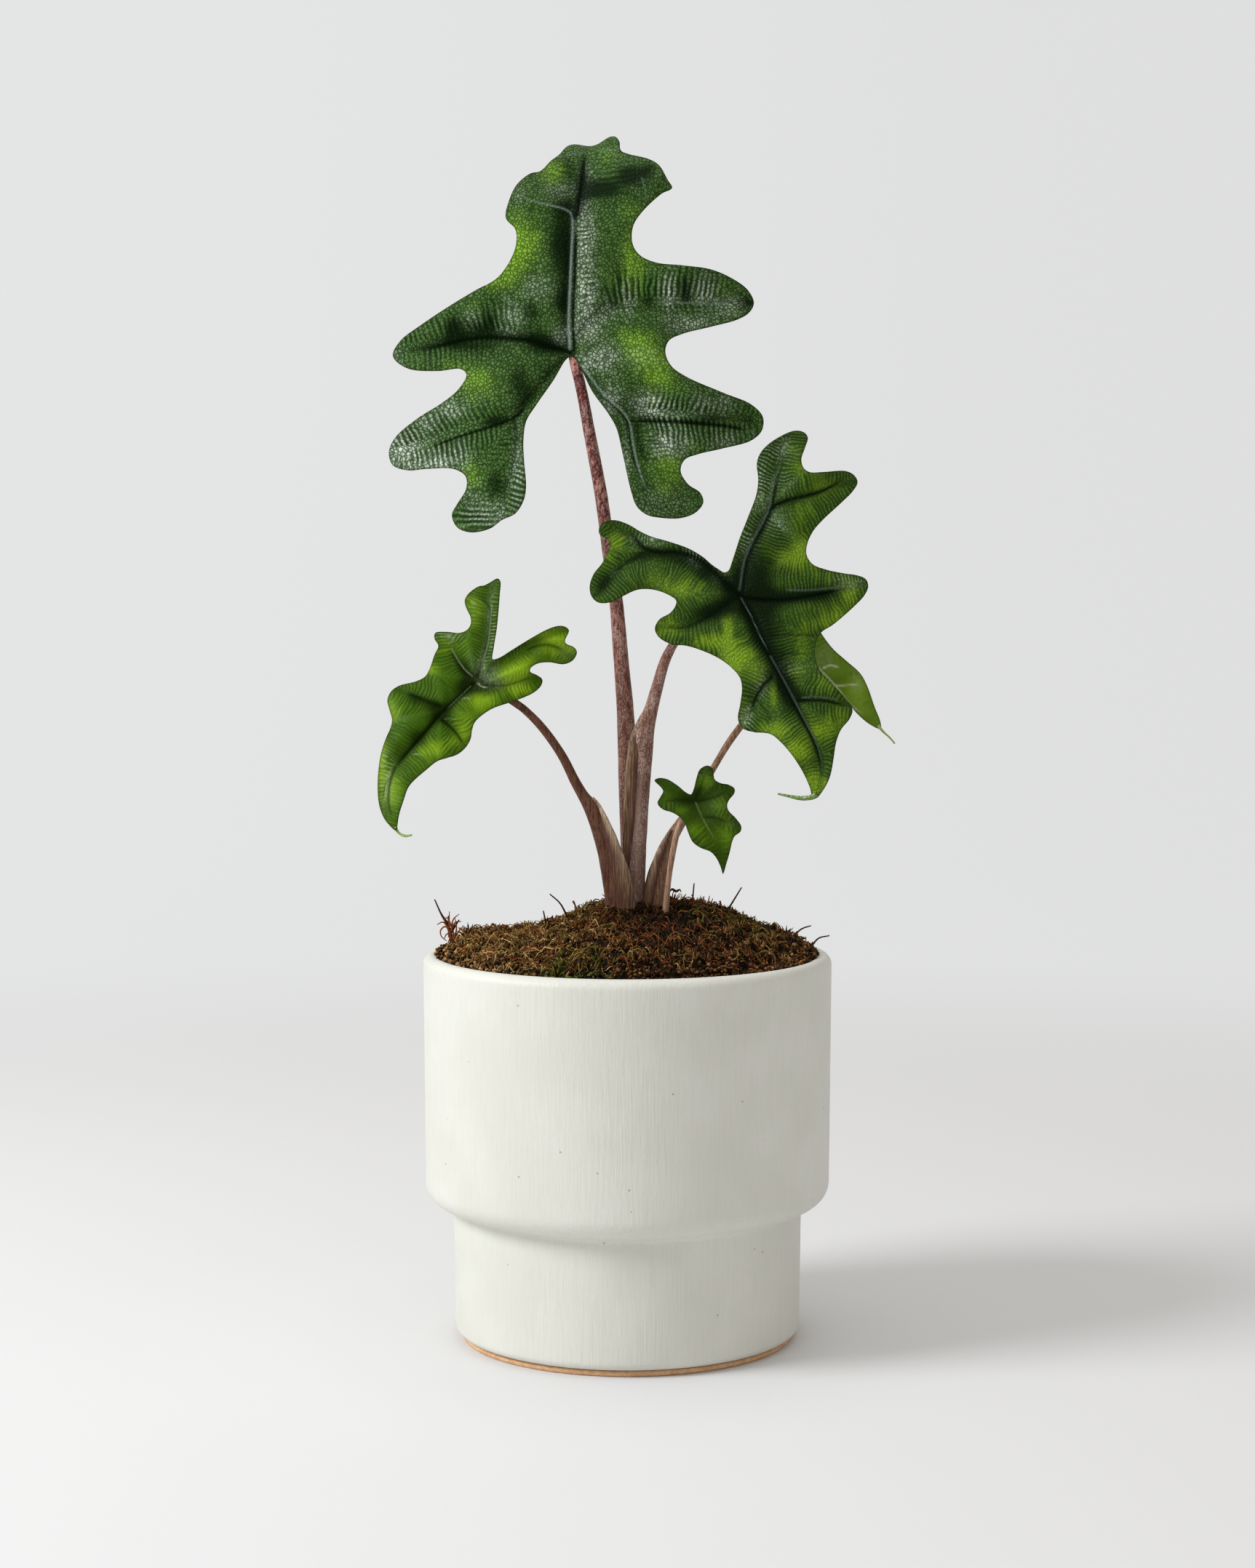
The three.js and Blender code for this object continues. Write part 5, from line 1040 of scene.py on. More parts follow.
class Value:
    """What a node puts out. Numbers can be added, subtracted and multiplied."""

    def __init__(self, shader, socket):
        self.shader = shader
        self.socket = socket

    def __add__(self, other):
        return self.shader.maths("ADD", self, other)

    def __sub__(self, other):
        return self.shader.maths("SUBTRACT", self, other)

    def __mul__(self, other):
        return self.shader.maths("MULTIPLY", self, other)


class Shader:
    """A material built from nodes. Sizes of patterns are in millimetres and colours may be sRGB codes."""

    def __init__(self, name):
        self.material = bpy.data.materials.new(name)
        self.material.use_nodes = True
        self.tree = self.material.node_tree
        self.surface = self.tree.nodes["Principled BSDF"]
        self.place = self.node("TexCoord", "Object", {})

    def join(self, source, socket):
        """Feeds a socket from another node, or gives it a fixed number or colour."""
        if isinstance(source, Value):
            self.tree.links.new(source.socket, socket)
        else:
            socket.default_value = colour(source) if isinstance(source, str) else source

    def node(self, kind, output, inputs, **settings):
        made = self.tree.nodes.new("ShaderNode" + kind)
        for name, setting in settings.items():
            setattr(made, name, setting)
        for name, source in inputs.items():
            self.join(source, made.inputs[name])
        return Value(self, made.outputs[output])

    def field(self, name):
        return self.node("Attribute", "Fac", {}, attribute_name=name)

    def maths(self, operation, *numbers):
        return self.node("Math", 0, dict(enumerate(numbers)), operation=operation)

    def noise(self, size, detail=3.0, rough=0.5, stretch=(1, 1, 1)):
        place = self.node("Mapping", "Vector", {"Vector": self.place, "Scale": stretch})
        inputs = {"Vector": place, "Scale": 1 / (size * MM), "Detail": detail, "Roughness": rough}
        return self.node("TexNoise", "Fac", inputs)

    def cells(self, size, feature="F1"):
        inputs = {"Vector": self.place, "Scale": 1 / (size * MM)}
        return self.node("TexVoronoi", "Distance", inputs, feature=feature)

    def rows(self, run, away):
        """Places counted along the nearest vein and away from it, in units of the two sizes."""
        axes = {"X": self.field("run") * (1 / run), "Y": self.field("away") * (1 / away)}
        return self.node("CombineXYZ", "Vector", axes)

    def beads(self, place, jitter):
        """Seams between the cells of a grid of beads."""
        inputs = {"Vector": place, "Scale": 1.0, "Randomness": jitter}
        flat = {"voronoi_dimensions": "2D", "feature": "DISTANCE_TO_EDGE"}
        return self.node("TexVoronoi", "Distance", inputs, **flat)

    def streaks(self, place):
        """Streaks that run away from the nearest vein."""
        inputs = {"Vector": place, "Scale": 1.0, "Detail": 2.0}
        return self.node("TexNoise", "Fac", inputs, noise_dimensions="2D")

    def blend(self, factor, a, b):
        """Number a where the factor is 0 and b where it is 1."""
        return self.maths("MULTIPLY_ADD", factor, self.maths("SUBTRACT", b, a), a)

    def between(self, value, low, high, to_low=0.0, to_high=1.0):
        """Smooth step from one number to another while the value goes from low to high."""
        inputs = {"Value": value, "From Min": low, "From Max": high, "To Min": to_low, "To Max": to_high}
        return self.node("MapRange", "Result", inputs, interpolation_type="SMOOTHSTEP")

    def mix(self, factor, a, b):
        """Colour a where the factor is 0 and b where it is 1."""
        return self.node("Mix", 2, {"Factor": factor, 6: a, 7: b}, data_type="RGBA")

    def bump(self, height, depth, strength, below=None):
        inputs = {"Height": height, "Distance": depth * MM, "Strength": strength}
        if below is not None:
            inputs["Normal"] = below
        return self.node("Bump", "Normal", inputs)

    def finished(self, base, roughness, normal, shine):
        self.join(base, self.surface.inputs["Base Color"])
        self.join(roughness, self.surface.inputs["Roughness"])
        self.join(shine, self.surface.inputs["Specular IOR Level"])
        if normal is not None:
            self.join(normal, self.surface.inputs["Normal"])
        return self.material


def blade_material(name):
    """Ridges of beads where the blade is ribbed, loose pebbles elsewhere, with painted shade between them
    and painted highlights on top.
    """
    s = Shader("blade_" + name)
    looks = BLADE_LOOKS[name]
    tones = BLADE_COLOURS[name]
    ribbed = s.field("ribbed")
    dark = s.field("dark")
    drift = s.noise(7, 4, 0.55)
    grain = s.noise(0.8, 3, 0.6)
    # Height of the beads and the pebbles
    crest = s.maths("COSINE", s.field("run") * (1 / looks["pitch"]) * (2 * math.pi)) * -0.5 + 0.5
    beads = s.beads(s.rows(looks["pitch"], looks["bead"]), 0.6)
    beaded = crest * s.between(beads, 0.0, 0.25, 0.55, 1.0)
    pebbles = s.between(s.cells(1.35, "DISTANCE_TO_EDGE"), 0.01, 0.23)
    height = s.blend(ribbed, s.blend(looks["pebble"], 0.85, pebbles), beaded)
    # Mid green and yellow-green, the yellow-green partly painted light shining through; then the dark sides
    # of the veins, and painted shade in the hollows and the gaps
    streaks = (s.streaks(s.rows(2.6, 16)) - 0.5) * s.field("rowed")
    bright = (drift - 0.5) * 0.45 + s.field("bright") + streaks * looks["streak"]
    base = s.mix(s.between(bright, 0.0, 0.9), tones["mid"], tones["bright"])
    base = s.mix(s.between(dark, 0.05, 1.0, 0.0, 0.92), base, tones["dark"])
    gap_shade = s.between(height, 0.1, 0.75, looks["gap_shade"], 0.0) * s.blend(ribbed, 0.68, 1.0)
    base = s.mix(gap_shade, base, tones["dark"])
    # Painted highlights on the tops, where light falls, and the painted pale sheen
    pebble_tops = s.between(height, 0.35, 0.85, 0.22, 1.0)
    bead_tops = s.between(height, 0.4, 0.9, 0.04, 1.0)
    sparkle = s.between(s.noise(2.0, 3, 0.7), 0.36, 0.6, 0.35, 1.0) * s.blend(ribbed, pebble_tops, bead_tops)
    tips = s.between(dark, 0.2, 0.9, looks["tips"], 0.0)
    base = s.mix(tips * sparkle, base, s.mix(0.3, tones["bright"], tones["pale"]))
    base = s.mix(s.field("pale") * 1.1 * sparkle, base, tones["pale"])
    # Sunken lines, dark in their own colour and with painted shade in the groove, and raised pale threads
    # that are partly painted highlights
    base = s.mix(s.field("vein"), base, s.mix(0.4, tones["dark"], BLACK))
    threads = s.field("thread") * s.between(grain, 0.3, 0.5, 0.6, 1.0)
    base = s.mix(threads, base, tones["thread"])
    # Underside, with painted shade in its gaps, and cut edge
    under = s.mix(s.between(drift, 0.3, 0.7), UNDERSIDE["light"], UNDERSIDE["dim"])
    under = s.mix(s.between(height, 0.1, 0.8, 0.45, 0.0), under, UNDERSIDE["shaded_gap"])
    under = s.mix(s.field("rib"), under, UNDERSIDE["rib"])
    base = s.mix(s.field("under"), base, under)
    base = s.mix(s.field("edge") * 0.75, base, UNDERSIDE["edge"])
    relief = s.bump(grain, 0.08, 0.5, s.bump(height, 0.32, 0.9))
    shine = s.between(height, 0.3, 0.95, 0.05, looks["shine"])
    shine = shine * s.between(s.field("vein"), 0.2, 0.9, 1.0, 0.1)
    shine = shine * s.between(dark, 0.1, 0.8, 1.0, 0.3)
    return s.finished(base, s.between(grain, 0.3, 0.7, 0.34, 0.48), relief, shine)


def stem_material(name):
    """Blotched above, darker and finely specked with age below, streaked along its length, and paler where a
    painted highlight streaks it.
    """
    s = Shader("stem_" + name)
    looks = STEM_LOOKS[name]
    painted_sheen = s.field("painted_sheen")
    grains = s.noise(2.4, 3, 0.6, (1, 1, 0.3)) * 0.5 + s.noise(0.32, 3, 0.65, (1, 1, 0.4))
    fine = s.noise(looks["size"], 4, 0.62, (1, 1, 0.55))
    broad = s.noise(7, 2, 0.5, (1, 1, 0.4))
    lines = s.noise(0.55, 2, 0.5, (1, 1, 0.05))
    mottled = (broad - 0.5) * 0.35 + fine
    blotches = s.between(mottled, looks["cover"] - 0.06, looks["cover"] + 0.06)
    base = s.mix(blotches, looks["ground"], looks["blotch"])
    aged = s.mix(s.between(lines, 0.35, 0.65), *looks["worn"])
    base = s.mix(s.field("old") * 0.7, base, aged)
    # Painted sheen: a pale streak of highlight, with the pale specks thicker in it
    specks = s.between(grains, 0.76, 0.88) * (painted_sheen * 0.4 + looks["specks"])
    base = s.mix(specks, base, STEM_TONES["speck"])
    base = s.mix(painted_sheen * 0.45, base, STEM_TONES["painted_sheen"])
    base = s.mix(s.between(lines, 0.5, 0.72) * 0.4, base, looks["streak"])
    base = s.mix(s.field("low") * 0.22, base, STEM_TONES["low"])
    relief = s.bump(fine, 0.12, 0.4, s.bump(lines, 0.22, 0.7))
    return s.finished(base, s.between(fine, 0.3, 0.7, 0.36, 0.52), relief, 0.18)


def sheath_material():
    """Dry and streaked, papery towards its free edge and darker where it is grown to the stem."""
    s = Shader("sheath")
    lines = s.noise(0.45, 4, 0.7, (1, 1, 0.04))
    stains = s.between(s.noise(2.4, 3, 0.5, (1, 1, 0.2)), 0.45, 0.7, 0.0, 0.5)
    dry = s.mix(s.between(lines, 0.42, 0.64), *SHEATH_TONES["dry"])
    papery = s.mix(s.between(lines, 0.3, 0.6), *SHEATH_TONES["papery"])
    fused = s.mix(s.between(lines, 0.45, 0.7), *SHEATH_TONES["fused"])
    base = s.mix(s.field("papery"), dry, papery)
    base = s.mix(stains, base, SHEATH_TONES["stain"])
    base = s.mix(s.field("fused"), base, fused)
    return s.finished(base, 0.55, s.bump(lines, 0.25, 0.8), 0.25)


def moss_material(name, relief_depth):
    """Rusty and green patches, with painted highlights on the crowns that stand in the sun and painted shade
    in the pits and clefts.
    """
    s = Shader(name)
    tones = MOSS_TONES
    lit = s.field("lit")
    crumbs = s.cells(1.3)
    fine = s.noise(0.6, 3, 0.7)
    rusty = s.between((s.noise(2.2, 4, 0.65) - 0.5) * 1.4 + s.field("rust"), 0.25, 1.0)
    greenish = s.between((s.noise(5, 3, 0.6) - 0.5) * 1.5 + s.field("green"), 0.35, 0.95)
    ground = s.mix(greenish, s.mix(rusty, tones["ground"], tones["ground_rust"]), tones["ground_green"])
    crown = s.mix(greenish, s.mix(rusty, tones["crown"], tones["crown_rust"]), tones["crown_green"])
    # Painted light: glow is the painted light level, which turns the crowns to painted shade where it is low
    # and to a painted sunlit highlight where it is high
    glow = lit + (fine - 0.5)
    crown = s.mix(s.between(glow, -0.9, 0.1), s.mix(0.72, crown, MOSS_SHADE), crown)
    crown = s.mix(s.between(glow, 0.45, 1.1), crown, tones["sunlit"])
    # Crown colours where the painted light, the painted highlight on crumb tops and the noise are high,
    # ground colours elsewhere
    speck = lit * 0.2 + (s.field("tip") + (fine - 0.5) * 1.2)
    base = s.mix(s.between(speck, 0.25, 1.0), ground, crown)
    # Painted shade in the pits between the crumbs and in the clefts between the clumps
    base = s.mix(s.between(crumbs, 0.25, 0.75, 0.0, 0.6), base, tones["pit"])
    base = s.mix(s.between(s.field("cleft"), 0.2, 0.85, 0.0, 0.85), base, tones["cleft"])
    relief = s.bump(fine, 0.4 * relief_depth, 0.8, s.bump(crumbs, -0.7 * relief_depth, 0.8))
    return s.finished(base, 0.92, relief, 0.15)


def fibre_material():
    """From dark through rust and olive to straw, as each fibre's tone says."""
    s = Shader("moss_fibre")
    tone = s.field("tone")
    fine = s.noise(1.2, 3, 0.6)
    base = s.mix(s.between(tone, 0.0, 0.5), FIBRE_TONES["dark"], FIBRE_TONES["rust"])
    base = s.mix(s.between(tone, 0.45, 0.75), base, FIBRE_TONES["olive"])
    base = s.mix(s.between(tone, 0.75, 1.0), base, FIBRE_TONES["straw"])
    base = s.mix(s.between(fine, 0.4, 0.7, 0.0, 0.5), base, FIBRE_TONES["shade"])
    return s.finished(base, 0.85, s.bump(fine, 0.15, 0.5), 0.2)


def pot_material():
    """Off-white glaze with faint upright brush marks and a few small pits."""
    s = Shader("glaze")
    streaks = s.noise(0.9, 3, 0.6, (1, 1, 0.06))
    pebbled = s.noise(1.6, 4, 0.6)
    pits = s.cells(9)
    base = s.mix(s.between(s.noise(30, 3, 0.5), 0.35, 0.65), GLAZE_TONES["light"], GLAZE_TONES["dim"])
    base = s.mix(s.between(streaks, 0.4, 0.75, 0.0, 0.2), base, GLAZE_TONES["streak"])
    base = s.mix(s.between(pits, 0.05, 0.03, 0.0, 0.6), base, GLAZE_TONES["pit"])
    relief = s.bump(pebbled, 0.2, 0.35, s.bump(streaks, 0.28, 0.5))
    relief = s.bump(s.between(pits, 0.02, 0.06), 0.2, 0.6, relief)
    return s.finished(base, s.between(pebbled, 0.3, 0.7, 0.45, 0.6), relief, 0.45)


def plain_grain(name, first, second, size, depth, roughness):
    s = Shader(name)
    grain = s.noise(size, 5, 0.65)
    base = s.mix(s.between(grain, 0.35, 0.65), first, second)
    return s.finished(base, roughness, s.bump(grain, depth, 0.7), 0.2)


# Pot and pad


def pot_profile():
    base = PAD_HEIGHT + GAP
    lip = WALL / 2
    upper = POT_RADIUS - WALL
    lower = LOWER_DRUM_RADIUS - LOWER_WALL
    floor = base + FLOOR_THICKNESS
    corner = UPPER_DRUM_CORNER
    fillet = STEP_FILLET
    steps = ARC_STEPS
    return refined([
        (0, base),
        *arc(LOWER_DRUM_RADIUS - FOOT_CORNER, base + FOOT_CORNER, FOOT_CORNER, -90, 0, steps["foot"]),
        *arc(LOWER_DRUM_TOP_RADIUS + fillet, STEP_HEIGHT - fillet, fillet, 180, 90, steps["step"]),
        *arc(POT_WAIST_RADIUS - corner, STEP_HEIGHT + corner, corner, -80, 0, steps["waist"]),
        *arc(POT_RADIUS - lip, RIM_HEIGHT - lip, lip, 0, 180, steps["lip"]),
        *arc(upper - corner, STEP_HEIGHT + WALL + corner, corner, 0, -75, steps["neck"]),
        (lower, NECK_HEIGHT),
        *arc(lower - INNER_FILLET, floor + INNER_FILLET, INNER_FILLET, 0, -90, steps["floor"]),
        (0, floor),
    ])


def pad_profile():
    edge = arc(PAD_RADIUS - PAD_EDGE, PAD_EDGE, PAD_EDGE, -90, 90, ARC_STEPS["pad"])
    return refined([(0, 0), *edge, (0, PAD_HEIGHT)])


# Moss


def moss_height(x, y):
    """Height of the plain mound with its tufts and its dip."""
    from_middle = np.hypot(x, y)
    power = MOSS_POWER + MOSS_SKEW * x / np.maximum(from_middle, 1)
    dip_x, dip_y, depth, reach = MOSS_DIP
    dip = np.exp(-((x - dip_x) ** 2 + (y - dip_y) ** 2) / reach ** 2)
    tuft = 0 * x
    for height, (ax, ay, ap), (bx, by, bp) in TUFT_WAVES:
        tuft = tuft + height * np.sin(ax * x + ay * y + ap) * np.sin(bx * x + by * y + bp)
    return MOSS_TOP - MOSS_DROP * (from_middle / MOSS_REACH) ** power - depth * dip + MOSS_TUFT * tuft


def moss_clefts(x, y):
    """Depth of the dark clefts between clumps, 0 on a clump and 1 in a cleft."""
    bent = flat_noise(x, y, *CLEFT_BEND)
    wide, deep, level = CLEFT_CELL
    clefts = []
    for a, b in zip((x + bent) / wide, (y - bent) / deep):
        near, next_near = noise.voronoi(Vector((a, b, level)))[0][:2]
        clefts.append(1 - min(1, (next_near - near) / CLEFT_WIDTH))
    return np.array(clefts)


def moss_surface(x, y):
    """Height of the uneven mound, and how deep in a cleft each place is."""
    inside = MOSS_RADIUS - np.hypot(x, y)
    inward = ramp(inside, -0.5, MOSS_EVEN_EDGE)
    z = moss_height(x, y) - MOSS_EDGE_DROP * (1 - ramp(inside, -1, MOSS_EDGE_REACH))
    for middle, sag, reach in MOSS_SAGS:
        z = z - sag * bell(x - middle, reach)
    cleft = moss_clefts(x, y)
    z = z + inward * sum(flat_noise(x, y, *lumps) for lumps in MOSS_LUMPS)
    return z - CLEFT_DEPTH * inward * cleft ** CLEFT_CURVE, cleft


def moss_tones(x, y):
    """How rusty and how green the moss is at a place, and how much painted light it has."""
    return {tone: spotted(x, y, *spots) for tone, spots in MOSS_SPOTS.items()}


def moss_dome():
    """The mound as one closed body: its uneven top, and a wall down to its flat underside."""
    half = MOSS_RADIUS
    row = MOSS_SPACING * math.sqrt(3) / 2
    xs, ys = [], []
    for k, y in enumerate(np.arange(-half, half, row)):
        line = np.arange(-half, half, MOSS_SPACING) + (k % 2) * MOSS_SPACING / 2
        line = line[np.hypot(line, y) < half - MOSS_RIM_CLEAR * MOSS_SPACING]
        xs.append(line)
        ys.append(np.full(len(line), y))
    rim = MOSS_RIM_CORNERS
    x = np.concatenate([half * np.cos(around(rim)), *xs])
    y = np.concatenate([half * np.sin(around(rim)), *ys])
    edges = [(i, (i + 1) % rim) for i in range(rim)]
    cells = delaunay_2d_cdt([Vector(p) for p in zip(x, y)], edges, [], 1, 1e-6)[2]
    z, cleft = moss_surface(x, y)
    z = z + ramp(half - np.hypot(x, y), 0, MOSS_EVEN_EDGE) * flat_noise(x, y, *MOSS_GRAIN)
    top = np.stack([x, y, z], axis=1)
    levels = (MOSS_WALL_TOP, MOSS_BOTTOM)
    low, foot = (np.stack([x[:rim], y[:rim], np.full(rim, level)], axis=1) for level in levels)
    n = len(top)
    k = np.arange(rim)
    j = (k + 1) % rim
    triangles = [np.array(cells)]
    for a, b in ((0, n), (n, n + rim)):
        triangles += ribbon(a + k, b + k, b + j, a + j)
    triangles.append(np.stack([n + rim + k, np.full(rim, n + 2 * rim), n + rim + j], 1))
    vertices = np.vstack([top, low, foot, [[0, 0, MOSS_BOTTOM]]])
    fields = moss_tones(vertices[:, 0], vertices[:, 1])
    # Painted shade in the clefts, with the bed's tops darker there too
    fields["cleft"] = np.concatenate([cleft, np.ones(len(vertices) - len(cleft))])
    fields["tip"] = 0.35 - 0.4 * fields["cleft"]
    return vertices, np.vstack(triangles), fields


def scattered(count, reach):
    """Seeded places spread evenly over the mound, with their height and cleft."""
    radius = reach * np.sqrt(rng.random(count))
    angle = rng.uniform(0, 2 * math.pi, count)
    x = radius * np.cos(angle)
    y = radius * np.sin(angle)
    return x, y, *moss_surface(x, y)


def rim_top(radius):
    """Height of the inner half of the round rim."""
    lip = WALL / 2
    return RIM_HEIGHT - lip + np.sqrt(np.maximum(lip ** 2 - (radius - POT_RADIUS + lip) ** 2, 0))


def edge_places(count):
    """Seeded places where the mound's edge is heaped against the rim and laps onto its rounded inside."""
    angle = rng.uniform(0, 2 * math.pi, count)
    side = np.cos(angle)
    far = EDGE_RAGGED_RADIUS
    ragged = flat_noise(far * side, far * np.sin(angle), *EDGE_RAGGED)
    lap = EDGE_LAP[0] + (EDGE_LAP[1] - EDGE_LAP[0]) * np.abs(side) - EDGE_LAP_SKEW * side + ragged
    t = rng.random(count)
    radius = MOSS_RADIUS - EDGE_INSET + (EDGE_INSET + lap) * t
    x, y = radius * side, radius * np.sin(angle)
    ground, cleft = moss_surface(x, y)
    ground = np.where(radius > MOSS_RADIUS, rim_top(radius), ground)
    heap = (EDGE_HEAP + EDGE_HEAP_RIGHT * ramp(side, 0.2, 0.9)) * (1 - t ** 2) + EDGE_HEAP_LEAST
    return x, y, ground + heap * rng.random(count), cleft


def stem_feet():
    """Where each stem comes out of the mound: x, y, half width and half depth."""
    feet = []
    for name in STEMS:
        for x, y, z, across, fore in stem_line(name):
            if z > moss_surface(np.array([x]), np.array([y]))[0][0]:
                feet.append((x, y, across, fore))
                break
    return feet


def collar_places(each):
    """Seeded places close round the foot of every stem."""
    spots = np.repeat(np.array(stem_feet()), each, axis=0)
    angle = rng.uniform(0, 2 * math.pi, len(spots))
    beyond = rng.uniform(0.1, COLLAR_REACH, len(spots))
    x = spots[:, 0] + (spots[:, 2] + beyond) * np.cos(angle)
    y = spots[:, 1] + (spots[:, 3] + beyond) * np.sin(angle)
    z, cleft = moss_surface(x, y)
    return x, y, z + COLLAR_RISE * (1 - beyond / COLLAR_REACH) * rng.random(len(spots)), cleft


def crumbs(x, y, z, cleft):
    """Small uneven lumps of twelve corners."""
    count = len(x)
    corners = len(ICO_CORNERS)
    size = CRUMB["least"] + CRUMB["spread"] * rng.random(count) ** CRUMB["power"]
    squash = rng.uniform(*CRUMB["squash"], (count, 3)) * size[:, None]
    lumps = ICO_CORNERS[None] * rng.uniform(*CRUMB["uneven"], (count, corners, 1)) * squash[:, None]
    middle = np.stack([x, y, z + rng.uniform(*CRUMB["lift"], count)], axis=1)
    vertices = (middle[:, None] + lumps).reshape(-1, 3)
    triangles = (ICO_FACES[None] + corners * np.arange(count)[:, None, None]).reshape(-1, 3)
    tones = moss_tones(np.repeat(x, corners), np.repeat(y, corners))
    for tone in ("lit", "rust"):
        tones[tone] = tones[tone] + np.repeat(rng.uniform(*CRUMB[tone], count), corners)
    # Painted shade on crumbs in the clefts, and a painted highlight on the upper corners of each crumb
    tones["cleft"] = np.repeat(0.8 * cleft, corners)
    tip = np.repeat(rng.uniform(*CRUMB["tip"], count), corners)
    tones["tip"] = 0.5 * np.tile(ICO_CORNERS[:, 2], count) + tip
    return vertices, triangles, tones


def shoots(x, y, z, length):
    """Short leafy shoots that lean out from the given places."""
    count = len(x)
    heading = rng.uniform(0, 2 * math.pi, count)
    tilt = rng.uniform(*SHOOT["lean"], count)
    length = length * rng.uniform(*SHOOT["length"], count)
    x = x + SHOOT["foot"] * np.cos(heading) * tilt
    y = y + SHOOT["foot"] * np.sin(heading) * tilt
    t = np.linspace(0, 1, len(SHOOT["taper"]))[None]
    lean = np.sin(tilt)[:, None] * length[:, None] * t ** SHOOT["bend"]
    px = x[:, None] + np.cos(heading)[:, None] * lean
    py = y[:, None] + np.sin(heading)[:, None] * lean
    pz = z[:, None] - SHOOT["sunk"] + np.cos(tilt)[:, None] * length[:, None] * t
    far = np.maximum(np.hypot(px, py) / (MOSS_RADIUS + SHOOT["past_edge"]), 1)
    centres = np.stack([px / far, py / far, pz], axis=-1)
    radius = rng.uniform(*SHOOT["thick"], count)[:, None] * np.array([SHOOT["taper"]])
    tones = moss_tones(x, y)
    for tone in ("lit", "rust"):
        tones[tone] = tones[tone] + rng.uniform(*SHOOT[tone], count)
    tones["tip"] = rng.uniform(*SHOOT["tip"], count)
    return tubes(centres, radius, radius, SHOOT["sides"], tones)


def moss_tufts():
    """Tufts that stand out of the clumps and roughen the mound's outline, and some round the stems."""
    x, y, z, cleft = scattered(4 * TUFTS, MOSS_RADIUS - 3)
    chosen = np.argsort(cleft)[:TUFTS]
    x, y, z = (np.repeat(values[chosen], TUFT_SHOOTS) for values in (x, y, z))
    mound = shoots(x, y, z, np.repeat(rng.uniform(*TUFT_LENGTH, TUFTS), TUFT_SHOOTS))
    return joined([mound, shoots(*collar_places(COLLAR_SHOOTS)[:3], COLLAR_LENGTH)])


def moss_edge():
    """Crumbs and shoots heaped along the rim and round the stems."""
    heaped = [crumbs(*edge_places(EDGE_CRUMBS)), crumbs(*collar_places(COLLAR_CRUMBS))]
    return joined([*heaped, shoots(*edge_places(EDGE_SHOOTS)[:3], EDGE_LENGTH)])


def fibres(count, rings, length, thick, lift, curl):
    """Curled fibres that lie on the mound and bridge its clefts."""
    x, y, _, _ = scattered(count, MOSS_RADIUS - FIBRE["inset"])
    heading = rng.uniform(0, 2 * math.pi, count)
    bend = rng.normal(0, curl, count)
    length = rng.uniform(*length, count)
    rise = rng.uniform(0.1, 1.0, count) * lift
    t = np.linspace(0, 1, rings)[None]
    turn = heading[:, None] + bend[:, None] * t
    step = length[:, None] / (rings - 1)
    px = x[:, None] + np.cumsum(step * np.cos(turn), axis=1)
    py = y[:, None] + np.cumsum(step * np.sin(turn), axis=1)
    far = np.maximum(np.hypot(px, py) / (MOSS_RADIUS - FIBRE["edge"]), 1)
    px = px / far
    py = py / far
    ground, cleft = (part.reshape(px.shape) for part in moss_surface(px.ravel(), py.ravel()))
    ripple = 1 + 0.3 * np.sin(7 * t + bend[:, None])
    pz = ground + FIBRE["clear"] + FIBRE["bridge"] * cleft + rise[:, None] * np.sin(math.pi * t) * ripple
    centres = np.stack([px, py, pz], axis=-1)
    radius = rng.uniform(*thick, count)[:, None] * (1 - FIBRE["taper"] * t ** 2) + 0.02
    # Painted shade to the right and in the middle, painted light to the left
    tone = rng.beta(*FIBRE_TONE, count) - FIBRE_SIDE_SHADE * x / MOSS_RADIUS
    tone = np.clip(spotted(x, y, tone, FIBRE_SPOTS), 0, 1)
    return tubes(centres, radius, radius, FIBRE["sides"], {"tone": tone})


def on_mound_front(x, z):
    """Depth of the mound's front surface where the eye sees the drawn point."""
    y = np.linspace(*FRONT_SEARCH)
    spots = sighted(x + 0 * y, z + 0 * y, y)
    under = spots[:, 2] <= moss_surface(spots[:, 0], y)[0] + FRONT_CLEAR
    return y[np.argmax(under)] if under.any() else 0.0


def moss_strands():
    """Strands on the mound's front, the dry hairs, the withered leaflet and the twigs."""
    shells = []
    for i, strand in enumerate(STRANDS):
        spots = [sighted(x, z, on_mound_front(x, z) - STRAND["sunk"]) for x, z in strand]
        line = smooth_line(spots, STRAND["step"])
        radius = np.linspace(*STRAND["thick"], len(line))
        tone = STRAND["tone"] + STRAND["tone_step"] * (i % 8)
        shells.append(lone_tube(line, radius, radius, STRAND["sides"], tone=tone))
    for hair in HAIRS:
        line = smooth_line([sighted(x, z, HAIR["depth"]) for x, z in hair], HAIR["step"])
        radius = np.linspace(*HAIR["thick"], len(line))
        shells.append(lone_tube(line, radius, radius, HAIR["sides"], tone=HAIR["tone"]))
    line = smooth_line([sighted(x, z, LEAFLET["depth"]) for x, z in CURL], LEAFLET["step"])
    wide = LEAFLET["wide"] * np.sin(np.linspace(0.25, math.pi - 0.15, len(line)))
    shells.append(lone_tube(line, wide, LEAFLET["thick"] + 0 * wide, LEAFLET["sides"], tone=LEAFLET["tone"]))
    for twig in TWIGS:
        line = smooth_line([(*sighted(x, z, y), half) for x, z, y, half in twig], TWIG["step"])
        radius = TWIG["share"] * line[:, 3]
        shells.append(lone_tube(line[:, :3], radius, radius, TWIG["sides"], tone=TWIG["tone"]))
    return joined(shells)


# Leaf blades


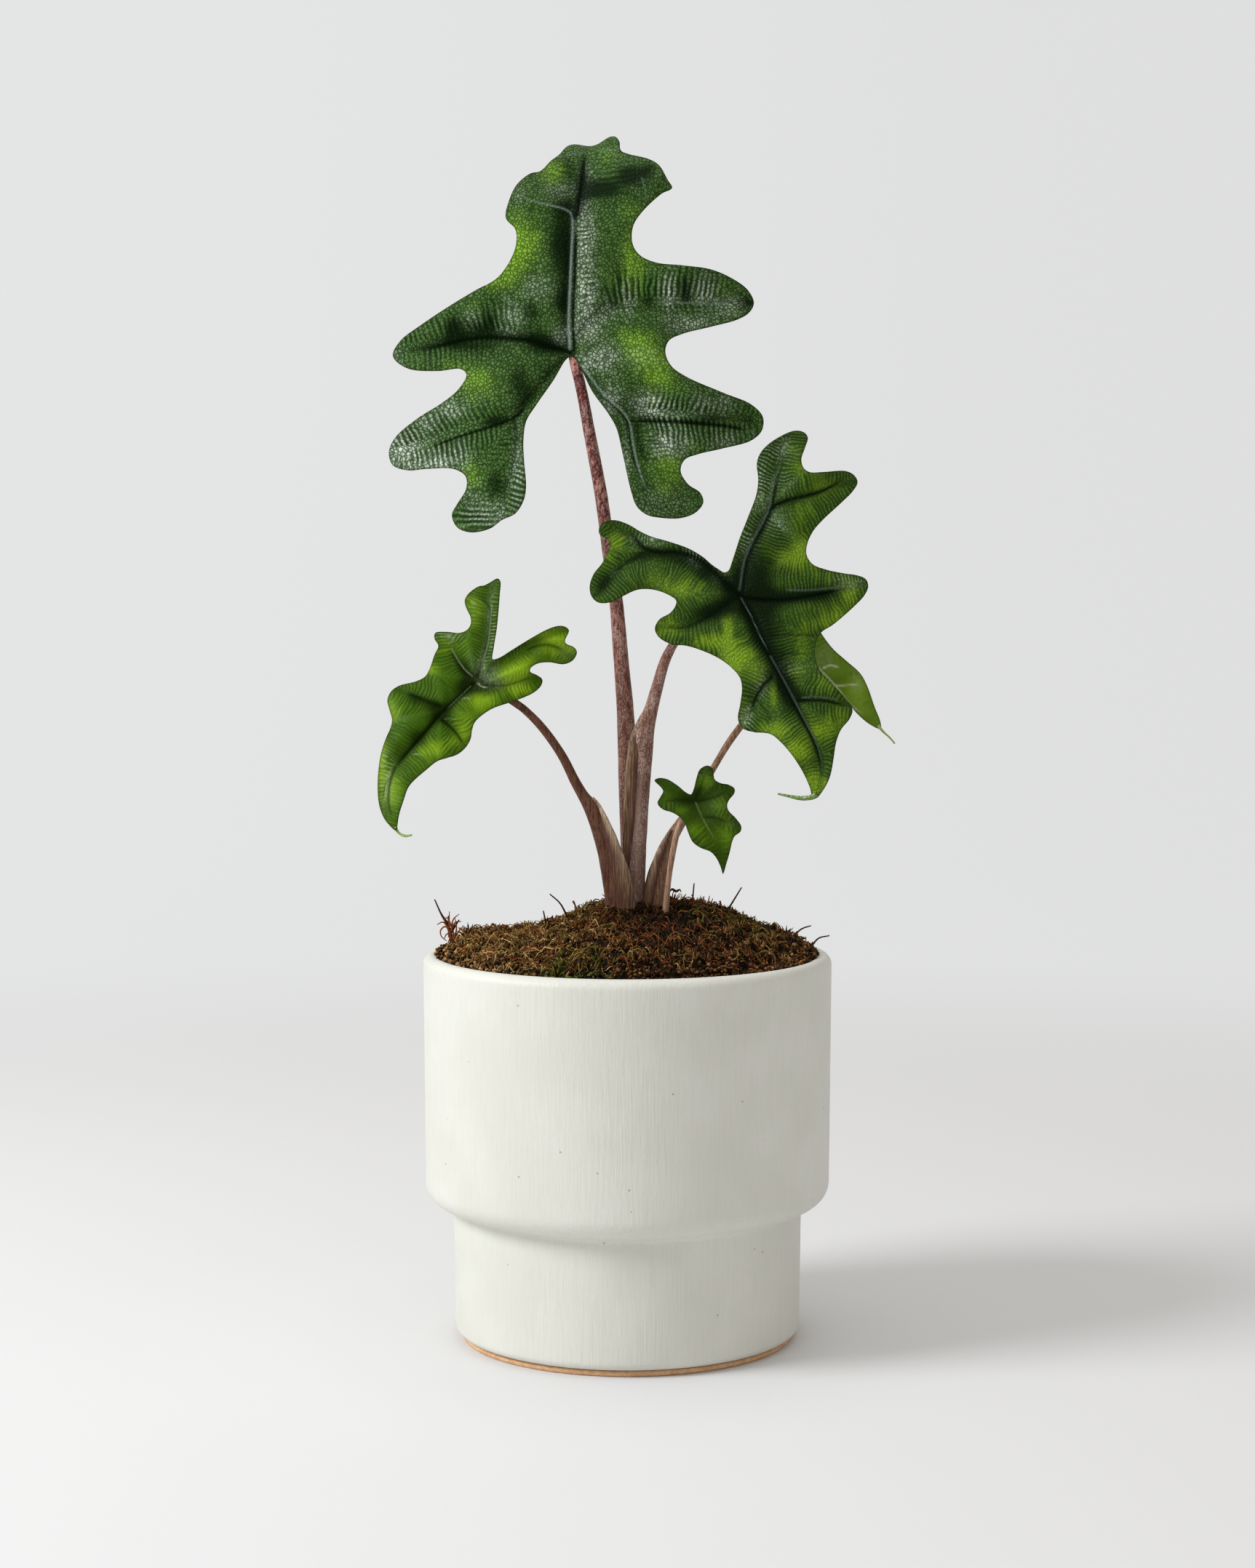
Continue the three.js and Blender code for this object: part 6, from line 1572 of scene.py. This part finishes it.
def blade_fields(leaf, x, z):
    """Distances and pattern values of the drawn points."""
    looks = BLADE_LOOKS[leaf["name"]]
    patches = PATCHES[leaf["name"]]
    found = [line_field(x, z, line) for line in leaf["rows"]]
    distances = np.stack([f[0] for f in found])
    along = np.stack([f[1] for f in found])
    order = np.argsort(distances, axis=0)
    points = np.arange(len(x))
    first = distances[order[0], points]
    second = distances[order[1], points]
    place = along[order[0], points]
    wobble = wander(x, 0 * x + leaf["slice"], z, WOBBLE_SIZE)
    size, level = ROW_WAVER
    waver = looks["waver"] * wander(x, 0 * x + level, z, size)
    run = place - ROW_SLANT * first + ROW_WOBBLE * wobble + waver
    from_heart = np.hypot(x - leaf["heart"][0], z - leaf["heart"][1])
    rowed = ramp(first, *ROW_START) * ramp(second - first, *ROW_APART)
    ribbed = rowed * ramp(from_heart, *looks["fade"])
    near_heart, near_tip, strength = looks["deep"]
    deep = strength * bell(first, near_tip + (near_heart - near_tip) * bell(from_heart, DEEP_REACH))
    ribbed = ribbed * np.clip(0.9 + 0.7 * wobble, 0, 1) * (1 - 0.6 * patch_sum(x, z, patches["bright"]))
    if "ribs" in patches:
        ribbed = ribbed * patch_sum(x, z, patches["ribs"])
    return {"away": first, "run": run, "ribbed": ribbed, "rowed": rowed, "deep": deep}


def blade_depth(leaf, x, z, relief):
    """Depth of the blade at the drawn points, with or without its fine relief."""
    u = x - leaf["heart"][0]
    v = z - leaf["heart"][1]
    axis = leaf["axis"]
    across = u * axis[1] - v * axis[0]
    along = np.maximum(u * axis[0] + v * axis[1], 0)
    height, fu, fv = leaf["wave"]
    far = np.minimum(np.hypot(u, v) / WAVE_REACH, 1)
    y = leaf["depth"] + leaf["lean"][0] * u + leaf["lean"][1] * v
    y = y + leaf["droop"] * (1 + leaf["roll"] * along) * across ** 2
    y = y + height * far * np.sin(fu * u + WAVE_PHASE[0]) * np.cos(fv * v + WAVE_PHASE[1])
    if "crease" in leaf:
        crease = leaf["crease"]
        y = y + crease["slope"] * np.maximum(z - crease["height"] - crease["spread"] * np.abs(u), 0)
    vein = np.min([line_field(x, z, line)[0] for line in leaf["lines"]], axis=0)
    y = y + leaf["veinSide"] * VEIN_DEPTH * bell(vein, VEIN_REACH)
    if relief:
        name = leaf["name"]
        fields = blade_fields(leaf, x, z)
        wave = np.cos(2 * math.pi * fields["run"] / BLADE_LOOKS[name]["pitch"])
        y = y + BLADE_LOOKS[name]["ridge"] * fields["ribbed"] * wave
        y = y + GROOVE_DEPTH * line_sum(x, z, GROOVES[name]) - THREAD_HEIGHT * line_sum(x, z, THREADS[name])
    return y


def blade_spot(leaf, x, z):
    """Drawn points of the blade in space, turned over where the leaf has a bend."""
    flat = sighted(x, z, blade_depth(leaf, x, z, True))
    if "bend" not in leaf:
        return flat
    bend = leaf["bend"]
    start = bend["height"] + bend["rise"] * x
    for place, reach, lift in TIP_FOLDS:
        start = start + lift * bell(x - place, reach)
    over = np.maximum(z - start, 0)
    turn = np.minimum(bend["from"] + over / bend["radius"], bend["to"])
    rest = over - bend["radius"] * (turn - bend["from"])
    up = bend["radius"] * (np.sin(turn) - math.sin(bend["from"])) + rest * math.cos(bend["to"])
    away = bend["radius"] * (math.cos(bend["from"]) - np.cos(turn)) + rest * math.sin(bend["to"])
    turned = sighted(x, start + up, blade_depth(leaf, x, start, True) + away)
    return np.where((z > start)[:, None], turned, flat)


def line_sum(x, z, lines):
    """Strongest of the drawn lines at each point: each narrows along its length and fades out at its end."""
    strongest = 0 * x
    for points, start, end, strength in lines:
        line = smooth_line(points, LINE_STEP)
        distance, along = line_field(x, z, line)
        share = along / (LINE_STEP * (len(line) - 1))
        width = start + (end - start) * share
        strongest = np.maximum(strongest, strength * bell(distance, width) * (1 - ramp(share, *LINE_FADE)))
    return strongest


def patch_sum(x, z, patches):
    """Sum of soft patches at each point, at most 1."""
    total = 0 * x
    for px, pz, reach_x, reach_z, strength in patches:
        total = total + strength * np.exp(-((x - px) / reach_x) ** 2 - ((z - pz) / reach_z) ** 2)
    return np.clip(total, 0, 1)


def drawn_mesh(rim, spacing):
    """Triangulates the inside of a rim at an even spacing: points, triangles and distances from the rim."""
    row = spacing * math.sqrt(3) / 2
    low = rim.min(axis=0)
    high = rim.max(axis=0)
    columns = np.arange(low[0], high[0], spacing)
    ahead = np.roll(rim, -1, axis=0)
    inner = []
    for k, z in enumerate(np.arange(low[1], high[1], row)):
        cuts = (rim[:, 1] > z) != (ahead[:, 1] > z)
        a = rim[cuts]
        b = ahead[cuts]
        ends = a[:, 0] + (z - a[:, 1]) * (b[:, 0] - a[:, 0]) / (b[:, 1] - a[:, 1])
        line = columns + (k % 2) * spacing / 2
        odd = (line[:, None] > ends[None]).sum(axis=1) % 2 == 1
        inner.append(np.stack([line[odd], np.full(odd.sum(), z)], axis=1))
    inner = np.vstack(inner)
    tree = kdtree.KDTree(len(rim))
    for i, (x, z) in enumerate(rim):
        tree.insert((x, z, 0), i)
    tree.balance()
    clear = np.array([tree.find((x, z, 0))[2] for x, z in inner])
    kept = clear > MESH_CLEAR * spacing
    points = np.vstack([rim, inner[kept]])
    edges = [(i, (i + 1) % len(rim)) for i in range(len(rim))]
    made = delaunay_2d_cdt([Vector(p) for p in points], edges, [], 1, 1e-7)
    if len(made[0]) != len(points):
        raise RuntimeError("the triangulation changed the number of points")
    return points, np.array(made[2]), np.concatenate([np.zeros(len(rim)), clear[kept]])


def blade_pattern(leaf, x, z, fields, clear):
    """Values of the fields that the blade's material reads, the same for both faces."""
    name = leaf["name"]
    pattern = {part: patch_sum(x, z, PATCHES[name][part]) for part in ("bright", "pale", "dark")}
    pattern.update({part: fields[part] for part in ("run", "away", "ribbed", "rowed")})
    pattern["dark"] = np.minimum(pattern["dark"] + fields["deep"], 1)
    pattern["vein"] = line_sum(x, z, GROOVES[name])
    pattern["thread"] = line_sum(x, z, THREADS[name]) * ramp(clear, 0.1, 0.8)
    pattern["rib"] = bell(fields["away"], RIB_REACH)
    pattern["edge"] = 1 - ramp(clear, 0.1, 0.65)
    return pattern


def drip_tip(leaf, tail):
    """The slender tail that hangs from a blade's tip."""
    depth = blade_depth(leaf, *np.array(tail[0][:2], float)[:, None], False)[0]
    line = smooth_line([(*sighted(x, z, depth + lift), half) for x, z, lift, half in tail], TAIL_STEP)
    return lone_tube(line[:, :3], line[:, 3], line[:, 3], TAIL_SIDES, **TAIL_FIELDS)


def blade_shell(leaf):
    """A thin blade with two faces and an edge, and its drip tips."""
    rim = smooth_line(leaf["rim"], RIM_STEP, closed=True)
    points, cells, clear = drawn_mesh(rim, BLADE_LOOKS[leaf["name"]]["spacing"])
    x, z = points.T
    middle = blade_spot(leaf, x, z)
    sideways = blade_spot(leaf, x + SLOPE_STEP, z) - blade_spot(leaf, x - SLOPE_STEP, z)
    upward = blade_spot(leaf, x, z + SLOPE_STEP) - blade_spot(leaf, x, z - SLOPE_STEP)
    normal = np.cross(sideways, upward)
    normal /= np.linalg.norm(normal, axis=1, keepdims=True)
    fields = blade_fields(leaf, x, z)
    body = RIM_HALF + (BLADE_HALF - RIM_HALF) * ramp(clear, 0, RIM_TAPER)
    rib = RIB_HEIGHT * bell(fields["away"], RIB_REACH) * ramp(clear, 0.3, 2)
    top_shows = leaf["veinSide"] > 0
    front = middle + normal * (body + (0 if top_shows else rib))[:, None]
    back = middle - normal * (body + (rib if top_shows else 0))[:, None]
    n = len(points)
    a, b, c = cells.T
    spin = (x[b] - x[a]) * (z[c] - z[a]) - (z[b] - z[a]) * (x[c] - x[a])
    cells = np.where((spin > 0)[:, None], cells, cells[:, [0, 2, 1]])
    k = np.arange(len(rim))
    j = (k + 1) % len(rim)
    turn = np.sum(rim[k, 0] * rim[j, 1] - rim[j, 0] * rim[k, 1])
    p, q = (k, j) if turn > 0 else (j, k)
    triangles = np.vstack([cells, n + cells[:, [0, 2, 1]], *ribbon(p, n + p, n + q, q)])
    pattern = blade_pattern(leaf, x, z, fields, clear)
    both = {part: np.concatenate([values, values]) for part, values in pattern.items()}
    both["under"] = np.concatenate([np.zeros(n), np.full(n, float(top_shows))])
    blade = (np.vstack([front, back]), triangles, both)
    return joined([blade] + [drip_tip(leaf, tail) for tail in leaf["tails"]])


def prepare_leaves():
    """Gives each leaf its name, smooth veins, rows that run on past them, and its slice of noise."""
    for i, (name, leaf) in enumerate(LEAVES.items()):
        leaf["name"] = name
        leaf["slice"] = WOBBLE_APART * (1 + i)
        leaf["lines"] = [smooth_line(vein, VEIN_STEP) for vein in leaf["veins"]]
        leaf["rows"] = []
        for line in leaf["lines"]:
            ahead = (line[-1] - line[-2]) / np.linalg.norm(line[-1] - line[-2])
            leaf["rows"].append(np.vstack([line, line[-1] + ROW_REACH * ahead]))


# Stems


def stem_line(name):
    """Places up one stem: x, y, z, half width and half depth."""
    spots = []
    for x, z, place, across, fore in STEMS[name]:
        y = place
        if isinstance(place, str):
            leaf = LEAVES[place]
            here = blade_depth(leaf, np.array([x]), np.array([z]), False)[0]
            y = here + leaf["veinSide"] * (BLADE_HALF + fore + STALK_CLEAR)
        spots.append((*sighted(x, z, y), across, fore))
    return smooth_line(spots, STEM_STEP)


def stem_shell(name):
    """A stem with fine grooves along it and soft lumps."""
    line = stem_line(name)
    vertices, triangles, _ = lone_tube(line[:, :3], line[:, 3], line[:, 4], STEM_SIDES)
    centre = np.vstack([np.repeat(line[:, :3], STEM_SIDES, axis=0), line[:1, :3], line[-1:, :3]])
    angle = np.tile(around(STEM_SIDES), len(line))
    height, size, stretch = STEM_LUMPS
    swell = 1 + height * wander(vertices[:, 0], vertices[:, 1], vertices[:, 2] * stretch, size)
    swell[:-2] += sum(depth * np.sin(number * angle + phase) for depth, number, phase in STEM_GROOVES)
    vertices = centre + (vertices - centre) * swell[:, None]
    low = 1 - ramp(vertices[:, 2], *LOW_STEM)
    old = 1 - ramp(vertices[:, 2], *OLD_STEM)
    # Painted sheen: a pale streak of highlight where one is listed for the stem
    x, z, reach, rise, strength = PAINTED_SHEENS.get(name, NO_PAINTED_SHEEN)
    painted_sheen = strength * bell(vertices[:, 0] - x, reach) * bell(vertices[:, 2] - z, rise)
    return vertices, triangles, {"low": low, "old": old, "painted_sheen": painted_sheen}


def sheath_shell(sheath):
    """A flat withered strip between two drawn edges, papery towards its top."""
    lines = [smooth_line(sheath[edge], SHEATH_STEP) for edge in ("outer", "inner")]
    count = min(len(line) for line in lines)
    t = np.linspace(0, 1, count)
    edges = []
    for line in lines:
        own = np.linspace(0, 1, len(line))
        edges.append(np.stack([np.interp(t, own, column) for column in line.T], axis=1))
    middle = (edges[0] + edges[1]) / 2
    half = np.linalg.norm(edges[0] - edges[1], axis=1) / 2
    depth = sheath["depth"] + SHEATH_BACK * (1 - ramp(t, 0, SHEATH_BACK_SHARE))
    centres = sighted(middle[:, 0], middle[:, 1], depth)
    thick = np.full(count, SHEATH_HALF)
    vertices, triangles, _ = lone_tube(centres, half + SHEATH_WIDER, thick, SHEATH_SIDES)
    height = vertices[:, 2]
    outward = (edges[0] - middle) / half[:, None] ** 2
    nearest = np.argmin(np.abs(height[:, None] - centres[:, 2]), axis=1)
    away = vertices[:, [0, 2]] - centres[nearest][:, [0, 2]]
    across = np.sum(away * outward[nearest], axis=1)
    top = height.max()
    papery = sheath["papery"] * ramp(height, top - PAPERY_SHARE * np.ptp(height), top - PAPERY_TOP)
    fields = {"papery": papery * ramp(across, -0.5, 0.7), "fused": 1 - ramp(across, -0.9, 0.5)}
    return vertices, triangles, fields


# Camera, floor and light


def place_camera():
    data = bpy.data.cameras.new("camera")
    data.sensor_fit = "VERTICAL"
    data.sensor_height = SENSOR
    data.lens = LENS
    camera = bpy.data.objects.new("camera", data)
    camera.location = (0, -EYE_DISTANCE * MM, EYE_HEIGHT * MM)
    camera.rotation_euler = (math.radians(90 - EYE_PITCH), 0, 0)
    bpy.context.scene.collection.objects.link(camera)
    bpy.context.scene.camera = camera


def studio_material(name):
    """Lit floor near the plant that fades into a glowing backdrop, even but for painted shade that makes it
    a little darker to the right.
    """
    s = Shader(name)
    x, y = (s.node("SeparateXYZ", axis, {"Vector": s.place}) for axis in "XY")
    far = s.maths("SQRT", x * x + y * y)
    s.finished(FLOOR_COLOUR, 0.85, None, 0.1)
    backdrop = s.mix(s.between(x, -BACKDROP_HALF, BACKDROP_HALF), BACKDROP_LEFT, BACKDROP_RIGHT)
    glow = s.node("Emission", "Emission", {"Color": backdrop})
    floor = Value(s, s.surface.outputs["BSDF"])
    shown = s.node("MixShader", "Shader", {"Fac": s.between(far, *FLOOR_FADE), 1: floor, 2: glow})
    s.join(shown, s.tree.nodes["Material Output"].inputs["Surface"])
    return s.material


def bowl(name, profile, closed):
    """A staged surface of revolution: the floor, closed in its middle, or the wall that rises from it."""
    count = STUDIO_SEGMENTS
    vertices = []
    for radius, height in profile:
        vertices += [(radius * math.cos(a), radius * math.sin(a), height) for a in around(count)]
    faces = []
    for r in range(len(profile) - 1):
        for k in range(count):
            n = (k + 1) % count
            faces.append((r * count + k, r * count + n, (r + 1) * count + n, (r + 1) * count + k))
    if closed:
        faces.append(tuple(range(count)))
    mesh = bpy.data.meshes.new(name)
    mesh.from_pydata(vertices, [], faces)
    mesh.shade_smooth()
    mesh.materials.append(studio_material(name))
    made = bpy.data.objects.new(name, mesh)
    bpy.context.scene.collection.objects.link(made)
    return made


def lamp(name, place, size, power):
    data = bpy.data.lights.new(name, "AREA")
    data.shape = "DISK"
    data.size = size
    data.energy = power
    data.color = LAMP_COLOUR
    made = bpy.data.objects.new(name, data)
    made.location = place
    made.rotation_euler = (Vector(LAMP_AIM) - Vector(place)).to_track_quat("-Z", "Y").to_euler()
    made.visible_camera = False
    bpy.context.scene.collection.objects.link(made)


def studio():
    """Floor, cove, sky and lamps."""
    bowl("floor", [(radius, 0) for radius in FLOOR_RINGS], True)
    edge = FLOOR_RINGS[-1]
    curve = arc(edge, COVE_RADIUS, COVE_RADIUS, -90, 0, COVE_STEPS)
    cove = bowl("cove", [*curve, (edge + COVE_RADIUS, WALL_TOP)], False)
    cove.visible_shadow = False
    cove.visible_diffuse = False
    cove.visible_glossy = False
    world = bpy.data.worlds.new("studio")
    world.use_nodes = True
    sky = world.node_tree.nodes["Background"]
    sky.inputs["Color"].default_value = SKY_COLOUR
    sky.inputs["Strength"].default_value = SKY_STRENGTH
    bpy.context.scene.world = world
    for name, looks in LAMPS.items():
        lamp(name, *looks)
    bpy.context.scene.view_settings.view_transform = "Standard"


# Assembly

place_camera()
studio()
prepare_leaves()

piece("planter", lathe(pot_profile(), POT_SEGMENTS, POT_UNEVEN), pot_material(), ["pot"])
pad_look = plain_grain("pad_grain", *PAD_GRAIN)
piece("planter_pad", lathe(pad_profile(), POT_SEGMENTS), pad_look, ["base_pad"])

piece("moss_bed", moss_dome(), moss_material("moss_dense", 1.0), ["moss_mound"])
loose_look = moss_material("moss_loose", 0.5)
piece("moss_crumbs", crumbs(*scattered(CRUMBS, MOSS_RADIUS - 0.9)), loose_look)
piece("moss_tufts", moss_tufts(), loose_look)
piece("moss_edge", moss_edge(), loose_look)
fibre_look = fibre_material()
for name, looks in FIBRES.items():
    piece(name, fibres(*looks), fibre_look)
piece("moss_strands", moss_strands(), fibre_look)

for name, looks in STEM_LOOKS.items():
    piece("stalk_" + name, stem_shell(name), stem_material(name), ["petiole_" + name])
sheath_look = sheath_material()
for name, sheath in SHEATHS.items():
    piece("sheath_" + name, sheath_shell(sheath), sheath_look)

for name, leaf in LEAVES.items():
    piece("blade_" + name, blade_shell(leaf), blade_material(name), ["leaf_" + name])

mix_look = plain_grain("mix_grain", *MIX_GRAIN)
corm_look = plain_grain("corm_grain", *CORM_GRAIN)
for node, look in (("potting_mix", mix_look), ("corm", corm_look)):
    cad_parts[node].material_slots[0].material = look
